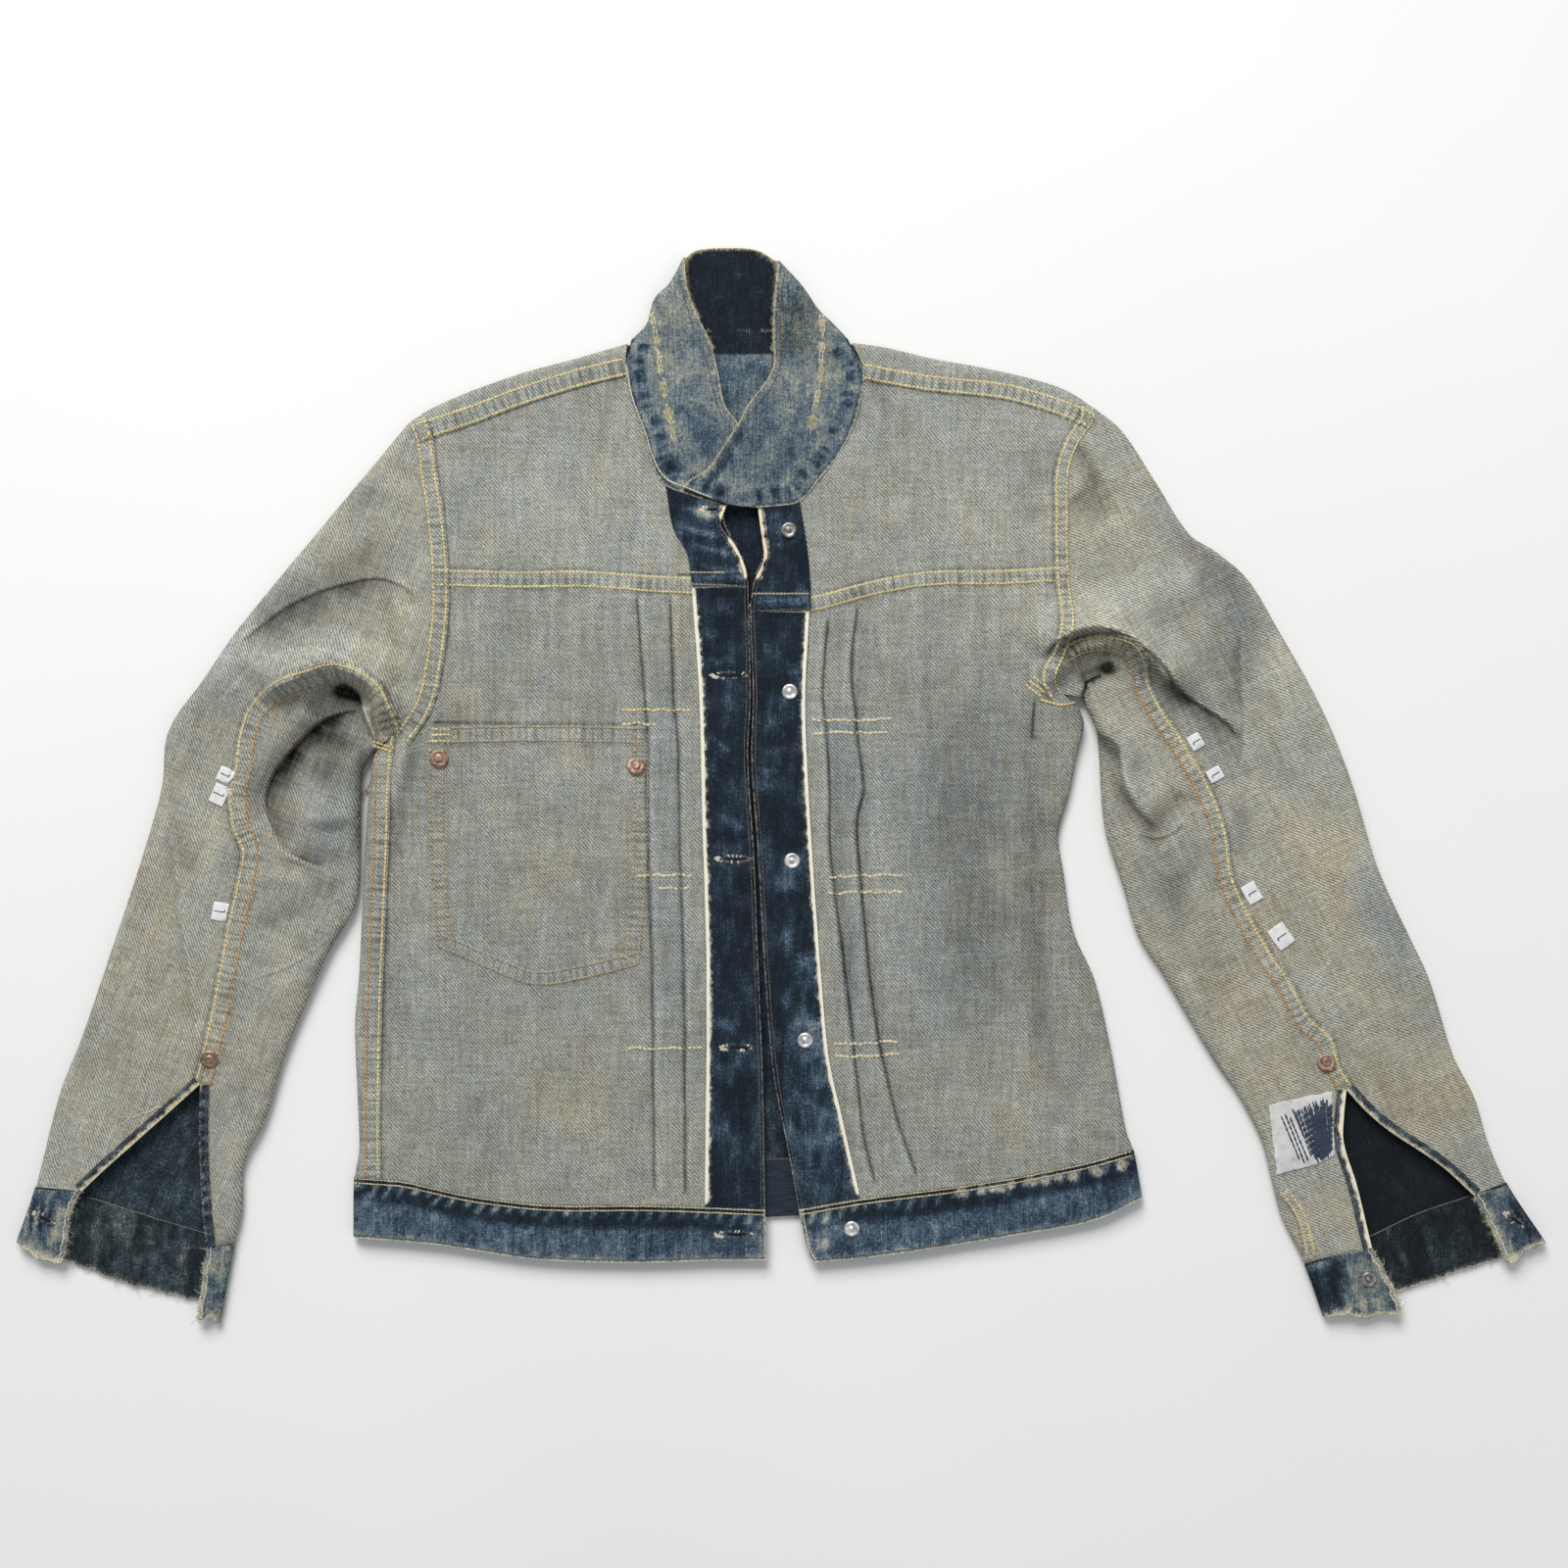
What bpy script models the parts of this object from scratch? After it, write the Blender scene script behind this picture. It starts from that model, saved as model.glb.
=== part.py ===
"""A denim jacket with a band collar, turned inside out and laid flat with its front up.

Every piece of cloth is a closed wall of its own. The lower layer lies on the floor, the upper
layer lies over it, and a piece that passes round a folded edge has a part in each layer, joined
along that edge. Plan points are in millimetres: +X to the right of the laid jacket, +Y towards
the collar, measured from the middle of the front. The finished part is moved so that its origin
is under the middle of its outline.
"""

import math

import bpy
import numpy as np
from mathutils import Matrix, Vector
from mathutils.geometry import delaunay_2d_cdt

MM = 0.001

# Driving sizes
CLOTH = 1.2  # wall of one ply of denim
BAND = 2.2  # wall of the folded bands at neck, waist and wrists
SEAM_GAP = 0.2  # each edge stands back this far from its seam line
PARTED_GAP = 0.3  # between the upper and under half of a sleeve piece, along its folded edge
LAY_GAP = 0.4  # between a panel and what lies on it
POCKET_GAP = 0.8
TAB_GAP = 0.9
BODY_LIFT = 5.6  # middle of the front's wall above the floor
ARMHOLE_LIFT = 10.0  # the same where the sleeves are set in
BAND_LIFT = 6.3
CUFF_LIFT = 6.3
ARMHOLE_REACH = 45.0  # how far the rise at an armhole runs into the body
SLEEVE_REACH = 470.0  # and how far it runs down a sleeve
LOWEST_LIFT = 3.2
ROLL_WIDTH = 0.8  # plan width of a folded edge for each mm of its height
ROLL_MIDDLE = 0.45  # height of the outermost line of a folded edge
COLLAR_LIFT = 6.1  # middle of the collar's wall at its seam
COLLAR_RISE = 4.0  # the rim of the collar stands this much higher than its seam
COLLAR_WIDTH = 50.0
COLLAR_LAP = 3.2  # the right end of the collar lies this much higher than the left
LAP_START = 6.0  # where the right end starts to rise over the left, and over what length
LAP_RUN = 28.0
PLEAT_STEP = 1.6
BUTTON_WIDTH = 16.0
BUTTON_HEIGHT = 2.1
TACK_WIDTH = 9.6
TACK_HEIGHT = 1.6
RIVET_WIDTH = 11.0
RIVET_HEIGHT = 1.3
HEAD_RIM = 0.7  # share of a head's height at its rim
CAP_EDGE = 0.8  # height of a button cap's widest line
CAP_UNDERCUT = 1.2

# Folded edges of the laid jacket, each from the top down
SHOULDER_LEFT = [(-96, 270), (-129, 260.5), (-162, 251.5), (-192.5, 240.5), (-216, 230), (-230, 221)]
SHOULDER_RIGHT = [
    (42, 270.5), (63, 267.5), (90, 261), (120.5, 255.5), (151, 248.5), (173, 241), (189.5, 230.5),
]
OUTER_LEFT = [
    (-230, 221), (-248.5, 198.5), (-269.5, 173.5), (-301, 135.5), (-332.5, 97), (-354, 66), (-377, 32.5),
    (-381, -1), (-389, -31), (-401, -69), (-415, -110.5), (-431, -157), (-444, -190), (-459, -248),
    (-470.5, -281.5),
]
OUTER_RIGHT = [
    (189.5, 230.5), (206.5, 216.5), (228, 184), (248, 153.5), (266, 141.5), (284.5, 125), (303, 94),
    (330, 44), (347, 2), (363.5, -51.5), (384, -95), (395.5, -120), (410, -166), (423.5, -193),
    (431, -218), (443, -245.5), (467, -282),
]
INNER_LEFT = [
    (-252.5, 20.5), (-258.5, 8.5), (-260.5, -33), (-261.5, -62.5), (-265, -78), (-279, -101.5),
    (-288, -121), (-306, -164), (-319, -206), (-332, -233), (-333.5, -262), (-338.5, -282.5),
    (-347.5, -331),
]
INNER_RIGHT = [
    (184, 53), (192.5, 29.5), (195.5, -11.5), (198.5, -32), (208, -61), (218, -93), (231.5, -114),
    (249.5, -144.5), (266, -171.5), (278.5, -189), (293.5, -218), (299.5, -241), (306, -265),
    (320.5, -294.5), (332, -326.5),
]
SIDE_LEFT = [
    (-251, 17.5), (-254, 0), (-257, -41.5), (-260.5, -117.5), (-263, -147), (-261.5, -192),
    (-260.5, -225), (-263, -241), (-263.5, -278),
]
SIDE_RIGHT = [
    (179.5, 48), (183.5, 37), (179.5, 18.5), (174.5, -6.5), (168, -31), (171, -54), (177, -90),
    (190, -120), (200, -162), (209.5, -213), (213.5, -224), (219, -254),
]

# Seams of the upper layer
ARMHOLE_LEFT = [
    (-230, 221), (-225.5, 214), (-222, 189), (-218.5, 168), (-215.5, 137.5), (-215, 126), (-215, 107),
    (-218.5, 76), (-224.5, 50.5), (-237.5, 30),
]
ARMHOLE_RIGHT = [
    (189.5, 230.5), (188.5, 221.5), (179, 206), (174, 190), (173.5, 162.5), (174, 128.5), (176, 102),
    (171.5, 79), (165.5, 65), (170.5, 55),
]
SHOULDER_SEAM_LEFT = [(-225.5, 214), (-192.5, 225.5), (-162, 237.5), (-124, 249.5), (-97, 256)]
SHOULDER_SEAM_RIGHT = [
    (188.5, 221.5), (175, 228), (156, 235), (132.5, 241), (90, 245.5), (69, 249), (49, 253),
]
NECK_LEFT = [
    (-96, 270), (-97, 256), (-94, 237.5), (-86.5, 215), (-80.5, 195), (-72.5, 183), (-59, 177.5),
    (-43, 172), (-35.5, 170),
]
NECK_RIGHT = [
    (42, 270.5), (49, 253), (47.5, 237.5), (42, 218), (33, 201), (21, 186), (9.5, 173), (-6.5, 170),
    (-16, 169),
]
YOKE_SEAM_LEFT = [(-215, 126), (-162, 125), (-124, 125.5), (-70, 122), (-22, 121)]
YOKE_SEAM_RIGHT = [(174, 128.5), (135.5, 126.5), (90, 126), (54, 120), (18, 110.5), (-20.5, 106)]
SIDE_SEAM_LEFT = [
    (-237.5, 30), (-239.5, 12), (-241, -12.5), (-243, -60.5), (-245.5, -117.5), (-247, -180),
    (-247, -242),
]
HEM_LEFT = [
    (-11.5, -260.5), (-78.5, -258), (-146, -257.5), (-193, -252), (-231.5, -243.5), (-247, -242),
    (-263, -241),
]
HEM_RIGHT = [(9, -260.5), (47, -254), (123, -244), (180.5, -233), (213.5, -224)]
SLEEVE_SEAM_LEFT = [
    (-237.5, 30), (-242, 45.5), (-250, 60), (-270.5, 69.5), (-287, 66), (-306, 59), (-322, 47),
    (-329, 31), (-332, 9.5), (-335.5, -7), (-333, -27), (-327.5, -41), (-331, -62.5), (-337, -90),
    (-341.5, -114), (-347.5, -144), (-353, -168), (-357, -183.5),
]
SLEEVE_SEAM_RIGHT = [
    (171.5, 79), (180, 84), (194, 86.5), (209, 82), (216.5, 71.5), (220, 58), (227, 44), (239, 26),
    (256, -3), (266, -30), (271, -60), (292, -102), (306, -123), (318.5, -146), (331, -157), (336, -173),
    (344, -187),
]

# Open edges of the fronts and of the slits above the cuffs
FRONT_EDGE_LEFT = [
    (-35.5, 170), (-38.5, 158.5), (-30, 146.5), (-23.5, 132), (-22, 121), (-20.5, 54.5), (-22, 16),
    (-18.5, -41.5), (-15.5, -117.5), (-13, -180), (-11.5, -260.5),
]
FRONT_EDGE_RIGHT = [
    (-16, 169), (-14, 153), (-12.5, 137.5), (-18.5, 123.5), (-20.5, 106), (-19, 54.5), (-20, 16),
    (-16, -41.5), (-11.5, -120), (-6.5, -177.5), (2.5, -225), (9, -260.5),
]
SLIT_LEFT_OUTER = [(-357, -183.5), (-372, -197), (-396, -218.5), (-413, -233.5), (-430, -249.5)]
SLIT_LEFT_INNER = [(-357, -183.5), (-357.5, -204), (-357.5, -228), (-356, -258), (-353.5, -283)]
SLIT_RIGHT_OUTER = [(344, -187), (357, -201), (370, -212), (402, -233.5), (422.5, -252)]
SLIT_RIGHT_INNER = [(344, -187), (342.5, -204), (342.5, -219.5), (350.5, -245.5), (360, -284)]

# Seams of the lower layer, on the back of the jacket
BACK_ARMHOLE_LEFT = [
    (-230, 221), (-218.5, 192), (-210.5, 156), (-207, 114), (-211, 72), (-222, 47), (-237.5, 30),
]
BACK_ARMHOLE_RIGHT = [
    (189.5, 230.5), (175, 198), (167, 162), (162, 120), (161, 90), (164.5, 66), (171.5, 55),
]
BACK_NECK = [(-96, 270), (-60, 266.5), (-26, 265), (9, 266.5), (42, 270.5)]
BACK_SIDE_SEAM_RIGHT = [
    (164.5, 66), (167, 30), (159.5, -6.5), (152.5, -31), (155, -54), (162, -90), (175, -120),
    (185, -162), (194.5, -213), (198, -225.5),
]
BACK_HEM = [
    (-263, -241), (-180, -242), (-96, -237.5), (-6, -230.5), (120, -228), (198, -225.5), (213.5, -224),
]
UNDER_SEAM_LEFT = [
    (-211, 72), (-240, 43), (-261.5, 6), (-277, -36), (-281, -75), (-293, -103), (-302.5, -125),
    (-319, -164), (-332.5, -206), (-344.5, -233), (-347, -262), (-353, -277),
]
UNDER_SEAM_RIGHT = [
    (161, 90), (187, 63.5), (206.5, 18), (216, -32), (225.5, -61), (235, -89), (248.5, -111),
    (265, -140), (282, -167), (295, -186), (309.5, -216), (316, -240), (324, -264), (337, -287.5),
]
CUFF_SEAM_LEFT = [(-459, -248), (-428.5, -254), (-385, -267.5), (-353, -277), (-338.5, -282.5)]
CUFF_SEAM_RIGHT = [
    (443, -245.5), (422.5, -253), (390, -264), (359.5, -278.5), (337, -287.5), (320.5, -294.5),
]

# Bands
BAND_END_LEFT = [(-11.5, -260.5), (-11, -292)]
BAND_END_RIGHT = [(9, -260.5), (14, -286), (18, -293.5)]
BAND_FOOT_LEFT = [(-11, -292), (-40, -292), (-98, -293.5), (-155.5, -291), (-212.5, -282.5), (-263.5, -278)]
BAND_FOOT_RIGHT = [(18, -293.5), (65.5, -288.5), (142, -276.5), (190, -267.5), (219, -254)]
BAND_FOOT_BACK = [(-263.5, -278), (-180, -276), (-96, -272.5), (-6, -266), (120, -261.5), (219, -254)]
COLLAR_FOLD_LEFT = [(-60.5, 323), (-69.5, 306.5), (-78.5, 297.5), (-83.5, 282), (-93, 272)]
COLLAR_FOLD_RIGHT = [(-4, 320.5), (10, 305.5), (21, 290), (30, 281.5), (38.5, 272.5)]
COLLAR_TOP = [(-60.5, 323), (-54, 328), (-34, 329.5), (-16, 328), (-4, 320.5)]
COLLAR_FOOT_BACK = [(-93, 272), (-60, 266.5), (-26, 265), (9, 266.5), (38.5, 272.5)]
RIM_LEFT = [
    (-60.5, 323), (-59, 303.5), (-53, 287), (-45, 270), (-40, 250), (-36, 231.5), (-28, 220),
    (-21.5, 200.5), (-25, 181), (-35.5, 170),
]
RIM_RIGHT = [
    (-4, 320.5), (-6, 294.5), (-7, 275), (-6.5, 256), (-12.5, 244), (-22, 231.5), (-28, 220), (-37, 206),
    (-47, 192), (-57.5, 186), (-62, 181),
]
COLLAR_LAP_FOOT = [(-62, 181), (-53.5, 178), (-41.5, 173.5), (-30.5, 170.5), (-16, 169)]

# Cuffs, with the worn edge at their foot
CUFF_FOOT_LEFT = [
    (-470.5, -281.5), (-456, -289), (-442, -290.5), (-433, -297.5), (-423, -298), (-415, -305.5),
    (-406, -307), (-396, -312.5), (-383.5, -310), (-372, -317.5), (-357.5, -318.5), (-347.5, -331),
]
CUFF_FOOT_RIGHT = [
    (467, -282), (453.5, -284.5), (439, -290), (425, -298), (408.5, -299.5), (393.5, -308),
    (376, -309.5), (363.5, -318.5), (348, -320), (332, -326.5),
]
TAB_FOOT_LEFT_OUTER = [
    (-430, -249.5), (-437, -264), (-442, -291), (-450, -288.5), (-456, -294), (-463, -286),
    (-470.5, -281.5),
]
TAB_FOOT_LEFT_INNER = [(-353.5, -283), (-356.5, -307), (-359, -330), (-352, -327), (-347.5, -331)]
TAB_FOOT_RIGHT_OUTER = [(422.5, -252), (433, -272), (444.5, -293), (455, -285), (467, -282)]
TAB_FOOT_RIGHT_INNER = [
    (360, -284), (369, -301), (378, -322), (367, -320.5), (357.5, -326), (344.5, -323), (332, -326.5),
]

# Facings, pocket, slit strips and the darned patch
FACING_EDGE_LEFT = [(-56.5, 120), (-52, 54.5), (-50, -22), (-47.5, -117.5), (-48.5, -255.5)]
FACING_EDGE_RIGHT = [
    (15.5, 105.5), (13, 50.5), (15, -3), (18.5, -60.5), (23, -120), (27.5, -168), (35, -202), (46, -250),
]
FACING_FOOT_LEFT = [(-48.5, -255.5), (-12, -258)]
FACING_FOOT_RIGHT = [(46, -250), (8, -258)]
FACING_UPPER_EDGE_LEFT = [(-72.5, 183), (-68, 157), (-59.5, 141.5), (-56.5, 122)]
FACING_UPPER_EDGE_RIGHT = [(9.5, 173), (13, 153), (15.5, 134), (17, 107.5)]
POCKET = [(-218, 35), (-83.5, 35), (-84, -39), (-87, -111), (-153, -123), (-212, -99), (-215.5, -42)]
STRIP_WIDTH = 5.5
PATCH = [(296.5, -196), (331, -188.5), (335, -227), (324, -233.5), (302, -239)]
PATCH_THICKNESS = 0.8
TAB_THICKNESS = 0.8

# Round fittings, each at its middle
RIVETS = {
    "rivet_pocket_outer": (-211, 15.5),
    "rivet_pocket_inner": (-90.5, 11),
    "rivet_slit_left": (-351.5, -168.5),
    "rivet_slit_right": (332, -170.5),
}
FRONT_BUTTONS = [(3, 155.5), (3.5, 56.5), (5, -47), (13, -157)]
WAIST_BUTTON = (41.5, -272.5)
CUFF_BUTTON = (358, -303.5)

# White tabs caught in the sleeve seams: middle, length along the seam, width, turn in degrees
SEAM_TABS = [
    ((-341.5, 5.5), 9.0, 9.0, 65.0),
    ((-345, -6.5), 12.0, 9.5, 65.0),
    ((-344.5, -78), 11.0, 10.0, 80.0),
    ((251.5, 26), 9.0, 8.0, -60.0),
    ((263.5, 6), 8.0, 9.0, -60.0),
    ((286, -66.5), 12.0, 9.0, -60.0),
    ((304, -93), 14.0, 11.0, -55.0),
]

# Ridges and troughs of the upper layer: line, height, width to its left, width to its right
CREASES = [
    ([
        (-238, 26.5), (-242, 39), (-245, 53), (-252, 63), (-270, 71.5), (-287, 68.5), (-302.5, 61),
        (-323, 50.5),
    ], 14.0, 5.0, 13.0),
    ([(-260.5, 42), (-269, 55), (-279.5, 50.5), (-289, 39)], -12.0, 8.0, 8.0),
    ([
        (-261.5, 43), (-285.5, 33), (-300.5, 18.5), (-316, -3.5), (-317.5, -18.5), (-300.5, -43),
    ], -6.0, 8.0, 8.0),
    ([(-309, -55), (-288, -50.5), (-266.5, -47.5)], -3.5, 9.0, 9.0),
    ([(-329, -92.5), (-300, -83), (-264.5, -69)], -3.0, 9.0, 9.0),
    ([(-332.5, 84.5), (-301, 110), (-269.5, 125), (-248.5, 126.5), (-227.5, 116.5)], -4.5, 18.0, 18.0),
    ([(-330, 63.5), (-311.5, 76), (-290.5, 81.5), (-266.5, 79)], 6.0, 11.0, 11.0),
    ([(-376, -36.5), (-366, -62.5), (-360.5, -89), (-359.5, -121), (-359.5, -160)], -2.5, 8.0, 8.0),
    ([(-273, 23), (-277, 0), (-276, -30)], 6.0, 15.0, 15.0),
    ([(-282, 144), (-318, 96), (-351, 45)], 4.0, 26.0, 26.0),
    ([
        (157, 72), (171.5, 91), (189, 96.5), (200, 93.5), (213.5, 84.5), (225, 73), (239, 59),
        (249.5, 50.5),
    ], 14.0, 16.0, 4.0),
    ([
        (159.5, 53), (163, 65), (170.5, 73), (180, 81.5), (194, 86), (209, 83), (216.5, 73), (220, 60),
    ], 8.0, 7.0, 4.5),
    ([(180, 63.5), (191, 67), (203, 72)], -9.0, 5.0, 5.0),
    ([
        (187, 47), (191, 35), (198, 26.5), (206.5, 17), (207.5, 3.5), (217, -11), (229, -24),
    ], 7.0, 13.0, 4.0),
    ([(222, -30), (235, -23), (247, -3.5)], -4.0, 8.0, 8.0),
    ([(192, 99.5), (222, 113), (259, 122.5)], 5.0, 13.0, 13.0),
    ([(228, 151), (263, 132), (279.5, 101.5), (282.5, 54)], -5.0, 18.0, 18.0),
    ([(177.5, 178), (187, 170.5), (201, 159.5)], -2.5, 9.0, 9.0),
    ([(294, 96), (327, 12), (360, -96)], 4.0, 28.0, 28.0),
    ([(153.5, 55), (155, 39), (152.5, 19)], -1.4, 4.0, 4.0),
    ([(-220, 33), (-229, 6), (-237.5, -25)], 1.5, 8.0, 6.0),
]
# Pleats: folded edge, which way the cloth lies from it, and how wide it lies
PLEATS_LEFT = [
    ([(-89.5, 116.5), (-86.5, 73), (-83.5, 35.5), (-83, -41.5), (-80.5, -117.5), (-79, -253)], 1, 19.0),
    ([(-69, 116.5), (-67, 54.5), (-64, 16), (-63.5, -41.5), (-61, -117.5), (-60, -253)], 1, 9.0),
]
PLEATS_RIGHT = [
    ([
        (44.5, 109), (41, 72.5), (44, 35), (48, -3.5), (44.5, -22), (46, -50), (54, -131.5), (60, -168),
        (68, -202), (82, -243.5),
    ], -1, 16.0),
    ([
        (26.5, 102), (23.5, 57.5), (27, 11.5), (27.5, -26.5), (29, -50), (39, -129.5), (44, -177.5),
        (48.5, -215.5), (56, -247),
    ], -1, 8.0),
]

# Where the sleeve pieces that are modelled in several lengths meet, straight across the sleeve
UPPER_CUT_LEFT = [(-329, 31), (-353, 32), (-377, 32.5)]
CUT_LEFT = [(-333, -27), (-361, -29), (-389, -31)]
UNDER_CUT_LEFT = [(-277, -36), (-333, -33.5), (-389, -31)]
CUT_RIGHT = [(271, -60), (240, -60.5), (208, -61)]

# Lines that start or end on a folded edge
FOLD_TO_FOLD = (
    ARMHOLE_LEFT,
    ARMHOLE_RIGHT,
    BACK_ARMHOLE_LEFT,
    BACK_ARMHOLE_RIGHT,
    HEM_LEFT,
    HEM_RIGHT,
    BACK_HEM,
    BAND_FOOT_LEFT,
    BAND_FOOT_RIGHT,
    BAND_FOOT_BACK,
    BACK_NECK,
    COLLAR_FOOT_BACK,
    COLLAR_TOP,
    RIM_LEFT,
    RIM_RIGHT,
    CUFF_SEAM_LEFT,
    CUFF_SEAM_RIGHT,
    UPPER_CUT_LEFT,
    CUT_LEFT,
    UNDER_CUT_LEFT,
    CUT_RIGHT,
)

# Spacing of the mesh
END_POINTS = (1.2, 4.0)
FOLD_STEP = 17.0
EDGE_STEP = 16.0
FINE_STEP = 14.0
OPEN_STEP = 24.0
FLOOR_STEP = 34.0
FOLD_ROWS = (0.14, 0.5, 1.0)
PROBE = 0.5
FAR = 1e6
TOUCH = 0.01
WELD = 0.6
MOST_MITRE = 4.0
STEEP_CORNER = 0.08  # edges that turn less than this are taken as one line
ROW_CLEAR, ROW_APART = 0.35, 1.0  # rows of a roll: from the outline, and from each other
CREASE_CLEAR, CREASE_APART = 3.0, 4.5
PLEAT_CLEAR, PLEAT_APART = 3.0, 5.0
GRID_CLEAR, GRID_APART = 0.35, 0.55  # shares of the grid's own step
PLEAT_EDGE = 0.5  # half the plan width of a pleat's folded edge


def spline(points, step):
    """Smooth line through the points, with each point kept and its place in the result."""
    points = [Vector(p) for p in points]
    ends = [points[0] * 2 - points[1]] + points + [points[-1] * 2 - points[-2]]
    result, places = [], []
    for a, b, c, d in zip(ends, ends[1:], ends[2:], ends[3:]):
        span = max(1, round((c - b).length / step))
        leave = (c - a) * ((c - b).length / max((c - a).length, 1e-6))
        arrive = (d - b) * ((c - b).length / max((d - b).length, 1e-6))
        places.append(len(result))
        for k in range(span):
            t = k / span
            result.append(
                b * (2 * t**3 - 3 * t**2 + 1)
                + leave * (t**3 - 2 * t**2 + t)
                + c * (3 * t**2 - 2 * t**3)
                + arrive * (t**3 - t**2)
            )
    places.append(len(result))
    result.append(points[-1])
    return np.array([p[:] for p in result]), places


def refine_ends(line, places):
    """More points where a line climbs a folded edge at its ends."""
    for _ in range(2):
        leg = line[1] - line[0]
        length = np.hypot(*leg)
        extra = [line[0] + leg * (d / length) for d in END_POINTS if d < 0.6 * length]
        line = np.concatenate([line[:1], np.array(extra).reshape(-1, 2), line[1:]])
        places = [0] + [p + len(extra) for p in places[1:]]
        line = line[::-1]
        places = [len(line) - 1 - p for p in places[::-1]]
    return line, places


LINES = {}


def run(points, first=0, last=-1, step=EDGE_STEP):
    """The stretch of a named line from one of its points to another, in that order."""
    key = (id(points), step)
    if key not in LINES:
        LINES[key] = spline(points, step)
        if any(points is line for line in FOLD_TO_FOLD):
            LINES[key] = refine_ends(*LINES[key])
    line, places = LINES[key]
    start, end = places[first], places[last]
    if start <= end:
        return line[start : end + 1]
    return line[end : start + 1][::-1]


def nearest(line, xy):
    """Distance to a line of points, the offset from it, the side of it and the share along it."""
    line = np.asarray(line, float)
    start, leg = line[:-1], np.diff(line, axis=0)
    length = np.hypot(*leg.T)
    rel = xy[:, None] - start[None]
    share = np.clip((rel * leg).sum(2) / (length**2), 0, 1)
    offset = rel - share[..., None] * leg
    distance = np.hypot(offset[..., 0], offset[..., 1])
    best = distance.argmin(1)
    rows = np.arange(len(xy))
    side = leg[best, 0] * rel[rows, best, 1] - leg[best, 1] * rel[rows, best, 0]
    before = np.concatenate([[0], np.cumsum(length)])
    along = (before[best] + share[rows, best] * length[best]) / before[-1]
    return distance[rows, best], offset[rows, best], side, along


def smooth(value):
    value = np.clip(value, 0, 1)
    return value * value * (3 - 2 * value)


def crease_height(xy):
    total = np.zeros(len(xy))
    for line, height, left, right in CREASES:
        distance, _, side, along = nearest(run(line, step=FINE_STEP), xy)
        width = np.where(side > 0, left, right)
        fade = smooth(along / 0.2) * smooth((1 - along) / 0.2)
        total += height * fade * np.exp(-((distance / width) ** 2))
    return total


def armhole_distance(xy):
    left = nearest(run(ARMHOLE_LEFT), xy)[0]
    right = nearest(run(ARMHOLE_RIGHT), xy)[0]
    return np.minimum(left, right)


def body_lift(xy):
    rise = (ARMHOLE_LIFT - BODY_LIFT) * np.exp(-((armhole_distance(xy) / ARMHOLE_REACH) ** 2))
    return np.maximum(BODY_LIFT + rise + crease_height(xy), LOWEST_LIFT)


def sleeve_lift(xy):
    fall = (ARMHOLE_LIFT - CUFF_LIFT) * smooth(armhole_distance(xy) / SLEEVE_REACH)
    return np.maximum(ARMHOLE_LIFT - fall + crease_height(xy), LOWEST_LIFT)


def band_lift(xy):
    return np.full(len(xy), BAND_LIFT)


def cuff_lift(xy):
    return np.full(len(xy), CUFF_LIFT)


def collar_left_lift(xy):
    foot = np.concatenate([run(COLLAR_FOOT_BACK)[:1], run(NECK_LEFT, 1)])
    return COLLAR_LIFT + COLLAR_RISE * smooth(nearest(foot, xy)[0] / COLLAR_WIDTH)


def collar_right_lift(xy):
    foot = np.concatenate([run(COLLAR_FOOT_BACK)[-1:], run(NECK_RIGHT, 1), run(NECK_LEFT, -1, 1)])
    rise = COLLAR_RISE * smooth(nearest(foot, xy)[0] / COLLAR_WIDTH)
    lap = COLLAR_LAP * smooth((LAP_START - xy[:, 0]) / LAP_RUN)
    return COLLAR_LIFT + rise + lap


BODY_FOLDS = [
    SHOULDER_LEFT,
    OUTER_LEFT,
    INNER_LEFT,
    SIDE_LEFT,
    SHOULDER_RIGHT,
    OUTER_RIGHT,
    INNER_RIGHT,
    SIDE_RIGHT,
]
COLLAR_FOLDS = [COLLAR_FOLD_LEFT, COLLAR_FOLD_RIGHT]


def fold_distance(xy, folds):
    """Distance to the nearest folded edge and the outward way at each point."""
    found = [nearest(run(fold, step=FOLD_STEP), xy) for fold in folds]
    distance = np.array([f[0] for f in found])
    best = distance.argmin(0)
    rows = np.arange(len(xy))
    away = np.array([f[1] for f in found])[best, rows]
    near = distance[best, rows]
    return near, -away / np.maximum(near, 1e-6)[:, None]


def edge_way(xy, folds):
    """The way square to the nearest folded edge, for points that lie on one."""
    best_gap = np.full(len(xy), np.inf)
    result = np.zeros((len(xy), 2))
    for fold in folds:
        line = run(fold, step=FOLD_STEP)
        way = np.gradient(line, axis=0)
        way /= np.hypot(*way.T)[:, None]
        gap = np.linalg.norm(xy[:, None] - line[None], axis=2)
        best = gap.argmin(1)
        near = gap[np.arange(len(xy)), best]
        closer = near < best_gap
        result[closer] = np.stack([way[best, 1], -way[best, 0]], 1)[closer]
        best_gap[closer] = near[closer]
    return result


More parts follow.
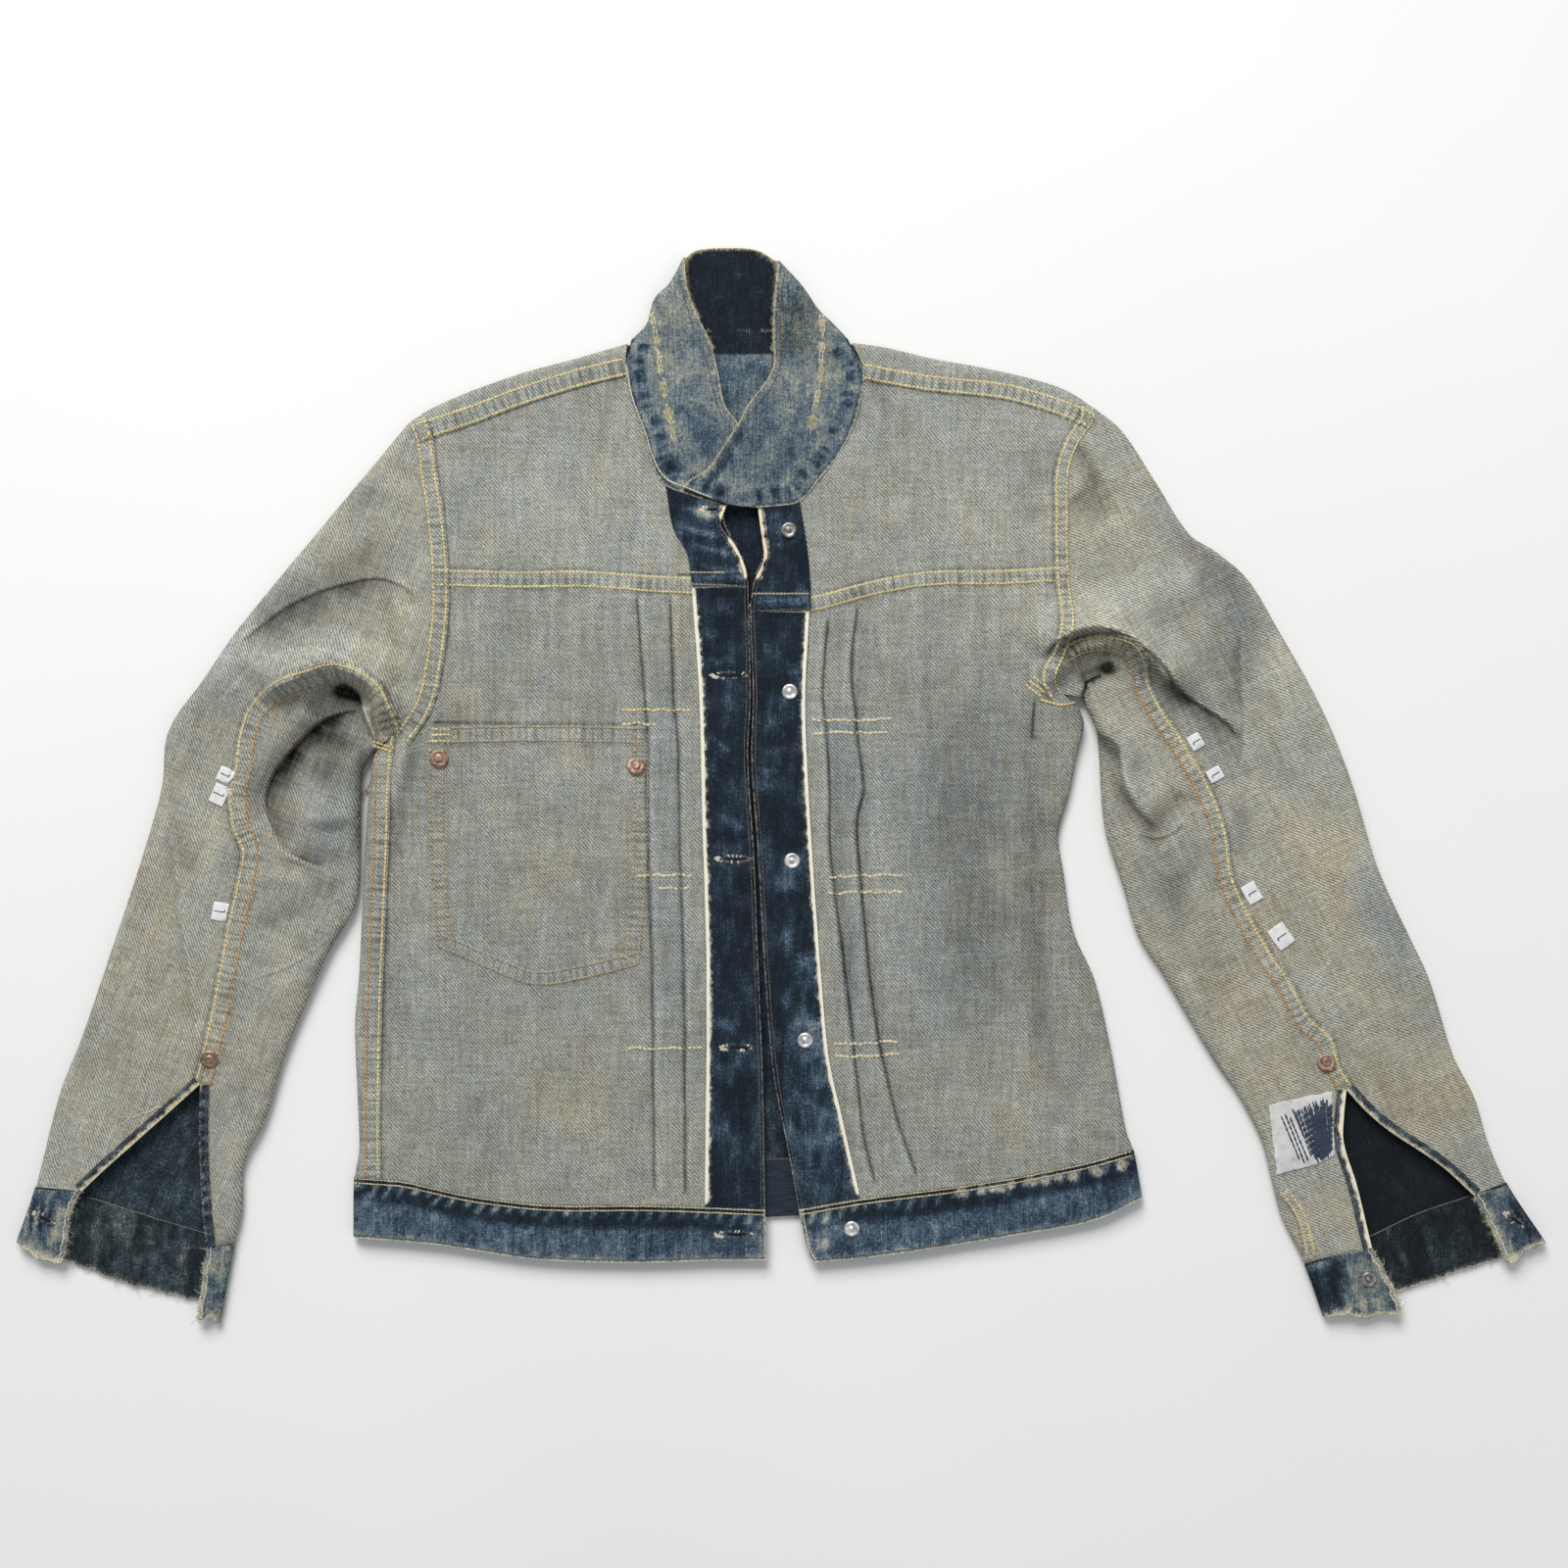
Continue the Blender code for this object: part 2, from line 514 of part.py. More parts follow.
def wall_points(xy, outside, layer):
    """Middle of the wall and the way out of it, for plan points of one layer of a piece.

    outside holds, for each point on the piece's outline, the way out of the outline.
    """
    floor = layer.wall / 2
    height = layer.lift(xy)
    slope_x = (layer.lift(xy + [PROBE, 0]) - layer.lift(xy - [PROBE, 0])) / (2 * PROBE)
    slope_y = (layer.lift(xy + [0, PROBE]) - layer.lift(xy - [0, PROBE])) / (2 * PROBE)
    rise = height - floor
    roll = ROLL_WIDTH * rise
    middle = floor + ROLL_MIDDLE * rise
    near, outward = np.full(len(xy), FAR), np.zeros((len(xy), 2))
    if layer.folds:
        near, outward = fold_distance(xy, layer.folds)
        on_fold = near < SEAM_GAP
        square = edge_way(xy[on_fold], layer.folds)
        turn = np.sign((square * outside[on_fold]).sum(1))
        outward[on_fold] = square * turn[:, None]
    across = np.clip(1 - near / roll, 0, 1)
    semi = height - middle if layer.upper else middle - floor
    up = np.sqrt(1 - across**2)
    if layer.parted:
        up = np.maximum(up, PARTED_GAP / 2 / semi)
    if layer.upper:
        z = middle + semi * up + layer.offset
        flat = np.stack([-slope_x, -slope_y, np.ones(len(xy))], 1)
        flat /= np.linalg.norm(flat, axis=1)[:, None]
    else:
        z = middle - semi * up
        flat = np.tile([0.0, 0.0, -1.0], (len(xy), 1))
    side = np.concatenate([outward, np.zeros((len(xy), 1))], 1)
    normal = side * (across / roll)[:, None] + flat * (up / semi)[:, None]
    normal /= np.linalg.norm(normal, axis=1)[:, None]
    return np.concatenate([xy, z[:, None]], 1), normal


class Layer:
    """One part of a piece: its outline, which layer it lies in, and how its wall runs."""

    def __init__(self, stretches, lift, folds=(), upper=True, step=OPEN_STEP, wall=CLOTH, **more):
        self.stretches = stretches
        self.lift = lift
        self.folds = list(folds)
        self.upper = upper
        self.step = step
        self.wall = wall
        self.offset = more.get("offset", 0.0)
        self.creased = more.get("creased", False)
        self.parted = more.get("parted", False)
        self.pleats = more.get("pleats", ())


def fold(line, first=0, last=-1):
    return run(line, first, last, FOLD_STEP), True


def edge(line, first=0, last=-1):
    return run(line, first, last), False


def straight(*points):
    return np.array(points, float), False


def closed_outline(stretches):
    """Points of the outline, counter-clockwise, and whether the edge after each is a fold."""
    points, folded = [], []
    for line, is_fold in stretches:
        for k, point in enumerate(line):
            if points and np.hypot(*(np.array(points[-1]) - point)) < TOUCH:
                if k == 0:
                    folded[-1] = is_fold
                continue
            points.append(tuple(point))
            folded.append(is_fold)
        folded[-1] = False
    if np.hypot(*(np.array(points[0]) - points[-1])) < TOUCH:
        points.pop()
        folded.pop()
    points, folded = np.array(points), np.array(folded)
    ahead = np.roll(points, -1, axis=0)
    if (points[:, 0] * ahead[:, 1] - points[:, 1] * ahead[:, 0]).sum() < 0:
        points, folded = points[::-1], np.roll(folded[::-1], -1)
    return points, folded


def stand_back(points, folded):
    """The outline drawn in from its seams, and the way out of it at each point."""
    ahead = np.roll(points, -1, axis=0) - points
    ahead /= np.hypot(*ahead.T)[:, None]
    inward = np.stack([-ahead[:, 1], ahead[:, 0]], 1)
    back = np.where(folded, 0.0, SEAM_GAP)
    result = points.copy()
    for k in range(len(points)):
        ways = np.array([inward[k - 1], inward[k]])
        amounts = np.array([back[k - 1], back[k]])
        if abs(np.linalg.det(ways)) > STEEP_CORNER:
            step = np.linalg.solve(ways, amounts)
        else:
            step = ways.mean(0) * amounts.max()
        length = np.hypot(*step)
        result[k] += step * min(1.0, MOST_MITRE * SEAM_GAP / max(length, 1e-9))
    folded_before = np.roll(folded, 1)
    out = -np.where(folded[:, None], inward, np.roll(inward, 1, axis=0))
    out = np.where((folded & folded_before)[:, None], -(inward + np.roll(inward, 1, axis=0)), out)
    return result, out, folded | folded_before


def inside(outline, xy):
    x, y = xy.T
    result = np.zeros(len(xy), bool)
    for (ax, ay), (bx, by) in zip(outline, np.roll(outline, -1, axis=0)):
        crosses = (ay > y) != (by > y)
        level = (bx - ax) * (y - ay) / (by - ay if by != ay else 1e-9) + ax
        result ^= crosses & (x < level)
    return result


def fold_rows(outline, folded, layer):
    """Points just inside each folded edge, on which the roll of the cloth is drawn."""
    ahead = np.roll(outline, -1, axis=0) - outline
    inward = np.stack([-ahead[:, 1], ahead[:, 0]], 1) / np.hypot(*ahead.T)[:, None]
    inward += np.roll(inward, 1, axis=0)
    inward /= np.hypot(*inward.T)[:, None]
    within = np.where(folded & np.roll(folded, 1))[0]
    roll = ROLL_WIDTH * (layer.lift(outline[within]) - layer.wall / 2)
    rows = [outline[within] + inward[within] * (roll * share)[:, None] for share in FOLD_ROWS]
    return np.concatenate(rows)


def crease_points():
    points = []
    for line, height, left, right in CREASES:
        centre = run(line, step=FINE_STEP)
        way = np.gradient(centre, axis=0)
        way /= np.hypot(*way.T)[:, None]
        across = np.stack([-way[:, 1], way[:, 0]], 1)
        points.append(centre)
        if abs(height) > 4:
            points += [centre + across * left * 1.1, centre - across * right * 1.1]
    return np.concatenate(points)


def pleat_rows(line, towards, width):
    """Both sides of a pleat's folded edge, clear of the seams at its ends."""
    centre = run(line, step=FOLD_STEP)[1:-1]
    foot = centre - [PLEAT_EDGE * towards, 0]
    head = centre + [PLEAT_EDGE * towards, 0]
    back = centre + [(width - 2) * towards, 0]
    return foot, head, back


def pleat_relief(pleats):
    """How far the layers of each pleat raise the outer face of the front."""

    def relief(xy):
        total = np.zeros(len(xy))
        for line, towards, width in pleats:
            distance, _, side, along = nearest(run(line, step=FOLD_STEP), xy)
            reach = distance * np.sign(side) * towards
            rise = smooth(reach + PLEAT_EDGE) * np.clip(1 - reach / width, 0, 1)
            total += PLEAT_STEP * rise * (along > 0.01) * (along < 0.99)
        return total

    return relief


def grid(outline, step):
    low, high = outline.min(0), outline.max(0)
    rows = np.arange(low[1] + step / 2, high[1], step * 0.87)
    points = []
    for k, y in enumerate(rows):
        start = low[0] + (step / 2 if k % 2 else step)
        points += [(x, y) for x in np.arange(start, high[0], step)]
    return np.array(points).reshape(-1, 2)


def thin_out(chosen, more, apart):
    """Adds the points that are far enough from those already chosen."""
    kept = [tuple(p) for p in chosen]
    for point in more:
        if min(math.dist(point, other) for other in kept) >= apart:
            kept.append(tuple(point))
    return np.array(kept)


def layer_mesh(layer):
    """Wall middle, normals, triangles and fold flags of one layer of a piece."""
    rough, folded = closed_outline(layer.stretches)
    outline, out, on_fold = stand_back(rough, folded)
    count = len(outline)
    loop = np.concatenate([outline, outline[:1]])
    edges = []

    def clear(points, margin):
        if not len(points):
            return points.reshape(-1, 2)
        points = points[inside(outline, points)]
        return points[nearest(loop, points)[0] > margin] if len(points) else points

    points = outline
    if folded.any():
        points = thin_out(points, clear(fold_rows(outline, folded, layer), ROW_CLEAR), ROW_APART)
    for line, towards, width in layer.pleats:
        foot, head, back = pleat_rows(line, towards, width)
        for row in (foot, head):
            start = len(points)
            points = np.concatenate([points, row])
            edges += [(k, k + 1) for k in range(start, start + len(row) - 1)]
        points = thin_out(points, clear(back, PLEAT_CLEAR), PLEAT_APART)
    if layer.creased:
        points = thin_out(points, clear(crease_points(), CREASE_CLEAR), CREASE_APART)
    inner = clear(grid(outline, layer.step), layer.step * GRID_CLEAR)
    points = thin_out(points, inner, layer.step * GRID_APART)
    ring = list(range(count))
    edges += list(zip(ring, ring[1:] + ring[:1]))
    found = delaunay_2d_cdt([Vector(p) for p in points], edges, [ring], 1, 1e-5)
    xy = np.array([v[:] for v in found[0]])
    source = [origin[0] if origin else -1 for origin in found[3]]
    outside = np.array([out[s] if 0 <= s < count else (0.0, 0.0) for s in source])
    flags = np.array([0 <= s < count and on_fold[s] for s in source])
    middle, normal = wall_points(xy, outside, layer)
    triangles = [tuple(face) for face in found[2]]
    corners = np.array(triangles)
    a, b, c = xy[corners[:, 0]], xy[corners[:, 1]], xy[corners[:, 2]]
    area = (b - a)[:, 0] * (c - a)[:, 1] - (b - a)[:, 1] * (c - a)[:, 0]
    wrong = (area < 0) == layer.upper
    corners[wrong] = corners[wrong][:, ::-1]
    return middle, normal, corners, flags


def join_layers(layers):
    """Joins the layers of a piece along the folds that they share."""
    points, normals, triangles, flags = layer_mesh(layers[0])
    for layer in layers[1:]:
        more_points, more_normals, more_triangles, more_flags = layer_mesh(layer)
        index = np.arange(len(more_points)) + len(points)
        folds = np.where(flags)[0]
        for k in np.where(more_flags)[0]:
            gap = np.linalg.norm(points[folds, :2] - more_points[k, :2], axis=1)
            if gap.min() < WELD:
                index[k] = folds[gap.argmin()]
        fresh = index >= len(points)
        renumber = np.cumsum(fresh) - 1 + len(points)
        index = np.where(fresh, renumber, index)
        points = np.concatenate([points, more_points[fresh]])
        normals = np.concatenate([normals, more_normals[fresh]])
        flags = np.concatenate([flags, more_flags[fresh]])
        triangles = np.concatenate([triangles, index[more_triangles]])
    keep = (triangles[:, 0] != triangles[:, 1]) & (triangles[:, 1] != triangles[:, 2])
    keep &= triangles[:, 0] != triangles[:, 2]
    return points, normals, triangles[keep]


def wall_solid(name, layers, material, relief=None):
    """A closed wall of cloth; relief raises its outer face, as pleats do."""
    points, normals, triangles = join_layers(layers)
    half = layers[0].wall / 2
    raised = relief(points[:, :2]) if relief else 0.0
    outer = points + normals * half
    outer[:, 2] += raised
    inner = points - normals * half
    count = len(points)
    faces = [tuple(t) for t in triangles] + [tuple(t[::-1] + count) for t in triangles]
    used = {}
    for a, b, c in triangles:
        for pair in ((a, b), (b, c), (c, a)):
            used[pair] = True
    for a, b in used:
        if (b, a) not in used:
            faces.append((b, a, a + count, b + count))
    return add_object(name, np.concatenate([outer, inner]), faces, material)


def add_object(name, points, faces, material):
    mesh = bpy.data.meshes.new(name)
    mesh.from_pydata([tuple(p * MM) for p in points], [], [tuple(int(k) for k in f) for f in faces])
    mesh.update()
    mesh.materials.append(material)
    mesh.shade_smooth()
    mesh.set_sharp_from_angle(angle=math.radians(40))
    piece = bpy.data.objects.new(name, mesh)
    bpy.context.scene.collection.objects.link(piece)
    return piece


def turned(name, profile, place, out, paint, sides=14):
    """A round fitting turned from its profile, standing at a place along its way out."""
    points, faces = [], []
    for radius, height in profile[1:-1]:
        for k in range(sides):
            turn = 2 * math.pi * k / sides
            points.append((radius * math.cos(turn), radius * math.sin(turn), height))
    rings = len(profile) - 2
    foot, head = len(points), len(points) + 1
    points += [(0, 0, profile[0][1]), (0, 0, profile[-1][1])]
    for ring in range(rings - 1):
        for k in range(sides):
            a, b = ring * sides + k, ring * sides + (k + 1) % sides
            faces.append((a, b, b + sides, a + sides))
    last = (rings - 1) * sides
    for k in range(sides):
        faces.append((foot, (k + 1) % sides, k))
        faces.append((head, last + k, last + (k + 1) % sides))
    turn = Vector((0, 0, 1)).rotation_difference(Vector(out)).to_matrix()
    placed = np.array([(turn @ Vector(p))[:] for p in points]) + place
    return add_object(name, placed, faces, paint)


def material(name, colour, roughness=0.9, metallic=0.0):
    made = bpy.data.materials.new(name)
    made.use_nodes = True
    shader = made.node_tree.nodes["Principled BSDF"]
    shader.inputs["Base Color"].default_value = (*colour, 1)
    shader.inputs["Roughness"].default_value = roughness
    shader.inputs["Metallic"].default_value = metallic
    made.diffuse_color = (*colour, 1)
    return made


def body_layer(*stretches, **settings):
    return Layer(stretches, body_lift, BODY_FOLDS, **settings)


def sleeve_layer(*stretches, **settings):
    return Layer(stretches, sleeve_lift, BODY_FOLDS, **settings)


def floor_layer(*stretches, lift=body_lift, **settings):
    return Layer(stretches, lift, BODY_FOLDS, upper=False, step=FLOOR_STEP, **settings)


def make_back(paint):
    floor = floor_layer(
        fold(SIDE_LEFT, 7, 0),
        edge(BACK_ARMHOLE_LEFT, -1, 0),
        fold(SHOULDER_LEFT, -1, 0),
        edge(BACK_NECK),
        fold(SHOULDER_RIGHT),
        edge(BACK_ARMHOLE_RIGHT, 0, 5),
        edge(BACK_SIDE_SEAM_RIGHT),
        edge(BACK_HEM, 5, 0),
    )
    side = body_layer(fold(SIDE_LEFT, 0, 7), edge(HEM_LEFT, 6, 5), edge(SIDE_SEAM_LEFT, -1, 0))
    left = body_layer(
        fold(SHOULDER_LEFT),
        edge(ARMHOLE_LEFT, 0, 1),
        edge(SHOULDER_SEAM_LEFT),
        edge(NECK_LEFT, 1, 0),
    )
    right = body_layer(
        fold(SHOULDER_RIGHT),
        edge(ARMHOLE_RIGHT, 0, 1),
        edge(SHOULDER_SEAM_RIGHT),
        edge(NECK_RIGHT, 1, 0),
    )
    wall_solid("back", [floor, side, left, right], paint)


def make_yokes(paint):
    left = body_layer(
        edge(NECK_LEFT, 1, -1),
        edge(FRONT_EDGE_LEFT, 0, 4),
        edge(YOKE_SEAM_LEFT, -1, 0),
        edge(ARMHOLE_LEFT, 5, 1),
        edge(SHOULDER_SEAM_LEFT),
    )
    right = body_layer(
        edge(NECK_RIGHT, 1, -1),
        edge(FRONT_EDGE_RIGHT, 0, 4),
        edge(YOKE_SEAM_RIGHT, -1, 0),
        edge(ARMHOLE_RIGHT, 5, 1),
        edge(SHOULDER_SEAM_RIGHT),
    )
    wall_solid("yoke_left", [left], paint)
    wall_solid("yoke_right", [right], paint)


def make_fronts(paint):
    left = body_layer(
        edge(YOKE_SEAM_LEFT),
        edge(FRONT_EDGE_LEFT, 4, -1),
        edge(HEM_LEFT, 0, 5),
        edge(SIDE_SEAM_LEFT, -1, 0),
        edge(ARMHOLE_LEFT, 9, 5),
        creased=True,
        pleats=PLEATS_LEFT,
    )
    right = body_layer(
        edge(FRONT_EDGE_RIGHT, 4, -1),
        edge(HEM_RIGHT),
        fold(SIDE_RIGHT, 10, 0),
        edge(ARMHOLE_RIGHT, 9, 5),
        edge(YOKE_SEAM_RIGHT),
        creased=True,
        pleats=PLEATS_RIGHT,
    )
    wrap = floor_layer(
        fold(SIDE_RIGHT, 0, 10),
        edge(BACK_HEM, 6, 5),
        edge(BACK_SIDE_SEAM_RIGHT, -1, 0),
        edge(BACK_ARMHOLE_RIGHT, 5, 6),
    )
    wall_solid("front_left", [left], paint, pleat_relief(PLEATS_LEFT))
    wall_solid("front_right", [right, wrap], paint, pleat_relief(PLEATS_RIGHT))


def make_facings(paint):
    over = CLOTH + LAY_GAP
    pieces = {
        "facing_upper_left": (
            edge(NECK_LEFT, 5, 8),
            edge(FRONT_EDGE_LEFT, 0, 4),
            edge(FACING_UPPER_EDGE_LEFT, -1, 0),
        ),
        "facing_upper_right": (
            edge(NECK_RIGHT, 6, 8),
            edge(FRONT_EDGE_RIGHT, 0, 4),
            edge(FACING_UPPER_EDGE_RIGHT, -1, 0),
        ),
        "facing_left": (
            edge(FRONT_EDGE_LEFT, 4, 9),
            edge(FACING_FOOT_LEFT, -1, 0),
            edge(FACING_EDGE_LEFT, -1, 0),
        ),
        "facing_right": (
            edge(FRONT_EDGE_RIGHT, 4, 10),
            edge(FACING_FOOT_RIGHT, -1, 0),
            edge(FACING_EDGE_RIGHT, -1, 0),
        ),
    }
    for name, stretches in pieces.items():
        wall_solid(name, [body_layer(*stretches, offset=over)], paint)


def make_waistband(paint):
    left = Layer(
        [
            fold(SIDE_LEFT, 7, 8),
            edge(BAND_FOOT_LEFT, -1, 0),
            edge(BAND_END_LEFT, -1, 0),
            edge(HEM_LEFT),
        ],
        band_lift,
        BODY_FOLDS,
        wall=BAND,
    )
    right = Layer(
        [
            fold(SIDE_RIGHT, 10, 11),
            edge(BAND_FOOT_RIGHT, -1, 0),
            edge(BAND_END_RIGHT, -1, 0),
            edge(HEM_RIGHT),
        ],
        band_lift,
        BODY_FOLDS,
        wall=BAND,
    )
    floor = floor_layer(
        fold(SIDE_LEFT, 7, 8),
        edge(BAND_FOOT_BACK),
        fold(SIDE_RIGHT, 11, 10),
        edge(BACK_HEM, -1, 0),
        lift=band_lift,
        wall=BAND,
    )
    wall_solid("waistband", [floor, left, right], paint)


def collar_back_lift(xy):
    return np.where(xy[:, 0] < LAP_START - LAP_RUN, collar_left_lift(xy), collar_right_lift(xy))


def make_collar(paint):
    back = Layer(
        [
            fold(COLLAR_FOLD_LEFT),
            edge(COLLAR_FOOT_BACK),
            fold(COLLAR_FOLD_RIGHT, -1, 0),
            edge(COLLAR_TOP, -1, 0),
        ],
        collar_back_lift,
        COLLAR_FOLDS,
        upper=False,
        wall=BAND,
    )
    left = Layer(
        [fold(COLLAR_FOLD_LEFT), edge(NECK_LEFT, 1, -1), edge(RIM_LEFT, -1, 0)],
        collar_left_lift,
        COLLAR_FOLDS,
        wall=BAND,
        step=FINE_STEP,
    )
    right = Layer(
        [
            fold(COLLAR_FOLD_RIGHT),
            edge(NECK_RIGHT, 1, -1),
            edge(COLLAR_LAP_FOOT, -1, 0),
            edge(RIM_RIGHT, -1, 0),
        ],
        collar_right_lift,
        COLLAR_FOLDS,
        wall=BAND,
        step=FINE_STEP,
    )
    wall_solid("collar", [back, left, right], paint)


def make_sleeves(paint):
    sleeve = {"creased": True, "step": FINE_STEP + 3, "parted": True}
    under = {"lift": sleeve_lift, "parted": True}
    left_outer = sleeve_layer(
        edge(ARMHOLE_LEFT, 0, 9),
        edge(SLEEVE_SEAM_LEFT, 0, 7),
        edge(UPPER_CUT_LEFT),
        fold(OUTER_LEFT, 6, 0),
        **sleeve,
    )
    left_outer_elbow = sleeve_layer(
        edge(SLEEVE_SEAM_LEFT, 7, 10),
        edge(CUT_LEFT),
        fold(OUTER_LEFT, 8, 6),
        edge(UPPER_CUT_LEFT, -1, 0),
        **sleeve,
    )
    left_outer_lower = sleeve_layer(
        edge(SLEEVE_SEAM_LEFT, 10, -1),
        edge(SLIT_LEFT_OUTER),
        fold(OUTER_LEFT, 13, 8),
        edge(CUT_LEFT, -1, 0),
        **sleeve,
    )
    left_under = floor_layer(
        fold(OUTER_LEFT, 0, 8),
        edge(UNDER_CUT_LEFT, -1, 0),
        edge(UNDER_SEAM_LEFT, 3, 0),
        edge(BACK_ARMHOLE_LEFT, 4, 0),
        **under,
    )
    left_under_lower = floor_layer(
        fold(OUTER_LEFT, 8, 13),
        edge(CUFF_SEAM_LEFT, 0, 3),
        edge(UNDER_SEAM_LEFT, -1, 3),
        edge(UNDER_CUT_LEFT),
        **under,
    )
    left_inner = sleeve_layer(
        edge(SLEEVE_SEAM_LEFT),
        edge(SLIT_LEFT_INNER),
        fold(INNER_LEFT, 11, 0),
        **sleeve,
    )
    left_inner_under = floor_layer(
        fold(INNER_LEFT, 0, 11),
        edge(CUFF_SEAM_LEFT, 4, 3),
        edge(UNDER_SEAM_LEFT, -1, 0),
        edge(BACK_ARMHOLE_LEFT, 4, 6),
        **under,
    )
    right_outer = sleeve_layer(
        edge(ARMHOLE_RIGHT, 0, 7),
        edge(SLEEVE_SEAM_RIGHT),
        edge(SLIT_RIGHT_OUTER),
        fold(OUTER_RIGHT, 15, 0),
        **sleeve,
    )
    right_under = floor_layer(
        fold(OUTER_RIGHT, 0, 15),
        edge(CUFF_SEAM_RIGHT, 0, 4),
        edge(UNDER_SEAM_RIGHT, -1, 0),
        edge(BACK_ARMHOLE_RIGHT, 4, 0),
        **under,
    )
    right_inner = sleeve_layer(
        edge(SLEEVE_SEAM_RIGHT, 0, 10),
        edge(CUT_RIGHT),
        fold(INNER_RIGHT, 4, 0),
        edge(ARMHOLE_RIGHT, 9, 7),
        **sleeve,
    )
    right_inner_lower = sleeve_layer(
        edge(SLEEVE_SEAM_RIGHT, 10, -1),
        edge(SLIT_RIGHT_INNER),
        fold(INNER_RIGHT, 13, 4),
        edge(CUT_RIGHT, -1, 0),
        **sleeve,
    )
    right_inner_under = floor_layer(
        fold(INNER_RIGHT, 0, 13),
        edge(CUFF_SEAM_RIGHT, 5, 4),
        edge(UNDER_SEAM_RIGHT, -1, 0),
        edge(BACK_ARMHOLE_RIGHT, 4, 6),
        **under,
    )
    halves = {
        "sleeve_left_outer": left_outer,
        "sleeve_left_outer_elbow": left_outer_elbow,
        "sleeve_left_outer_lower": left_outer_lower,
        "sleeve_left_under": left_under,
        "sleeve_left_under_lower": left_under_lower,
        "sleeve_left_inner": left_inner,
        "sleeve_left_inner_under": left_inner_under,
        "sleeve_right_outer": right_outer,
        "sleeve_right_under": right_under,
        "sleeve_right_inner": right_inner,
        "sleeve_right_inner_lower": right_inner_lower,
        "sleeve_right_inner_under": right_inner_under,
    }
    for name, layer in halves.items():
        wall_solid(name, [layer], paint)


def cuff_layer(*stretches, upper=True):
    return Layer(stretches, cuff_lift, BODY_FOLDS, upper=upper, wall=BAND)


def make_cuffs(paint):
    left = [
        cuff_layer(
            fold(OUTER_LEFT, 13, 14),
            edge(CUFF_FOOT_LEFT),
            fold(INNER_LEFT, 12, 11),
            edge(CUFF_SEAM_LEFT, 4, 0),
            upper=False,
        ),
        cuff_layer(fold(OUTER_LEFT, 13, 14), edge(TAB_FOOT_LEFT_OUTER, -1, 0)),
        cuff_layer(fold(INNER_LEFT, 11, 12), edge(TAB_FOOT_LEFT_INNER, -1, 0)),
    ]
    right = [
        cuff_layer(
            fold(OUTER_RIGHT, 15, 16),
            edge(CUFF_FOOT_RIGHT),
            fold(INNER_RIGHT, 14, 13),
            edge(CUFF_SEAM_RIGHT, 5, 0),
            upper=False,
        ),
        cuff_layer(fold(OUTER_RIGHT, 15, 16), edge(TAB_FOOT_RIGHT_OUTER, -1, 0)),
        cuff_layer(fold(INNER_RIGHT, 13, 14), edge(TAB_FOOT_RIGHT_INNER, -1, 0)),
    ]
    wall_solid("cuff_left", left, paint)
    wall_solid("cuff_right", right, paint)


def make_slit_strips(paint):
    strips = {
        "slit_strip_left_outer": (SLIT_LEFT_OUTER, -1),
        "slit_strip_left_inner": (SLIT_LEFT_INNER, 1),
        "slit_strip_right_outer": (SLIT_RIGHT_OUTER, 1),
        "slit_strip_right_inner": (SLIT_RIGHT_INNER, -1),
    }
    for name, (line, side) in strips.items():
        near = run(line)
        way = np.gradient(near, axis=0)
        way /= np.hypot(*way.T)[:, None]
        far = near + side * STRIP_WIDTH * np.stack([-way[:, 1], way[:, 0]], 1)
        outline = [(near, False), (far[::-1], False)]
        wall_solid(name, [sleeve_layer(*outline, offset=CLOTH + LAY_GAP)], paint)


def make_pocket(paint):
    under = -(CLOTH + POCKET_GAP)
    wall_solid("pocket", [body_layer(edge(POCKET), straight(POCKET[-1], POCKET[0]), offset=under)], paint)


def make_patch_and_tabs(cotton, white):
    corners = straight(*PATCH)
    raise_patch = CLOTH / 2 + LAY_GAP + PATCH_THICKNESS / 2
    patch = sleeve_layer(corners, offset=raise_patch, wall=PATCH_THICKNESS)
    wall_solid("repair_patch", [patch], cotton)
    raise_tab = CLOTH / 2 + TAB_GAP + TAB_THICKNESS / 2
    for k, (middle, length, width, turn) in enumerate(SEAM_TABS):
        way = np.array([math.cos(math.radians(turn)), math.sin(math.radians(turn))])
        across = np.array([-way[1], way[0]])
        signs = ((-1, -1), (1, -1), (1, 1), (-1, 1))
        outline = straight(*[middle + a * way * length / 2 + b * across * width / 2 for a, b in signs])
        tab = sleeve_layer(outline, offset=raise_tab, wall=TAB_THICKNESS)
        wall_solid(f"seam_tab_{k + 1}", [tab], white)


def surface_at(point, lift):
    """Height of the wall's middle there and the way out of it."""
    xy = np.array([point], float)
    slope_x = (lift(xy + [PROBE, 0]) - lift(xy - [PROBE, 0]))[0] / (2 * PROBE)
    slope_y = (lift(xy + [0, PROBE]) - lift(xy - [0, PROBE]))[0] / (2 * PROBE)
    out = np.array([-slope_x, -slope_y, 1.0])
    return np.array([*point, lift(xy)[0]]), out / np.linalg.norm(out)


def head_profile(width, height, slant):
    """A low round head: its flat foot, its slanted rim and the flat at its middle."""
    rim, flat = width / 2, width / 5
    return [(0, 0), (rim, 0), (rim - slant, HEAD_RIM * height), (flat, height), (0, height)]


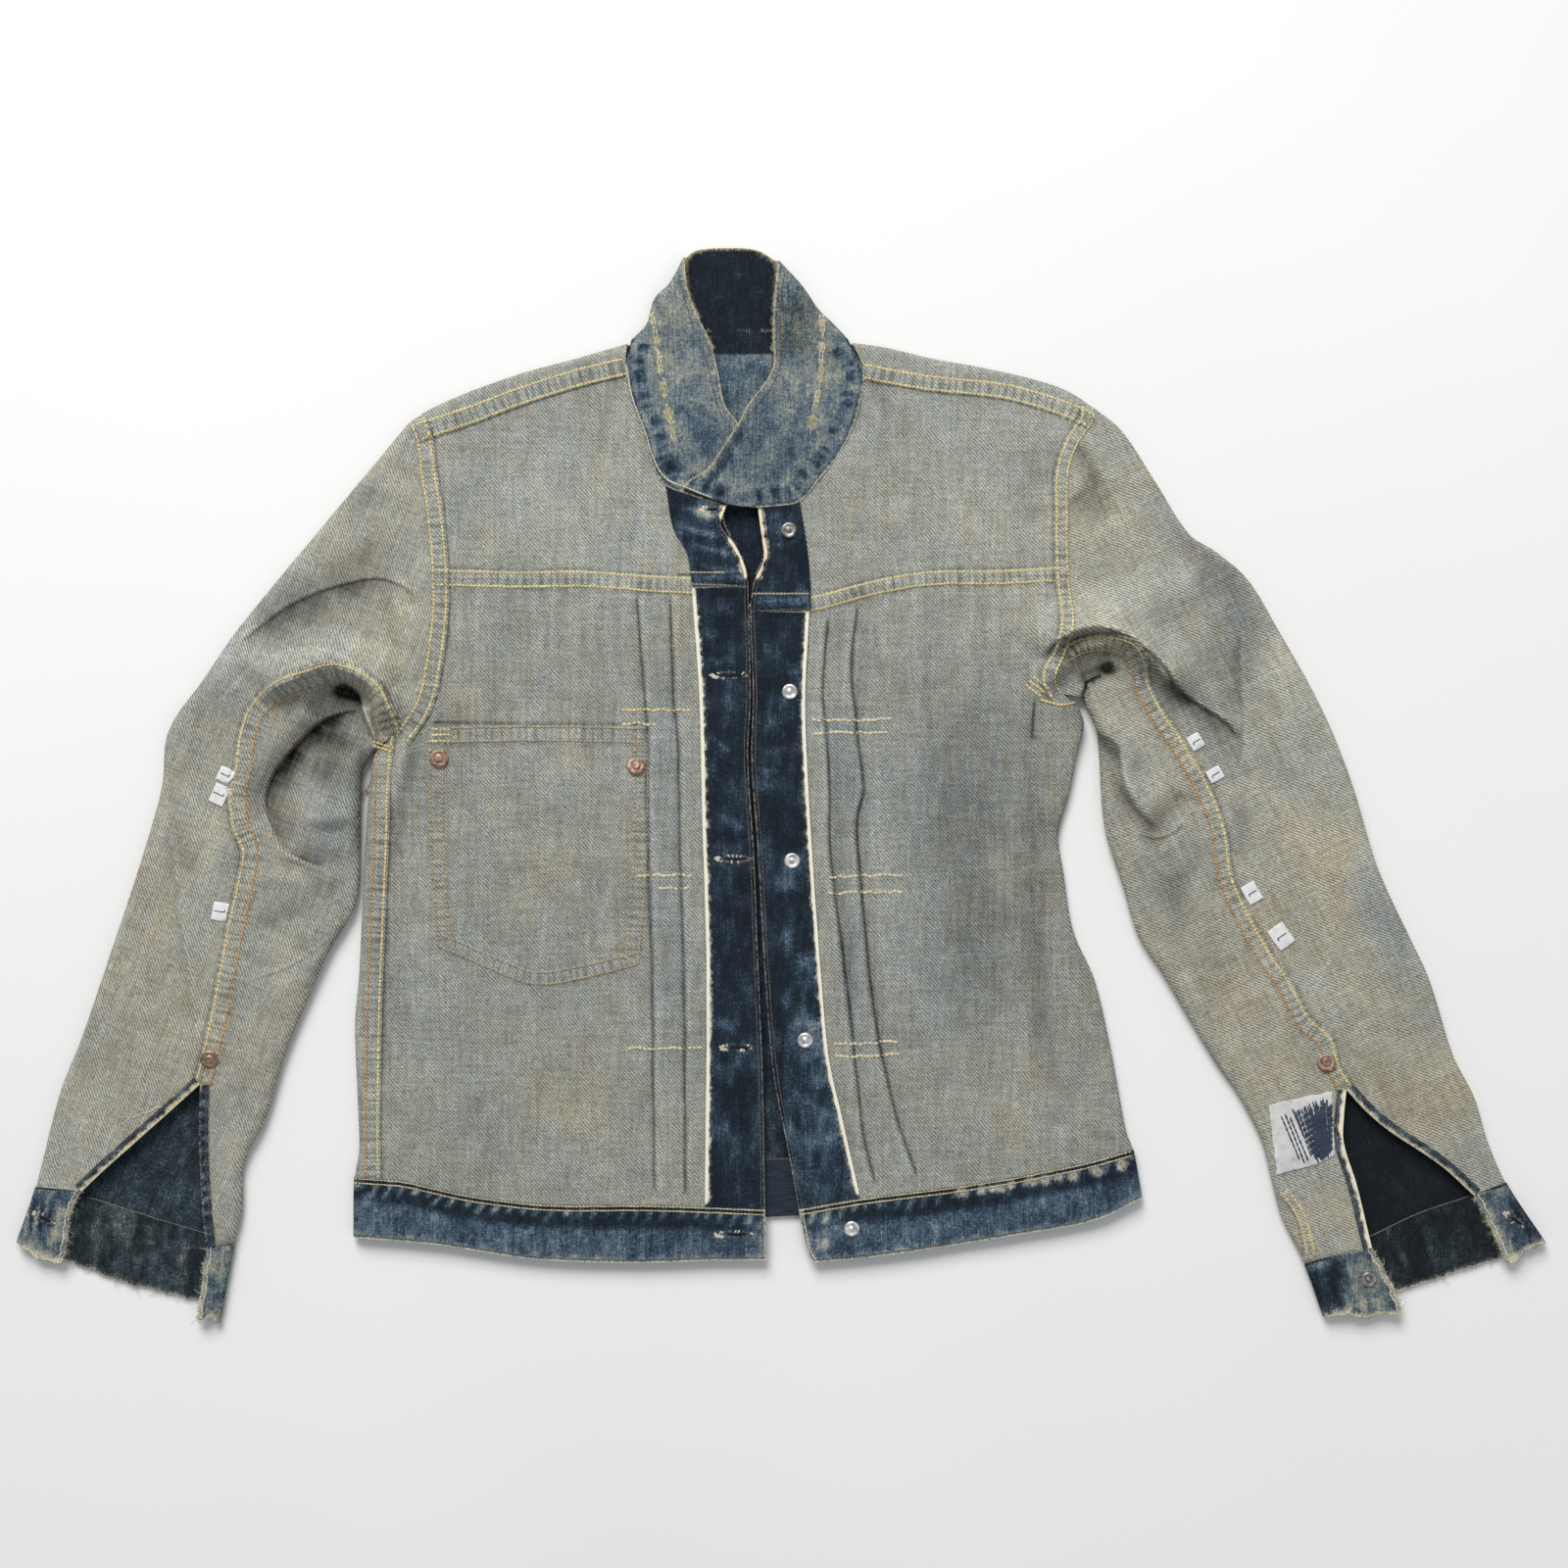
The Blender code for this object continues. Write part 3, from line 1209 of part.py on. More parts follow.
def make_fittings(copper, silver):
    rivet = head_profile(RIVET_WIDTH, RIVET_HEIGHT, 0.3)
    tack = head_profile(TACK_WIDTH, TACK_HEIGHT, 0.6)
    cap = [
        (0, 0),
        (BUTTON_WIDTH / 2 - CAP_UNDERCUT, 0),
        (BUTTON_WIDTH / 2, CAP_EDGE),
        (BUTTON_WIDTH / 2 - CAP_UNDERCUT / 2, BUTTON_HEIGHT),
        (0, BUTTON_HEIGHT),
    ]
    for name, place in RIVETS.items():
        lift = body_lift if "pocket" in name else sleeve_lift
        middle, out = surface_at(place, lift)
        turned(name, rivet, middle + out * (CLOTH / 2 + LAY_GAP), out, copper)
    spots = [(f"button_{k + 1}", place, body_lift, CLOTH) for k, place in enumerate(FRONT_BUTTONS)]
    spots.append(("button_waist", WAIST_BUTTON, band_lift, BAND))
    spots.append(("button_cuff", CUFF_BUTTON, cuff_lift, BAND))
    level = np.array([0.0, 0.0, 1.0])
    for name, place, lift, wall in spots:
        middle, _ = surface_at(place, lift)
        faced = CLOTH + LAY_GAP if lift is body_lift else 0.0
        turned(name, cap, middle - level * (wall / 2 + LAY_GAP + BUTTON_HEIGHT), level, silver)
        head = middle + level * (wall / 2 + faced + LAY_GAP)
        turned(name.replace("button", "tack"), tack, head, level, silver)


def centre_part():
    """Puts the origin under the middle of the part's outline."""
    pieces = bpy.context.scene.collection.objects
    corners = np.array([v.co[:] for piece in pieces for v in piece.data.vertices])
    low, high = corners.min(0), corners.max(0)
    shift = Vector((-(low[0] + high[0]) / 2, -(low[1] + high[1]) / 2, -low[2]))
    for piece in pieces:
        piece.data.transform(Matrix.Translation(shift))


def main():
    for piece in list(bpy.data.objects):
        bpy.data.objects.remove(piece)
    wrong_side = material("denim_wrong_side", (0.30, 0.29, 0.23))
    right_side = material("denim_right_side", (0.03, 0.06, 0.12))
    cotton = material("patch_cotton", (0.75, 0.75, 0.75))
    white = material("tab_white", (0.85, 0.85, 0.85))
    copper = material("copper", (0.42, 0.24, 0.16), 0.45, 1.0)
    silver = material("silver", (0.62, 0.62, 0.62), 0.35, 1.0)
    make_back(wrong_side)
    make_yokes(wrong_side)
    make_fronts(wrong_side)
    make_sleeves(wrong_side)
    make_pocket(wrong_side)
    make_facings(right_side)
    make_slit_strips(right_side)
    make_waistband(right_side)
    make_collar(right_side)
    make_cuffs(right_side)
    make_patch_and_tabs(cotton, white)
    make_fittings(copper, silver)
    centre_part()


main()
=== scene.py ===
"""Looks of the denim jacket, drawn finely along the same lines as its solids.

Plan points are in millimetres, +X to the right of the laid jacket and +Y towards the collar,
measured from the middle of the photo. Each piece of cloth is a closed wall with its weave on the
outside and the other side of the denim within, and a piece that turns a folded edge is one wall.
"""

import math

import bpy
import numpy as np
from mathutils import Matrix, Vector
from mathutils.geometry import delaunay_2d_cdt


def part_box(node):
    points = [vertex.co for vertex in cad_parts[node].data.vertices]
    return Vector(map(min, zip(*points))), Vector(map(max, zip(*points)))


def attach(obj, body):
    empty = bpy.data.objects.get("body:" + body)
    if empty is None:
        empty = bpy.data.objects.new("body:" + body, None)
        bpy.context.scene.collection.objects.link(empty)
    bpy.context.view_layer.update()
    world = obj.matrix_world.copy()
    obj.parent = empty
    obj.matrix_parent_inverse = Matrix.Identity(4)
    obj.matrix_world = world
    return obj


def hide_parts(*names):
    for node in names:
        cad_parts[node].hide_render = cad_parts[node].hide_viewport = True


MM = 0.001
PHOTO_MIDDLE = 800  # across and down, in pixels of the photo
PHOTO_SCALE = 0.6  # mm of the jacket in one pixel


def at(across, down):
    """A place read off the photo in pixels, as a plan point to the nearest half millimetre."""
    x, y = (across - PHOTO_MIDDLE) * PHOTO_SCALE, (PHOTO_MIDDLE - down) * PHOTO_SCALE
    return round(2 * x) / 2, round(2 * y) / 2


def plan(*places):
    """A line of such places."""
    return [at(*place) for place in places]


# Sizes that the solids have too
CLOTH = 1.2
BAND = 2.2
BODY_LIFT = 5.6
ARMHOLE_LIFT = 10.0
BAND_LIFT = 6.3
CUFF_LIFT = 6.3
ARMHOLE_REACH = 45.0
SLEEVE_REACH = 470.0
LOWEST_LIFT = 3.2
ROLL_WIDTH = 0.8
ROLL_MIDDLE = 0.45
COLLAR_LIFT = 6.1
COLLAR_RISE = 4.0
COLLAR_WIDTH = 50.0
COLLAR_LAP = 3.2
LAP_START = 6.0
LAP_RUN = 28.0
PLEAT_STEP = 1.6
PATCH_THICKNESS = 0.8
STRIP_WIDTH = 5.5

# Sizes of the looks
SEAM_GAP = 0.06
OVERLAY = 0.25  # clear space under a facing, a strip or the patch
FLOOR_RISE = 0.15  # the under layer stands on its threads
LINE_STEP = 2.5
FINE_STEP = 1.0  # along a stitched seam and a worn edge
GRID_STEP = 2.3
FLOOR_STEP = 9.0
END_POINTS = (0.15, 0.5, 1.1, 1.9)
FOLD_ROWS = (0.03, 0.1, 0.22, 0.38, 0.58, 0.8, 1.0)
ROW_APART = 0.35
GRID_APART = 0.6  # share of the grid's own step
WELD = 0.5
FAR = 1e6
TOUCH = 0.005
MOST_MITRE = 4.0
STEEP_CORNER = 0.08
WORN_EDGE = 0.9  # how far a worn edge wanders
WORN_SIZE = 3.0
FELL_RISE = 0.95
POCKET_RISE = 0.3  # where the pocket behind it shows through
PUCKER = 5.1  # from one pucker of a seam to the next
PUCKER_RISE = 0.34
THREAD = 0.6  # how far a thread stands off the cloth
# Widths of the sewing threads
THREAD_WIDTHS = {
    "gold": 1.7, "orange": 1.45, "tan": 1.5, "rust": 0.7, "pale": 2.1, "cream": 1.1, "hole": 1.0,
    "hem": 1.05, "navy": 1.15, "dark": 0.75,
}
STITCH = 2.5


# Folded edges of the laid jacket, each from the top down
SHOULDER_LEFT = plan((640, 350), (585, 366), (530, 381), (479, 399), (440, 417), (417, 432))
SHOULDER_RIGHT = plan(
    (870, 349), (905, 354), (950, 365), (1001, 374), (1052, 386), (1088, 398), (1116, 416),
)
OUTER_LEFT = plan(
    (417, 432), (386, 469), (351, 511), (298, 574), (246, 638), (210, 690), (172, 746), (165, 802),
    (152, 852), (132, 915), (108, 984), (82, 1062), (60, 1117), (35, 1213), (16, 1269),
)
OUTER_RIGHT = plan(
    (1116, 416), (1144, 439), (1180, 493), (1213, 544), (1243, 564), (1274, 592), (1305, 643),
    (1350, 727), (1378, 797), (1406, 886), (1440, 958), (1459, 1000), (1483, 1077), (1506, 1122),
    (1518, 1163), (1538, 1209), (1578, 1270),
)
INNER_LEFT = plan(
    (379, 766), (369, 786), (366, 855), (364, 904), (358, 930), (335, 969), (320, 1002), (290, 1073),
    (268, 1143), (247, 1188), (244, 1237), (236, 1271), (221, 1352),
)
INNER_RIGHT = plan(
    (1107, 712), (1121, 751), (1126, 819), (1131, 853), (1147, 902), (1163, 955), (1186, 990),
    (1216, 1041), (1243, 1086), (1264, 1115), (1289, 1163), (1299, 1202), (1310, 1242), (1334, 1291),
    (1353, 1344),
)
SIDE_LEFT = plan(
    (382, 771), (377, 800), (372, 869), (366, 996), (362, 1045), (364, 1120), (366, 1175), (362, 1202),
    (361, 1263),
)
SIDE_RIGHT = plan(
    (1099, 720), (1106, 738), (1099, 769), (1091, 811), (1080, 852), (1085, 890), (1095, 950),
    (1117, 1000), (1133, 1070), (1149, 1155), (1156, 1173), (1165, 1223),
)

# Seams of the upper layer
ARMHOLE_LEFT = plan(
    (417, 432), (424, 443), (430, 485), (436, 520), (441, 571), (442, 590), (442, 622), (436, 673),
    (426, 716), (404, 750),
)
ARMHOLE_RIGHT = plan(
    (1116, 416), (1114, 431), (1098, 457), (1090, 483), (1089, 529), (1090, 586), (1093, 630),
    (1086, 668), (1076, 692), (1084, 708),
)
SHOULDER_SEAM_LEFT = plan((424, 443), (479, 424), (530, 404), (593, 384), (638, 373))
SHOULDER_SEAM_RIGHT = plan(
    (1114, 431), (1092, 420), (1060, 408), (1021, 398), (950, 391), (915, 385), (882, 378),
)
NECK_LEFT = plan(
    (640, 350), (638, 373), (643, 404), (656, 442), (666, 475), (679, 495), (702, 504), (728, 513),
    (741, 517),
)
NECK_RIGHT = plan(
    (870, 349), (882, 378), (879, 404), (870, 437), (855, 465), (835, 490), (816, 512), (789, 517),
    (773, 518),
)
YOKE_SEAM_LEFT = plan((442, 590), (530, 592), (593, 591), (683, 597), (763, 598))
YOKE_SEAM_RIGHT = plan((1090, 586), (1026, 589), (950, 590), (890, 600), (830, 616), (766, 623))
SIDE_SEAM_LEFT = plan((404, 750), (401, 780), (398, 821), (395, 901), (391, 996), (388, 1100), (388, 1203))
HEM_LEFT = plan((781, 1234), (669, 1230), (557, 1229), (478, 1220), (414, 1206), (388, 1203), (362, 1202))
HEM_RIGHT = plan((815, 1234), (878, 1223), (1005, 1207), (1101, 1188), (1156, 1173))
SLEEVE_SEAM_LEFT = plan(
    (404, 750), (397, 724), (383, 700), (349, 684), (322, 690), (290, 702), (263, 722), (252, 748),
    (247, 784), (241, 812), (245, 845), (254, 868), (248, 904), (238, 950), (231, 990), (221, 1040),
    (212, 1080), (205, 1106),
)
SLEEVE_SEAM_RIGHT = plan(
    (1086, 668), (1100, 660), (1123, 656), (1148, 663), (1161, 681), (1167, 703), (1178, 727),
    (1198, 757), (1227, 805), (1243, 850), (1252, 900), (1287, 970), (1310, 1005), (1331, 1043),
    (1352, 1062), (1360, 1088), (1373, 1112),
)

# Open edges of the fronts and of the slits above the cuffs
FRONT_EDGE_LEFT = plan(
    (741, 517), (736, 536), (750, 556), (761, 580), (763, 598), (766, 709), (763, 773), (769, 869),
    (774, 996), (778, 1100), (781, 1234),
)
FRONT_EDGE_RIGHT = plan(
    (773, 518), (777, 545), (779, 571), (769, 594), (766, 623), (768, 709), (767, 773), (773, 869),
    (781, 1000), (789, 1096), (804, 1175), (815, 1234),
)
SLIT_LEFT_OUTER = plan((205, 1106), (180, 1128), (140, 1164), (112, 1189), (83, 1216))
SLIT_LEFT_INNER = plan((205, 1106), (204, 1140), (204, 1180), (207, 1230), (211, 1272))
SLIT_RIGHT_OUTER = plan((1373, 1112), (1395, 1135), (1417, 1153), (1470, 1189), (1504, 1220))
SLIT_RIGHT_INNER = plan((1373, 1112), (1371, 1140), (1371, 1166), (1384, 1209), (1400, 1273))

# Seams of the lower layer, on the back of the jacket
BACK_ARMHOLE_LEFT = plan((417, 432), (436, 480), (449, 540), (455, 610), (448, 680), (430, 722), (404, 750))
BACK_ARMHOLE_RIGHT = plan(
    (1116, 416), (1092, 470), (1078, 530), (1070, 600), (1068, 650), (1074, 690), (1086, 708),
)
BACK_NECK = plan((640, 350), (700, 356), (757, 358), (815, 356), (870, 349))
BACK_SIDE_SEAM_RIGHT = plan(
    (1074, 690), (1078, 750), (1066, 811), (1054, 852), (1058, 890), (1070, 950), (1092, 1000),
    (1108, 1070), (1124, 1155), (1130, 1176),
)
BACK_HEM = plan(
    (362, 1202), (500, 1203), (640, 1196), (790, 1184), (1000, 1180), (1130, 1176), (1156, 1173),
)
UNDER_SEAM_LEFT = plan(
    (448, 680), (400, 728), (364, 790), (338, 860), (332, 925), (312, 972), (296, 1008), (268, 1073),
    (246, 1143), (226, 1188), (222, 1237), (212, 1262),
)
UNDER_SEAM_RIGHT = plan(
    (1068, 650), (1112, 694), (1144, 770), (1160, 853), (1176, 902), (1192, 948), (1214, 985),
    (1242, 1033), (1270, 1078), (1292, 1110), (1316, 1160), (1327, 1200), (1340, 1240), (1362, 1279),
)
CUFF_SEAM_LEFT = plan((35, 1213), (86, 1223), (158, 1246), (212, 1262), (236, 1271))
CUFF_SEAM_RIGHT = plan((1538, 1209), (1504, 1222), (1450, 1240), (1399, 1264), (1362, 1279), (1334, 1291))

# Bands
BAND_END_LEFT = plan((781, 1234), (782, 1287))
BAND_END_RIGHT = plan((815, 1234), (823, 1277), (830, 1289))
BAND_FOOT_LEFT = plan((782, 1287), (733, 1287), (637, 1289), (541, 1285), (446, 1271), (361, 1263))
BAND_FOOT_RIGHT = plan((830, 1289), (909, 1281), (1037, 1261), (1117, 1246), (1165, 1223))
BAND_FOOT_BACK = plan((361, 1263), (500, 1260), (640, 1254), (790, 1243), (1000, 1236), (1165, 1223))
COLLAR_FOLD_LEFT = plan((699, 262), (684, 289), (669, 304), (661, 330), (645, 347))
COLLAR_FOLD_RIGHT = plan((793, 266), (817, 291), (835, 317), (850, 331), (864, 346))
COLLAR_TOP = plan((699, 262), (710, 253), (743, 251), (773, 253), (793, 266))
COLLAR_FOOT_BACK = plan((645, 347), (700, 356), (757, 358), (815, 356), (864, 346))
RIM_LEFT = plan(
    (699, 262), (702, 294), (712, 322), (725, 350), (733, 383), (740, 414), (753, 433), (764, 466),
    (758, 498), (741, 517),
)
RIM_RIGHT = plan(
    (793, 266), (790, 309), (788, 342), (789, 373), (779, 393), (763, 414), (753, 433), (738, 457),
    (722, 480), (704, 490), (697, 498),
)
COLLAR_LAP_FOOT = plan((697, 498), (711, 503), (731, 511), (749, 516), (773, 518))

# Cuffs, with the worn edge at their foot
CUFF_FOOT_LEFT = plan(
    (16, 1269), (40, 1281), (63, 1287), (95, 1299), (123, 1310), (161, 1319), (204, 1331), (221, 1352),
)
CUFF_FOOT_RIGHT = plan(
    (1578, 1270), (1556, 1276), (1532, 1286), (1481, 1302), (1427, 1319), (1380, 1335), (1353, 1344),
)
TAB_FOOT_LEFT_OUTER = plan(
    (83, 1216), (72, 1240), (63, 1288), (50, 1286), (38, 1285), (28, 1277), (16, 1269),
)
TAB_FOOT_LEFT_INNER = plan((211, 1272), (206, 1312), (202, 1350), (213, 1345), (221, 1352))
TAB_FOOT_RIGHT_OUTER = plan((1504, 1220), (1522, 1253), (1541, 1288), (1558, 1275), (1578, 1270))
TAB_FOOT_RIGHT_INNER = plan(
    (1400, 1273), (1415, 1302), (1430, 1341), (1412, 1340), (1396, 1344), (1374, 1342), (1353, 1344),
)

# Facings, pocket, slit strips and the darned patch
FACING_EDGE_LEFT = plan((706, 600), (713, 709), (717, 837), (721, 996), (719, 1226))
FACING_EDGE_RIGHT = plan(
    (826, 624), (822, 716), (825, 805), (831, 901), (838, 1000), (846, 1080), (858, 1137), (877, 1217),
)
FACING_FOOT_LEFT = plan((719, 1231.3), (780, 1233.4))
FACING_FOOT_RIGHT = plan((877, 1222.4), (815, 1233.2))
FACING_UPPER_EDGE_LEFT = plan((679, 495), (687, 538), (701, 564), (706, 597))
FACING_UPPER_EDGE_RIGHT = plan((816, 512), (822, 545), (826, 577), (828, 621))
POCKET = plan((437, 742), (661, 742), (660, 865), (655, 985), (545, 1005), (447, 965), (441, 870))
STRIP_WIDTH = 5.5
PATCH_THICKNESS = 0.8

# Ridges and troughs of the upper layer: line, height, width to its left, width to its right
CREASES = [
    (plan(
        (403, 756), (397, 735), (392, 712), (380, 695), (350, 681), (322, 686), (296, 698), (262, 716),
    ), 14.0, 5.0, 13.0),
    (plan((366, 730), (352, 708), (334, 716), (318, 735)), -12.0, 8.0, 8.0),
    (plan((364, 728), (324, 745), (299, 769), (273, 806), (271, 831), (299, 872)), -6.0, 8.0, 8.0),
    (plan((285, 892), (320, 884), (356, 879)), -3.5, 9.0, 9.0),
    (plan((252, 954), (300, 938), (359, 915)), -3.0, 9.0, 9.0),
    (plan((246, 659), (298, 617), (351, 592), (386, 589), (421, 606)), -4.5, 18.0, 18.0),
    (plan((250, 694), (281, 673), (316, 664), (356, 668)), 6.0, 11.0, 11.0),
    (plan((173, 861), (190, 904), (199, 948), (201, 1002), (201, 1067)), -2.5, 8.0, 8.0),
    (plan((345, 762), (338, 800), (340, 850)), 6.0, 15.0, 15.0),
    (plan((330, 560), (270, 640), (215, 725)), 4.0, 26.0, 26.0),
    (plan(
        (1062, 680), (1086, 648), (1115, 639), (1133, 644), (1156, 659), (1175, 678), (1198, 702),
        (1216, 716),
    ), 14.0, 16.0, 4.0),
    (plan(
        (1066, 712), (1072, 692), (1084, 678), (1100, 664), (1123, 657), (1148, 662), (1161, 678),
        (1167, 700),
    ), 8.0, 7.0, 4.5),
    (plan((1100, 694), (1118, 688), (1138, 680)), -9.0, 5.0, 5.0),
    (plan(
        (1112, 722), (1118, 742), (1130, 756), (1144, 772), (1146, 794), (1162, 818), (1182, 840),
    ), 7.0, 13.0, 4.0),
    (plan((1170, 850), (1192, 838), (1212, 806)), -4.0, 8.0, 8.0),
    (plan((1120, 634), (1170, 612), (1232, 596)), 5.0, 13.0, 13.0),
    (plan((1180, 548), (1238, 580), (1266, 631), (1271, 710)), -5.0, 18.0, 18.0),
    (plan((1096, 503), (1112, 516), (1135, 534)), -2.5, 9.0, 9.0),
    (plan((1290, 640), (1345, 780), (1400, 960)), 4.0, 28.0, 28.0),
    (plan((1056, 708), (1058, 735), (1054, 768)), -1.4, 4.0, 4.0),
    (plan((433, 745), (418, 790), (404, 842)), 1.5, 8.0, 6.0),
]
# Pleats: folded edge, which way the cloth lies from it, and how wide it lies
PLEATS_LEFT = [
    (plan((651, 606), (656, 678), (661, 741), (662, 869), (666, 996), (668, 1222)), 1, 19.0),
    (plan((685, 606), (688, 709), (693, 773), (694, 869), (698, 996), (700, 1222)), 1, 9.0),
]
PLEATS_RIGHT = [
    (plan(
        (874, 618), (868, 679), (873, 742), (880, 806), (874, 837), (877, 883), (890, 1019), (900, 1080),
        (913, 1137), (937, 1206),
    ), -1, 16.0),
    (plan(
        (844, 630), (839, 704), (845, 781), (846, 844), (848, 883), (865, 1016), (873, 1096),
        (881, 1159), (893, 1212),
    ), -1, 8.0),
]


SECOND_SEAM_RIGHT = plan((1310, 1214), (1328, 1242), (1338, 1281))
# Soft hollows of the under layer
UNDER_CREASES = [
    (plan((480, 520), (560, 700), (600, 900)), 1.0, 14.0, 14.0),
    (plan((1040, 480), (960, 640), (940, 860)), 0.9, 16.0, 16.0),
    (plan((430, 760), (520, 940), (560, 1120)), 0.8, 12.0, 12.0),
    (plan((1000, 900), (900, 1040), (860, 1160)), 0.9, 14.0, 14.0),
    (plan((360, 520), (290, 640), (240, 760)), 1.0, 12.0, 12.0),
    (plan((300, 900), (220, 920), (160, 900)), 0.9, 10.0, 10.0),
    (plan((1170, 520), (1250, 640), (1330, 780)), 1.0, 12.0, 12.0),
    (plan((1200, 860), (1280, 880), (1360, 850)), 0.9, 10.0, 10.0),
    (plan((1280, 960), (1360, 1060), (1420, 1160)), 0.8, 10.0, 10.0),
]

# Finer ridges and troughs of the upper layer: line, height, width to its left, width to its right
WRINKLES = [
    (plan((403, 596), (412, 630), (424, 664)), 1.1, 2.6, 2.6),
    (plan((411, 590), (421, 626), (433, 660)), 1.2, 2.4, 2.6),
    (plan((395, 604), (398, 640), (412, 676)), -1.3, 4.0, 4.0),
    (plan((352, 700), (372, 706), (386, 724), (392, 748)), 0.9, 3.0, 3.0),
    (plan((372, 690), (394, 705), (404, 728)), -1.0, 3.0, 3.0),
    (plan((404, 690), (414, 700), (428, 690)), -1.4, 4.0, 4.0),
    (plan((246, 700), (238, 730), (232, 762)), -0.8, 5.0, 5.0),
    (plan((223, 815), (214, 870), (205, 930), (203, 1000)), 0.9, 6.0, 6.0),
    (plan((178, 800), (184, 850), (196, 900)), -1.0, 5.0, 5.0),
    (plan((300, 975), (330, 960), (352, 930)), -1.2, 6.0, 6.0),
    (plan((262, 1015), (300, 1000), (338, 966)), 1.0, 7.0, 7.0),
    (plan((236, 1120), (250, 1110), (262, 1090)), -0.9, 5.0, 5.0),
    (plan((252, 1150), (236, 1190), (232, 1230)), 0.8, 5.0, 5.0),
    (plan((330, 1010), (300, 1040), (280, 1050)), -0.8, 6.0, 6.0),
    (plan((255, 900), (285, 893), (318, 897)), 1.2, 5.0, 5.0),
    (plan((285, 905), (320, 912), (356, 898)), -1.0, 5.0, 5.0),
    (plan((330, 470), (360, 500), (400, 520)), -0.7, 9.0, 9.0),
    (plan((280, 590), (330, 560), (390, 545)), 0.8, 12.0, 12.0),
    (plan((1060, 455), (1052, 500), (1058, 545)), -1.0, 8.0, 8.0),
    (plan((891, 385), (903, 412), (915, 440)), -1.5, 4.0, 6.0),
    (plan((882, 392), (893, 420), (902, 446)), 1.0, 4.0, 4.0),
    (plan((878, 470), (884, 520), (878, 570)), -1.1, 6.0, 7.0),
    (plan((640, 440), (634, 480), (648, 530)), -1.0, 6.0, 7.0),
    (plan((652, 500), (662, 540), (676, 580)), 0.8, 5.0, 5.0),
    (plan((600, 400), (612, 440), (606, 480)), -0.7, 8.0, 8.0),
    (plan((1105, 440), (1118, 470), (1140, 500)), 1.2, 4.0, 5.0),
    (plan((1098, 452), (1112, 478), (1128, 504)), -1.4, 3.5, 4.0),
    (plan((1093, 505), (1108, 522), (1120, 545)), -1.2, 4.0, 5.0),
    (plan((1096, 545), (1112, 560), (1124, 580)), 0.9, 4.0, 5.0),
    (plan((1170, 560), (1200, 575), (1228, 596)), 0.9, 7.0, 7.0),
    (plan((1245, 600), (1258, 650), (1256, 700)), 0.9, 8.0, 8.0),
    (plan((1285, 690), (1300, 760), (1312, 820)), -0.9, 7.0, 7.0),
    (plan((1345, 805), (1352, 850), (1350, 890)), -0.9, 5.0, 5.0),
    (plan((1178, 870), (1192, 862), (1206, 846)), 0.9, 4.0, 5.0),
    (plan((1200, 905), (1214, 885), (1228, 860)), -0.9, 6.0, 6.0),
    (plan((1170, 940), (1200, 930), (1232, 900)), 0.8, 8.0, 8.0),
    (plan((1376, 1051), (1404, 1026), (1444, 1012)), -0.5, 3.0, 3.0),
    (plan((1310, 1205), (1322, 1190), (1345, 1196)), -1.2, 5.0, 5.0),
    (plan((1302, 1170), (1296, 1200), (1304, 1226)), 0.9, 4.0, 4.0),
    (plan((1130, 760), (1142, 790), (1150, 815)), 1.0, 4.0, 4.0),
    (plan((1152, 775), (1162, 800), (1168, 830)), -0.8, 4.0, 4.0),
    (plan((1166, 760), (1182, 790), (1190, 820)), 0.8, 4.0, 4.0),
    (plan((1050, 760), (1060, 900), (1063, 1040), (1070, 1140)), -0.9, 9.0, 9.0),
    (plan((1010, 640), (1004, 720), (1010, 800)), -0.6, 10.0, 10.0),
    (plan((560, 640), (566, 760), (560, 900)), 0.5, 14.0, 14.0),
    (plan((430, 1030), (436, 1110), (432, 1190)), -0.5, 9.0, 9.0),
    (plan((600, 1040), (596, 1110), (602, 1190)), -0.5, 9.0, 9.0),
    (plan((436, 746), (422, 780), (408, 830), (404, 900)), -2.2, 4.0, 5.0),
    (plan((420, 742), (408, 780), (398, 830)), 2.0, 3.6, 3.6),
]
GATHERS_LEFT = (468, 489, 509, 529, 547, 566, 586, 604, 622, 638)
GATHERS_RIGHT = (905, 936, 968, 992, 1015, 1039, 1062)

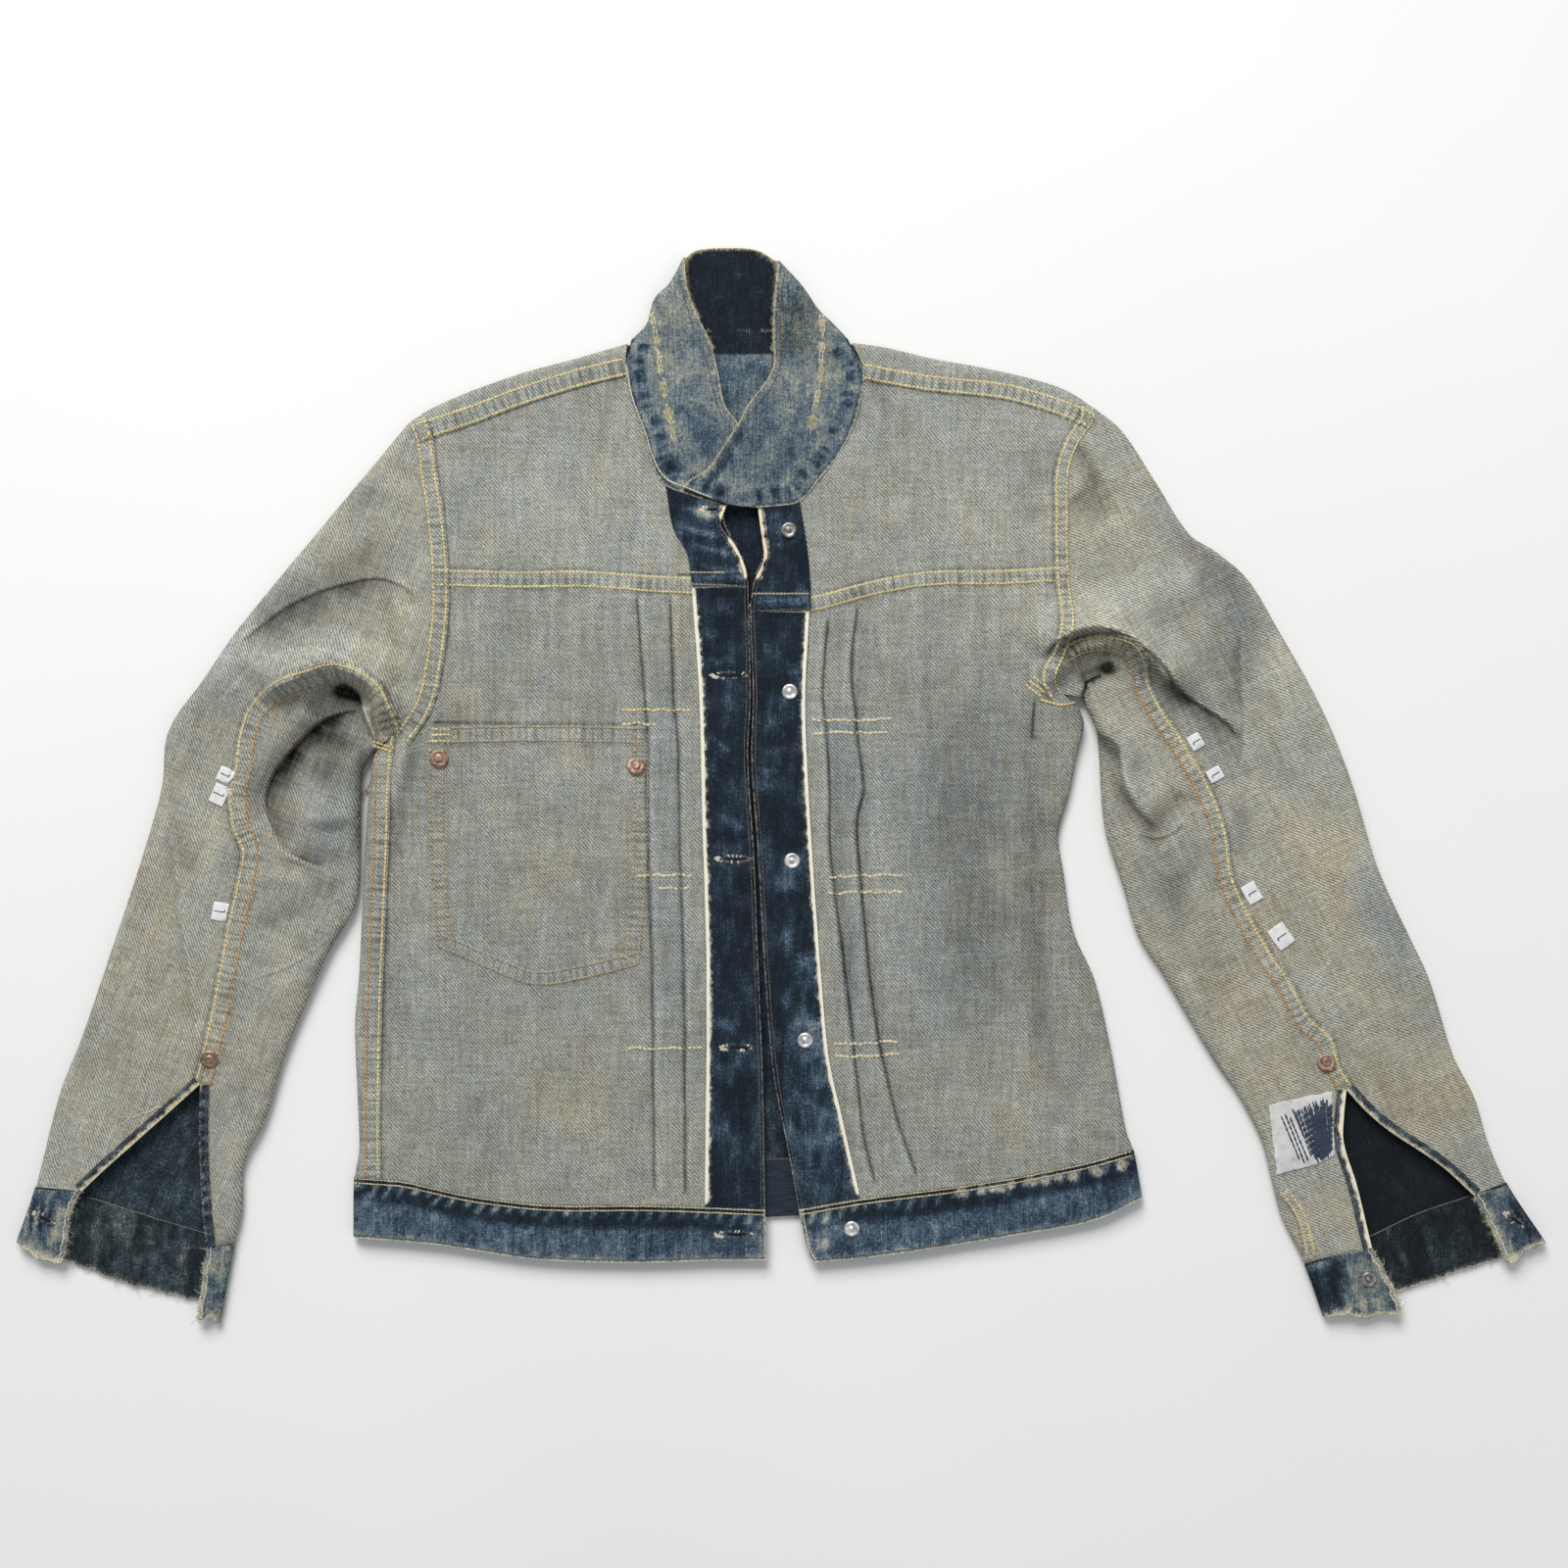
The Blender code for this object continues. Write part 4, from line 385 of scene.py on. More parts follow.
# Edges of folds that lie over the cloth beside them: line, which side stands up (1 is its left),
# how high, how far that reaches, how far the shadow reaches on the other side, and how dark it is
LIPS = [
    (plan(
        (218, 722), (252, 688), (282, 670), (316, 662), (340, 664), (366, 676), (392, 700),
    ), -1, 0.7, 8.0, 4.0, 0.16),
    (plan(
        (374, 723), (352, 727), (328, 734), (301, 760), (277, 792), (269, 821), (280, 852), (301, 875),
        (335, 888),
    ), -1, 2.2, 9.0, 15.0, 0.34),
    (plan(
        (337, 706), (345, 700), (357, 700), (366, 709), (371, 725), (378, 745), (386, 762),
    ), 1, 2.2, 5.0, 2.6, 0.75),
    (plan(
        (1061, 673), (1072, 659), (1088, 649), (1111, 643), (1136, 647), (1157, 659), (1179, 677),
        (1200, 702), (1225, 720), (1250, 737), (1266, 756),
    ), 1, 2.4, 12.0, 7.5, 0.50),
    (plan(
        (1106, 712), (1106, 727), (1120, 746), (1138, 762), (1143, 791), (1150, 812), (1164, 830),
        (1184, 846),
    ), 1, 1.9, 9.0, 7.5, 0.5),
    (plan((1268, 640), (1266, 690), (1268, 755), (1264, 790)), 1, 0.9, 11.0, 8.0, 0.24),
    (plan(
        (246, 659), (270, 637), (298, 617), (339, 599), (384, 590), (414, 600), (430, 616),
    ), 1, 1.2, 9.0, 5.0, 0.34),
    (plan((173, 850), (180, 900), (192, 990), (201, 1067)), 1, 0.8, 8.0, 3.5, 0.16),
    (plan((262, 1000), (300, 984), (336, 958), (350, 934)), 1, 0.5, 8.0, 6.0, 0.10),
    (plan((1160, 848), (1178, 856), (1196, 850), (1212, 836)), 1, 1.2, 6.0, 5.0, 0.3),
]
# Places that no light reaches: line, half width, how much darker
DARKS = [
    (plan((343, 706), (351, 702), (361, 709)), 2.6, 0.97),
    (plan((1126, 683), (1131, 681), (1137, 682)), 2.7, 0.97),
    (plan((1126, 689), (1109, 697), (1104, 708), (1107, 724)), 1.1, 0.75),
    (plan((1056, 716), (1053, 736), (1053, 756)), 0.9, 0.5),
    (plan((378, 724), (384, 744), (388, 762)), 1.4, 0.5),
    (plan((436, 737), (548, 738), (660, 738)), 0.9, 0.38),
]
# Broad soft shadows of the laid form: line, half width, how much darker
SHADES = [
    (plan((356, 742), (338, 780), (316, 806)), 13.0, 0.50),
    (plan((262, 655), (300, 636), (345, 615)), 14.0, 0.18),
    (plan((215, 700), (198, 760), (205, 820)), 14.0, 0.13),
    (plan((470, 650), (650, 650)), 30.0, 0.10),
    (plan((1165, 860), (1190, 900), (1215, 945)), 15.0, 0.24),
    (plan((1176, 690), (1215, 720), (1245, 770)), 13.0, 0.24),
    (plan((1200, 650), (1240, 680), (1262, 740)), 16.0, 0.18),
    (plan((1040, 700), (990, 800), (965, 900)), 24.0, 0.08),
    (plan((880, 640), (876, 800), (886, 960), (912, 1130), (930, 1200)), 6.0, 0.15),
    (plan((852, 650), (853, 800), (860, 960), (884, 1140)), 3.0, 0.12),
    (plan((864, 640), (862, 800), (872, 960), (896, 1140)), 3.4, -0.14),
    (plan((895, 640), (890, 800), (902, 960), (930, 1140)), 4.0, -0.10),
]

# Lines that start or end on a folded edge
FOLD_TO_FOLD = (
    ARMHOLE_LEFT,
    ARMHOLE_RIGHT,
    BACK_ARMHOLE_LEFT,
    BACK_ARMHOLE_RIGHT,
    HEM_LEFT,
    HEM_RIGHT,
    BACK_HEM,
    BAND_FOOT_LEFT,
    BAND_FOOT_RIGHT,
    BAND_FOOT_BACK,
    BACK_NECK,
    COLLAR_FOOT_BACK,
    COLLAR_TOP,
    RIM_LEFT,
    RIM_RIGHT,
    CUFF_SEAM_LEFT,
    CUFF_SEAM_RIGHT,
)
WORN_LINES = (
    CUFF_FOOT_LEFT,
    CUFF_FOOT_RIGHT,
    TAB_FOOT_LEFT_OUTER,
    TAB_FOOT_LEFT_INNER,
    TAB_FOOT_RIGHT_OUTER,
    TAB_FOOT_RIGHT_INNER,
)

POCKET_TOP = plan((436, 743), (548, 742), (660, 743))
POCKET_SIDES = [plan((439, 748), (440, 870), (447, 965)), plan((660, 748), (659, 870), (651, 984))]
POCKET_FOOT = plan((447, 965), (500, 988), (545, 1004), (600, 997), (651, 984))
# Stitched seams: line, where the band starts and ends across it, which of its edges are sharp,
# and how high it stands
FELLS = [
    (ARMHOLE_LEFT, 0.0, 10.2, (False, True), FELL_RISE),
    (ARMHOLE_RIGHT, -8.3, 0.0, (True, False), FELL_RISE),
    (SHOULDER_SEAM_LEFT, -5.6, 5.6, (True, False), FELL_RISE),
    (SHOULDER_SEAM_RIGHT, -4.6, 4.8, (False, True), FELL_RISE),
    (YOKE_SEAM_LEFT, -5.2, 5.4, (False, True), FELL_RISE),
    (YOKE_SEAM_RIGHT, -4.6, 4.4, (True, False), FELL_RISE),
    (SIDE_SEAM_LEFT, -10.6, 0.0, (False, True), FELL_RISE),
    (SLEEVE_SEAM_LEFT, -4.5, 7.6, (True, False), FELL_RISE),
    (SLEEVE_SEAM_RIGHT, -5.2, 4.8, (False, True), FELL_RISE),
    (SECOND_SEAM_RIGHT, -3.2, 3.2, (True, False), FELL_RISE),
    (POCKET_TOP, -9.6, 0.8, (False, False), POCKET_RISE),
    (POCKET_SIDES[0], -0.8, 8.4, (False, False), POCKET_RISE),
    (POCKET_SIDES[1], -8.4, 0.8, (False, False), POCKET_RISE),
    (POCKET_FOOT, -0.8, 8.0, (False, False), POCKET_RISE),
]
# Rows of stitches on them: line, offset to its left, thread
SEAM_ROWS = [
    (ARMHOLE_LEFT, 0.9, "gold"),
    (ARMHOLE_LEFT, 8.4, "gold"),
    (ARMHOLE_RIGHT, -0.9, "gold"),
    (ARMHOLE_RIGHT, -6.7, "gold"),
    (SHOULDER_SEAM_LEFT, 4.6, "gold"),
    (SHOULDER_SEAM_LEFT, -4.4, "gold"),
    (SHOULDER_SEAM_RIGHT, 3.8, "gold"),
    (SHOULDER_SEAM_RIGHT, -3.8, "gold"),
    (YOKE_SEAM_LEFT, 4.3, "gold"),
    (YOKE_SEAM_LEFT, -4.2, "gold"),
    (YOKE_SEAM_RIGHT, 3.6, "gold"),
    (YOKE_SEAM_RIGHT, -3.6, "gold"),
    (SIDE_SEAM_LEFT, -1.8, "gold"),
    (SIDE_SEAM_LEFT, -9.0, "orange"),
    (SLEEVE_SEAM_LEFT, -2.6, "gold"),
    (SLEEVE_SEAM_LEFT, 6.2, "orange"),
    (SLEEVE_SEAM_RIGHT, 3.0, "gold"),
    (SLEEVE_SEAM_RIGHT, -4.2, "orange"),
    (SECOND_SEAM_RIGHT, 2.0, "gold"),
    (SECOND_SEAM_RIGHT, -2.0, "gold"),
]


def smooth(value):
    value = np.clip(value, 0, 1)
    return value * value * (3 - 2 * value)


def bump(value, width):
    """A soft bump: 1 at nought, falling to both sides within its width."""
    return np.exp(-((value / width) ** 2))


def clear_ends(along, length, reach):
    """0 at both ends of a line, 1 from its reach inwards."""
    return smooth(along / reach) * smooth((length - along) / reach)


def leg_lengths(line):
    return np.hypot(*np.diff(line, axis=0).T)


def soft_noise(xy, size, seed):
    """Smooth noise from -1 to 1 over plan points, with bumps of the given size."""
    table = np.random.default_rng(seed).random((64, 64))
    place = np.asarray(xy) / size
    cell = np.floor(place).astype(int)
    part = smooth(place - cell)
    x, y = cell[:, 0] % 64, cell[:, 1] % 64
    x_next, y_next = (x + 1) % 64, (y + 1) % 64
    low = table[x, y] + (table[x_next, y] - table[x, y]) * part[:, 0]
    high = table[x, y_next] + (table[x_next, y_next] - table[x, y_next]) * part[:, 0]
    return 2 * (low + (high - low) * part[:, 1]) - 1


def noise_along(along, size, seed, row=0):
    """Smooth noise for places along a line; each row is another draw of it."""
    return soft_noise(np.stack([along, 0 * along + row], 1), size, seed)


def spline(points, step):
    """Smooth line through the points, with each point kept and its place in the result."""
    points = [np.array(p, float) for p in points]
    ends = [points[0] * 2 - points[1]] + points + [points[-1] * 2 - points[-2]]
    result, places, count = [], [], 0
    for a, b, c, d in zip(ends, ends[1:], ends[2:], ends[3:]):
        length = np.hypot(*(c - b))
        span = max(1, round(length / step))
        leave = (c - a) * (length / max(np.hypot(*(c - a)), 1e-6))
        arrive = (d - b) * (length / max(np.hypot(*(d - b)), 1e-6))
        places.append(count)
        t = (np.arange(span) / span)[:, None]
        result.append(
            b * (2 * t**3 - 3 * t**2 + 1)
            + leave * (t**3 - 2 * t**2 + t)
            + c * (3 * t**2 - 2 * t**3)
            + arrive * (t**3 - t**2)
        )
        count += span
    places.append(count)
    result.append(points[-1][None])
    return np.concatenate(result), places


def refine_ends(line, places):
    """More points where a line climbs a folded edge at its ends."""
    for _ in range(2):
        leg = line[1] - line[0]
        length = np.hypot(*leg)
        extra = [line[0] + leg * (d / length) for d in END_POINTS if d < 0.9 * length]
        line = np.concatenate([line[:1], np.array(extra).reshape(-1, 2), line[1:]])
        places = [0] + [p + len(extra) for p in places[1:]]
        line = line[::-1]
        places = [len(line) - 1 - p for p in places[::-1]]
    return line, places


def across_line(line):
    """The way to the left of a line at each of its points."""
    way = np.gradient(line, axis=0)
    way /= np.maximum(np.hypot(*way.T), 1e-9)[:, None]
    return np.stack([-way[:, 1], way[:, 0]], 1)


LINES = {}


def run(points, first=0, last=-1, step=LINE_STEP):
    """The stretch of a named line from one of its points to another, in that order."""
    worn = any(points is line for line in WORN_LINES)
    key = (id(points), step)
    if key not in LINES:
        line, places = spline(points, FINE_STEP if worn else step)
        if worn:
            fade = np.minimum(np.arange(len(line)), np.arange(len(line))[::-1]) / 3
            wander = soft_noise(line, WORN_SIZE, 5) + 0.6 * soft_noise(line, WORN_SIZE / 3, 6)
            line = line + across_line(line) * (WORN_EDGE * wander * smooth(fade))[:, None]
        if any(points is other for other in FOLD_TO_FOLD):
            line, places = refine_ends(line, places)
        LINES[key] = line, places, points  # kept, so that its identity stays its own
    line, places, _ = LINES[key]
    start, end = places[first], places[last]
    if start <= end:
        return line[start : end + 1]
    return line[end : start + 1][::-1]


NEAR_CELL = 36.0  # points are taken together in squares of this size
CELLS_ACROSS = 4096  # more than there are such squares in a row
FINE_CELLS_ACROSS = 100003


def nearest(line, xy):
    """Distance to a line of points, the offset from it, the side of it and the way along in mm."""
    line, xy = np.asarray(line, float), np.asarray(xy, float)
    start, leg = line[:-1], np.diff(line, axis=0)
    length = np.maximum(np.hypot(*leg.T), 1e-9)
    before = np.concatenate([[0], np.cumsum(length)])
    count = len(xy)
    distance, side, along = np.zeros(count), np.zeros(count), np.zeros(count)
    offset = np.zeros((count, 2))
    if not count:
        return distance, offset, side, along
    cell = np.floor(xy / NEAR_CELL).astype(int)
    key = cell[:, 0] * CELLS_ACROSS + cell[:, 1]
    order = np.argsort(key, kind="stable")
    cuts = np.flatnonzero(np.diff(key[order])) + 1
    for group in np.split(order, cuts):
        some = xy[group]
        centre = some.mean(0)
        radius = np.hypot(*(some - centre).T).max()
        gap = np.hypot(*(line - centre).T)
        close = np.minimum(gap[:-1], gap[1:]) - length
        chosen = np.flatnonzero(close <= gap.min() + 2 * radius + 1e-6)
        legs, lengths = leg[chosen], length[chosen]
        rel = some[:, None] - start[chosen][None]
        share = np.clip((rel * legs).sum(2) / lengths**2, 0, 1)
        away = rel - share[..., None] * legs
        far = np.hypot(away[..., 0], away[..., 1])
        best = far.argmin(1)
        rows = np.arange(len(some))
        distance[group] = far[rows, best]
        offset[group] = away[rows, best]
        side[group] = legs[best, 0] * rel[rows, best, 1] - legs[best, 1] * rel[rows, best, 0]
        along[group] = before[chosen][best] + share[rows, best] * lengths[best]
    return distance, offset, side, along


def close_to(line, xy, reach):
    """Which of the points lie in the line's box, widened by its reach."""
    low, high = line.min(0) - reach, line.max(0) + reach
    return ((xy > low) & (xy < high)).all(1)


def mark(xy, line, left, right, ends=0.2):
    """How strongly a line is felt at each point: 1 on it, falling softly to both sides."""
    result = np.zeros(len(xy))
    line = run(line, step=6.0)
    near = np.flatnonzero(close_to(line, xy, 3 * max(left, right)))
    distance, _, side, along = nearest(line, xy[near])
    share = along / leg_lengths(line).sum()
    width = np.where(side > 0, left, right)
    fade = smooth(share / ends) * smooth((1 - share) / ends)
    result[near] = fade * bump(distance, width)
    return result


def crease_height(xy):
    total = np.zeros(len(xy))
    for line, height, left, right in CREASES:
        total += height * mark(xy, line, left, right)
    return total


def armhole_distance(xy):
    left = nearest(run(ARMHOLE_LEFT, step=6.0), xy)[0]
    right = nearest(run(ARMHOLE_RIGHT, step=6.0), xy)[0]
    return np.minimum(left, right)


def body_lift(xy):
    rise = (ARMHOLE_LIFT - BODY_LIFT) * bump(armhole_distance(xy), ARMHOLE_REACH)
    return np.maximum(BODY_LIFT + rise + crease_height(xy), LOWEST_LIFT)


def sleeve_lift(xy):
    fall = (ARMHOLE_LIFT - CUFF_LIFT) * smooth(armhole_distance(xy) / SLEEVE_REACH)
    return np.maximum(ARMHOLE_LIFT - fall + crease_height(xy), LOWEST_LIFT)


def band_lift(xy):
    return np.full(len(xy), BAND_LIFT)


def cuff_lift(xy):
    return np.full(len(xy), CUFF_LIFT)


def collar_left_lift(xy):
    foot = np.concatenate([run(COLLAR_FOOT_BACK)[:1], run(NECK_LEFT, 1)])
    return COLLAR_LIFT + COLLAR_RISE * smooth(nearest(foot, xy)[0] / COLLAR_WIDTH)


def collar_right_lift(xy):
    foot = np.concatenate([run(COLLAR_FOOT_BACK)[-1:], run(NECK_RIGHT, 1), run(NECK_LEFT, -1, 1)])
    rise = COLLAR_RISE * smooth(nearest(foot, xy)[0] / COLLAR_WIDTH)
    lap = COLLAR_LAP * smooth((LAP_START - xy[:, 0]) / LAP_RUN)
    return COLLAR_LIFT + rise + lap


def collar_back_lift(xy):
    return np.where(xy[:, 0] < LAP_START - LAP_RUN, collar_left_lift(xy), collar_right_lift(xy))


BODY_FOLDS = [
    SHOULDER_LEFT,
    OUTER_LEFT,
    INNER_LEFT,
    SIDE_LEFT,
    SHOULDER_RIGHT,
    OUTER_RIGHT,
    INNER_RIGHT,
    SIDE_RIGHT,
]
COLLAR_FOLDS = [COLLAR_FOLD_LEFT, COLLAR_FOLD_RIGHT]
MOST_ROLL = 26.0


def seam_place(line, xy, reach):
    """Signed offset from a seam line, to its left, and the way along it, for points near it."""
    line = run(line, step=FINE_STEP)
    near = np.flatnonzero(close_to(line, xy, reach))
    distance, _, side, along = nearest(line, xy[near])
    total = leg_lengths(line).sum()
    kept = (distance < reach) & (along > 0.01) & (along < total - 0.01)
    signed = (distance * np.sign(side))[kept]
    return near[kept], signed, along[kept], total


# How wide the sharp and the soft edges of a seam's band are
SHARP_STEP = 0.5
SOFT_STEP = 2.6


def fell_relief(xy):
    """The raised bands of the stitched seams, puckered, with their rows of stitches drawn in."""
    total = np.zeros(len(xy))
    for line, low, high, sharp, rise in FELLS:
        near, offset, along, length = seam_place(line, xy, max(abs(low), abs(high)) + 8)
        step_low = smooth((offset - low) / (SHARP_STEP if sharp[0] else SOFT_STEP) + 0.5)
        step_high = smooth((high - offset) / (SHARP_STEP if sharp[1] else SOFT_STEP) + 0.5)
        band = step_low * step_high
        beside = bump(np.maximum(np.maximum(low - offset, offset - high), 0), 3.0)
        phase = 2 * math.pi * along / PUCKER
        phase += 1.6 * noise_along(along, 14.0, 3)
        strength = 0.55 + 0.75 * noise_along(along, 13.0, 4, 9)
        ends = clear_ends(along, length, 3)
        wave = PUCKER_RISE * np.sin(phase) * strength * (0.2 * beside + 0.8 * band)
        total[near] += ends * (rise * band + wave)
    for line, row, _ in SEAM_ROWS:
        near, offset, along, _ = seam_place(line, xy, abs(row) + 3)
        total[near] -= 0.3 * bump(offset - row, 0.7)
    return total


def pleat_relief(xy):
    """Each pleat: a groove beside a strip that lies a little higher."""
    total = np.zeros(len(xy))
    for line, towards, width in PLEATS_LEFT + PLEATS_RIGHT:
        near, offset, along, length = seam_place(line, xy, width + 4)
        reach = offset * towards
        rise = 0.6 * PLEAT_STEP * smooth(reach / 0.9 + 0.5) * np.clip(1 - reach / width, 0, 1)
        rise += 0.45 * bump(reach - 2.4, 1.5) - 1.5 * bump(reach + 0.5, 1.0)
        total[near] += rise * clear_ends(along, length, 4)
    return total


def lip_relief(xy):
    """Folds that lie over the cloth beside them."""
    total = np.zeros(len(xy))
    for line, towards, rise, reach, low_reach, _ in LIPS:
        near, offset, along, length = seam_place(line, xy, 3 * max(reach, low_reach))
        side = offset * towards
        step = smooth(side / 1.9 + 0.5)
        ends = clear_ends(along, length, 9)
        high = step * np.exp(-np.maximum(side, 0) / reach)
        low = (1 - step) * np.exp(np.minimum(side, 0) / low_reach)
        total[near] += ends * rise * (high - 0.5 * low)
    return total


def gather_relief(xy):
    """Soft upright folds under the yoke seams."""
    total = np.zeros(len(xy))
    for places, top, way in ((GATHERS_LEFT, 123.0, 1), (GATHERS_RIGHT, 126.0, -1)):
        for k, place in enumerate(places):
            below = top - xy[:, 1]
            x = (place - PHOTO_MIDDLE) * PHOTO_SCALE + 0.02 * way * below
            reach = 52 + 22 * math.sin(2.3 * k)
            down = smooth((below + 1) / 5) * np.exp(-((np.maximum(below, 0) / reach) ** 1.5))
            total += 1.15 * down * bump(xy[:, 0] - x, 3.6) * (below > -1)
    return total


def relief(xy):
    """What lies on the upper layer's main form, in mm."""
    total = fell_relief(xy) + pleat_relief(xy) + gather_relief(xy) + lip_relief(xy)
    for line, height, left, right in WRINKLES:
        total += height * mark(xy, line, left, right)
    total += 0.8 * soft_noise(xy, 34.0, 11) + 0.34 * soft_noise(xy / [0.6, 1.6], 13.0, 12)
    return total + 0.12 * soft_noise(xy, 5.0, 13)


def under_relief(xy):
    """Soft hollows of the under layer, where it stands off the floor."""
    total = np.zeros(len(xy))
    for line, height, left, right in UNDER_CREASES:
        total += height * mark(xy, line, left, right)
    return total + 0.15 + 0.15 * soft_noise(xy, 30.0, 21)


class Layer:
    """One part of a piece: its outline, which layer it lies in, and how its wall runs."""

    def __init__(
        self, stretches, lift, folds, upper=True, step=GRID_STEP, wall=CLOTH, offset=0.0, shaped=True
    ):
        self.stretches = stretches
        self.lift = lift
        self.folds = folds
        self.upper = upper
        self.step = step
        self.wall = wall
        self.offset = offset
        self.shaped = shaped


def fold_distance(xy, folds):
    """Distance to the nearest folded edge, as far as any roll of the cloth reaches."""
    best = np.full(len(xy), FAR)
    for fold in folds:
        line = run(fold)
        near = np.flatnonzero(close_to(line, xy, MOST_ROLL))
        best[near] = np.minimum(best[near], nearest(line, xy[near])[0])
    return best


def wall_height(xy, layer):
    """Height of the middle of the wall at plan points of one layer of a piece."""
    floor = layer.wall / 2 + FLOOR_RISE
    height = layer.lift(xy)
    rise = height - floor
    roll = ROLL_WIDTH * rise
    middle = floor + ROLL_MIDDLE * rise
    near = fold_distance(xy, layer.folds) if layer.folds else np.full(len(xy), FAR)
    across = np.clip(1 - near / roll, 0, 1)
    up = np.sqrt(1 - across**2)
    if not layer.upper:
        raised = under_relief(xy) if layer.shaped else 0.0
        return middle - (middle - floor) * up + raised * up**2
    raised = relief(xy) if layer.shaped else 0.25 * soft_noise(xy, 22.0, 14)
    return middle + (height - middle) * up + raised * up**2 + layer.offset


def fold(line, first=0, last=-1):
    return run(line, first, last), True


def edge(line, first=0, last=-1):
    return run(line, first, last), False


def closed_outline(stretches):
    """Points of the outline, counter-clockwise, and whether the edge after each is a fold."""
    points, folded = [], []
    for line, is_fold in stretches:
        for k, point in enumerate(line):
            if points and np.hypot(*(np.array(points[-1]) - point)) < TOUCH:
                if k == 0:
                    folded[-1] = is_fold
                continue
            points.append(tuple(point))
            folded.append(is_fold)
        folded[-1] = False
    if np.hypot(*(np.array(points[0]) - points[-1])) < TOUCH:
        points.pop()
        folded.pop()
    points, folded = np.array(points), np.array(folded)
    ahead = np.roll(points, -1, axis=0)
    if (points[:, 0] * ahead[:, 1] - points[:, 1] * ahead[:, 0]).sum() < 0:
        points, folded = points[::-1], np.roll(folded[::-1], -1)
    return points, folded


def stand_back(points, folded):
    """The outline drawn in from its seams, and which of its points lie on a fold."""
    ahead = np.roll(points, -1, axis=0) - points
    ahead /= np.hypot(*ahead.T)[:, None]
    inward = np.stack([-ahead[:, 1], ahead[:, 0]], 1)
    back = np.where(folded, 0.0, SEAM_GAP)
    result = points.copy()
    for k in range(len(points)):
        ways = np.array([inward[k - 1], inward[k]])
        amounts = np.array([back[k - 1], back[k]])
        turn = ways[0, 0] * ways[1, 1] - ways[0, 1] * ways[1, 0]
        if abs(turn) > STEEP_CORNER:
            step = np.linalg.solve(ways, amounts)
        else:
            step = ways.mean(0) * amounts.max()
        length = np.hypot(*step)
        result[k] += step * min(1.0, MOST_MITRE * SEAM_GAP / max(length, 1e-9))
    return result, folded | np.roll(folded, 1)


def inside(outline, xy):
    x, y = xy.T
    result = np.zeros(len(xy), bool)
    for (ax, ay), (bx, by) in zip(outline, np.roll(outline, -1, axis=0)):
        crosses = (ay > y) != (by > y)
        if crosses.any():
            level = (bx - ax) * (y[crosses] - ay) / (by - ay) + ax
            result[crosses] ^= x[crosses] < level
    return result


def fold_rows(outline, folded, layer):
    """Points just inside each folded edge, on which the roll of the cloth is drawn."""
    ahead = np.roll(outline, -1, axis=0) - outline
    inward = np.stack([-ahead[:, 1], ahead[:, 0]], 1) / np.hypot(*ahead.T)[:, None]
    inward += np.roll(inward, 1, axis=0)
    inward /= np.maximum(np.hypot(*inward.T), 1e-9)[:, None]
    within = np.where(folded & np.roll(folded, 1))[0]
    roll = ROLL_WIDTH * (layer.lift(outline[within]) - layer.wall / 2)
    rows = [outline[within] + inward[within] * (roll * share)[:, None] for share in FOLD_ROWS]
    return np.concatenate(rows)


def seam_points():
    """Rows of points along the stitched seams and the pleats, where the cloth steps."""
    rows = []

    def add(line, places, scale=1, step=FINE_STEP):
        centre = run(line, step=step)
        way = across_line(centre) * scale
        rows.extend(centre + way * place for place in places)

    for line, low, high, *_ in FELLS:
        places = [low - 3.4, low - 1.6, low - 0.35, low + 0.35]
        places += list(np.linspace(low + 1.7, high - 1.7, max(3, round((high - low) / 2.2))))
        add(line, places + [high - 0.35, high + 0.35, high + 1.6, high + 3.4])
    for line, towards, _ in PLEATS_LEFT + PLEATS_RIGHT:
        add(line, (-3.0, -1.7, -1.0, -0.5, 0.0, 0.5, 1.3, 2.4, 3.8), towards, LINE_STEP)
    for line, *_ in LIPS:
        add(line, (-3.4, -2.2, -1.4, -0.75, 0.0, 0.75, 1.4, 2.2, 3.4))
    for line, width, _ in DARKS:
        add(line, (-1.7, -1.1, -0.5, 0.0, 0.5, 1.1, 1.7), width)
    for line in (FACING_EDGE_LEFT, FACING_EDGE_RIGHT):
        add(line, (-2.6, -2.0, -1.2, 1.2, 2.0, 2.6))
    for line in (HEM_LEFT, HEM_RIGHT, FRONT_EDGE_LEFT, FRONT_EDGE_RIGHT, NECK_LEFT, NECK_RIGHT):
        add(line, (-1.8, -1.0, 1.0, 1.8))
    return rows


def grid(outline, step):
    low, high = outline.min(0), outline.max(0)
    rows = np.arange(low[1] + step / 2, high[1], step * 0.87)
    points = []
    for k, y in enumerate(rows):
        x = np.arange(low[0] + (step / 2 if k % 2 else step), high[0], step)
        points.append(np.stack([x, np.full(len(x), y)], 1))
    return np.concatenate(points)


def cells_of(points, size):
    cell = np.floor(points / size).astype(int)
    return cell[:, 0] * FINE_CELLS_ACROSS + cell[:, 1]


def thin_out(chosen, more, apart):
    """Adds the points that are clear of those already chosen, by small squares."""
    if not len(more):
        return chosen
    taken = [cells_of(chosen + [dx * apart, dy * apart], apart) for dx in (-1, 0, 1) for dy in (-1, 0, 1)]
    taken = np.unique(np.concatenate(taken))
    own = cells_of(more, apart)
    free = ~np.isin(own, taken)
    _, first = np.unique(own[free], return_index=True)
    return np.concatenate([chosen, more[free][np.sort(first)]])


SEAM_POINTS = []
SAME_POINT = 1e-5
NO_AREA = 1e-7
MOST_POINTS = 10_000_000
SHARP_CLOTH = math.radians(50)
SHARP_METAL = math.radians(60)


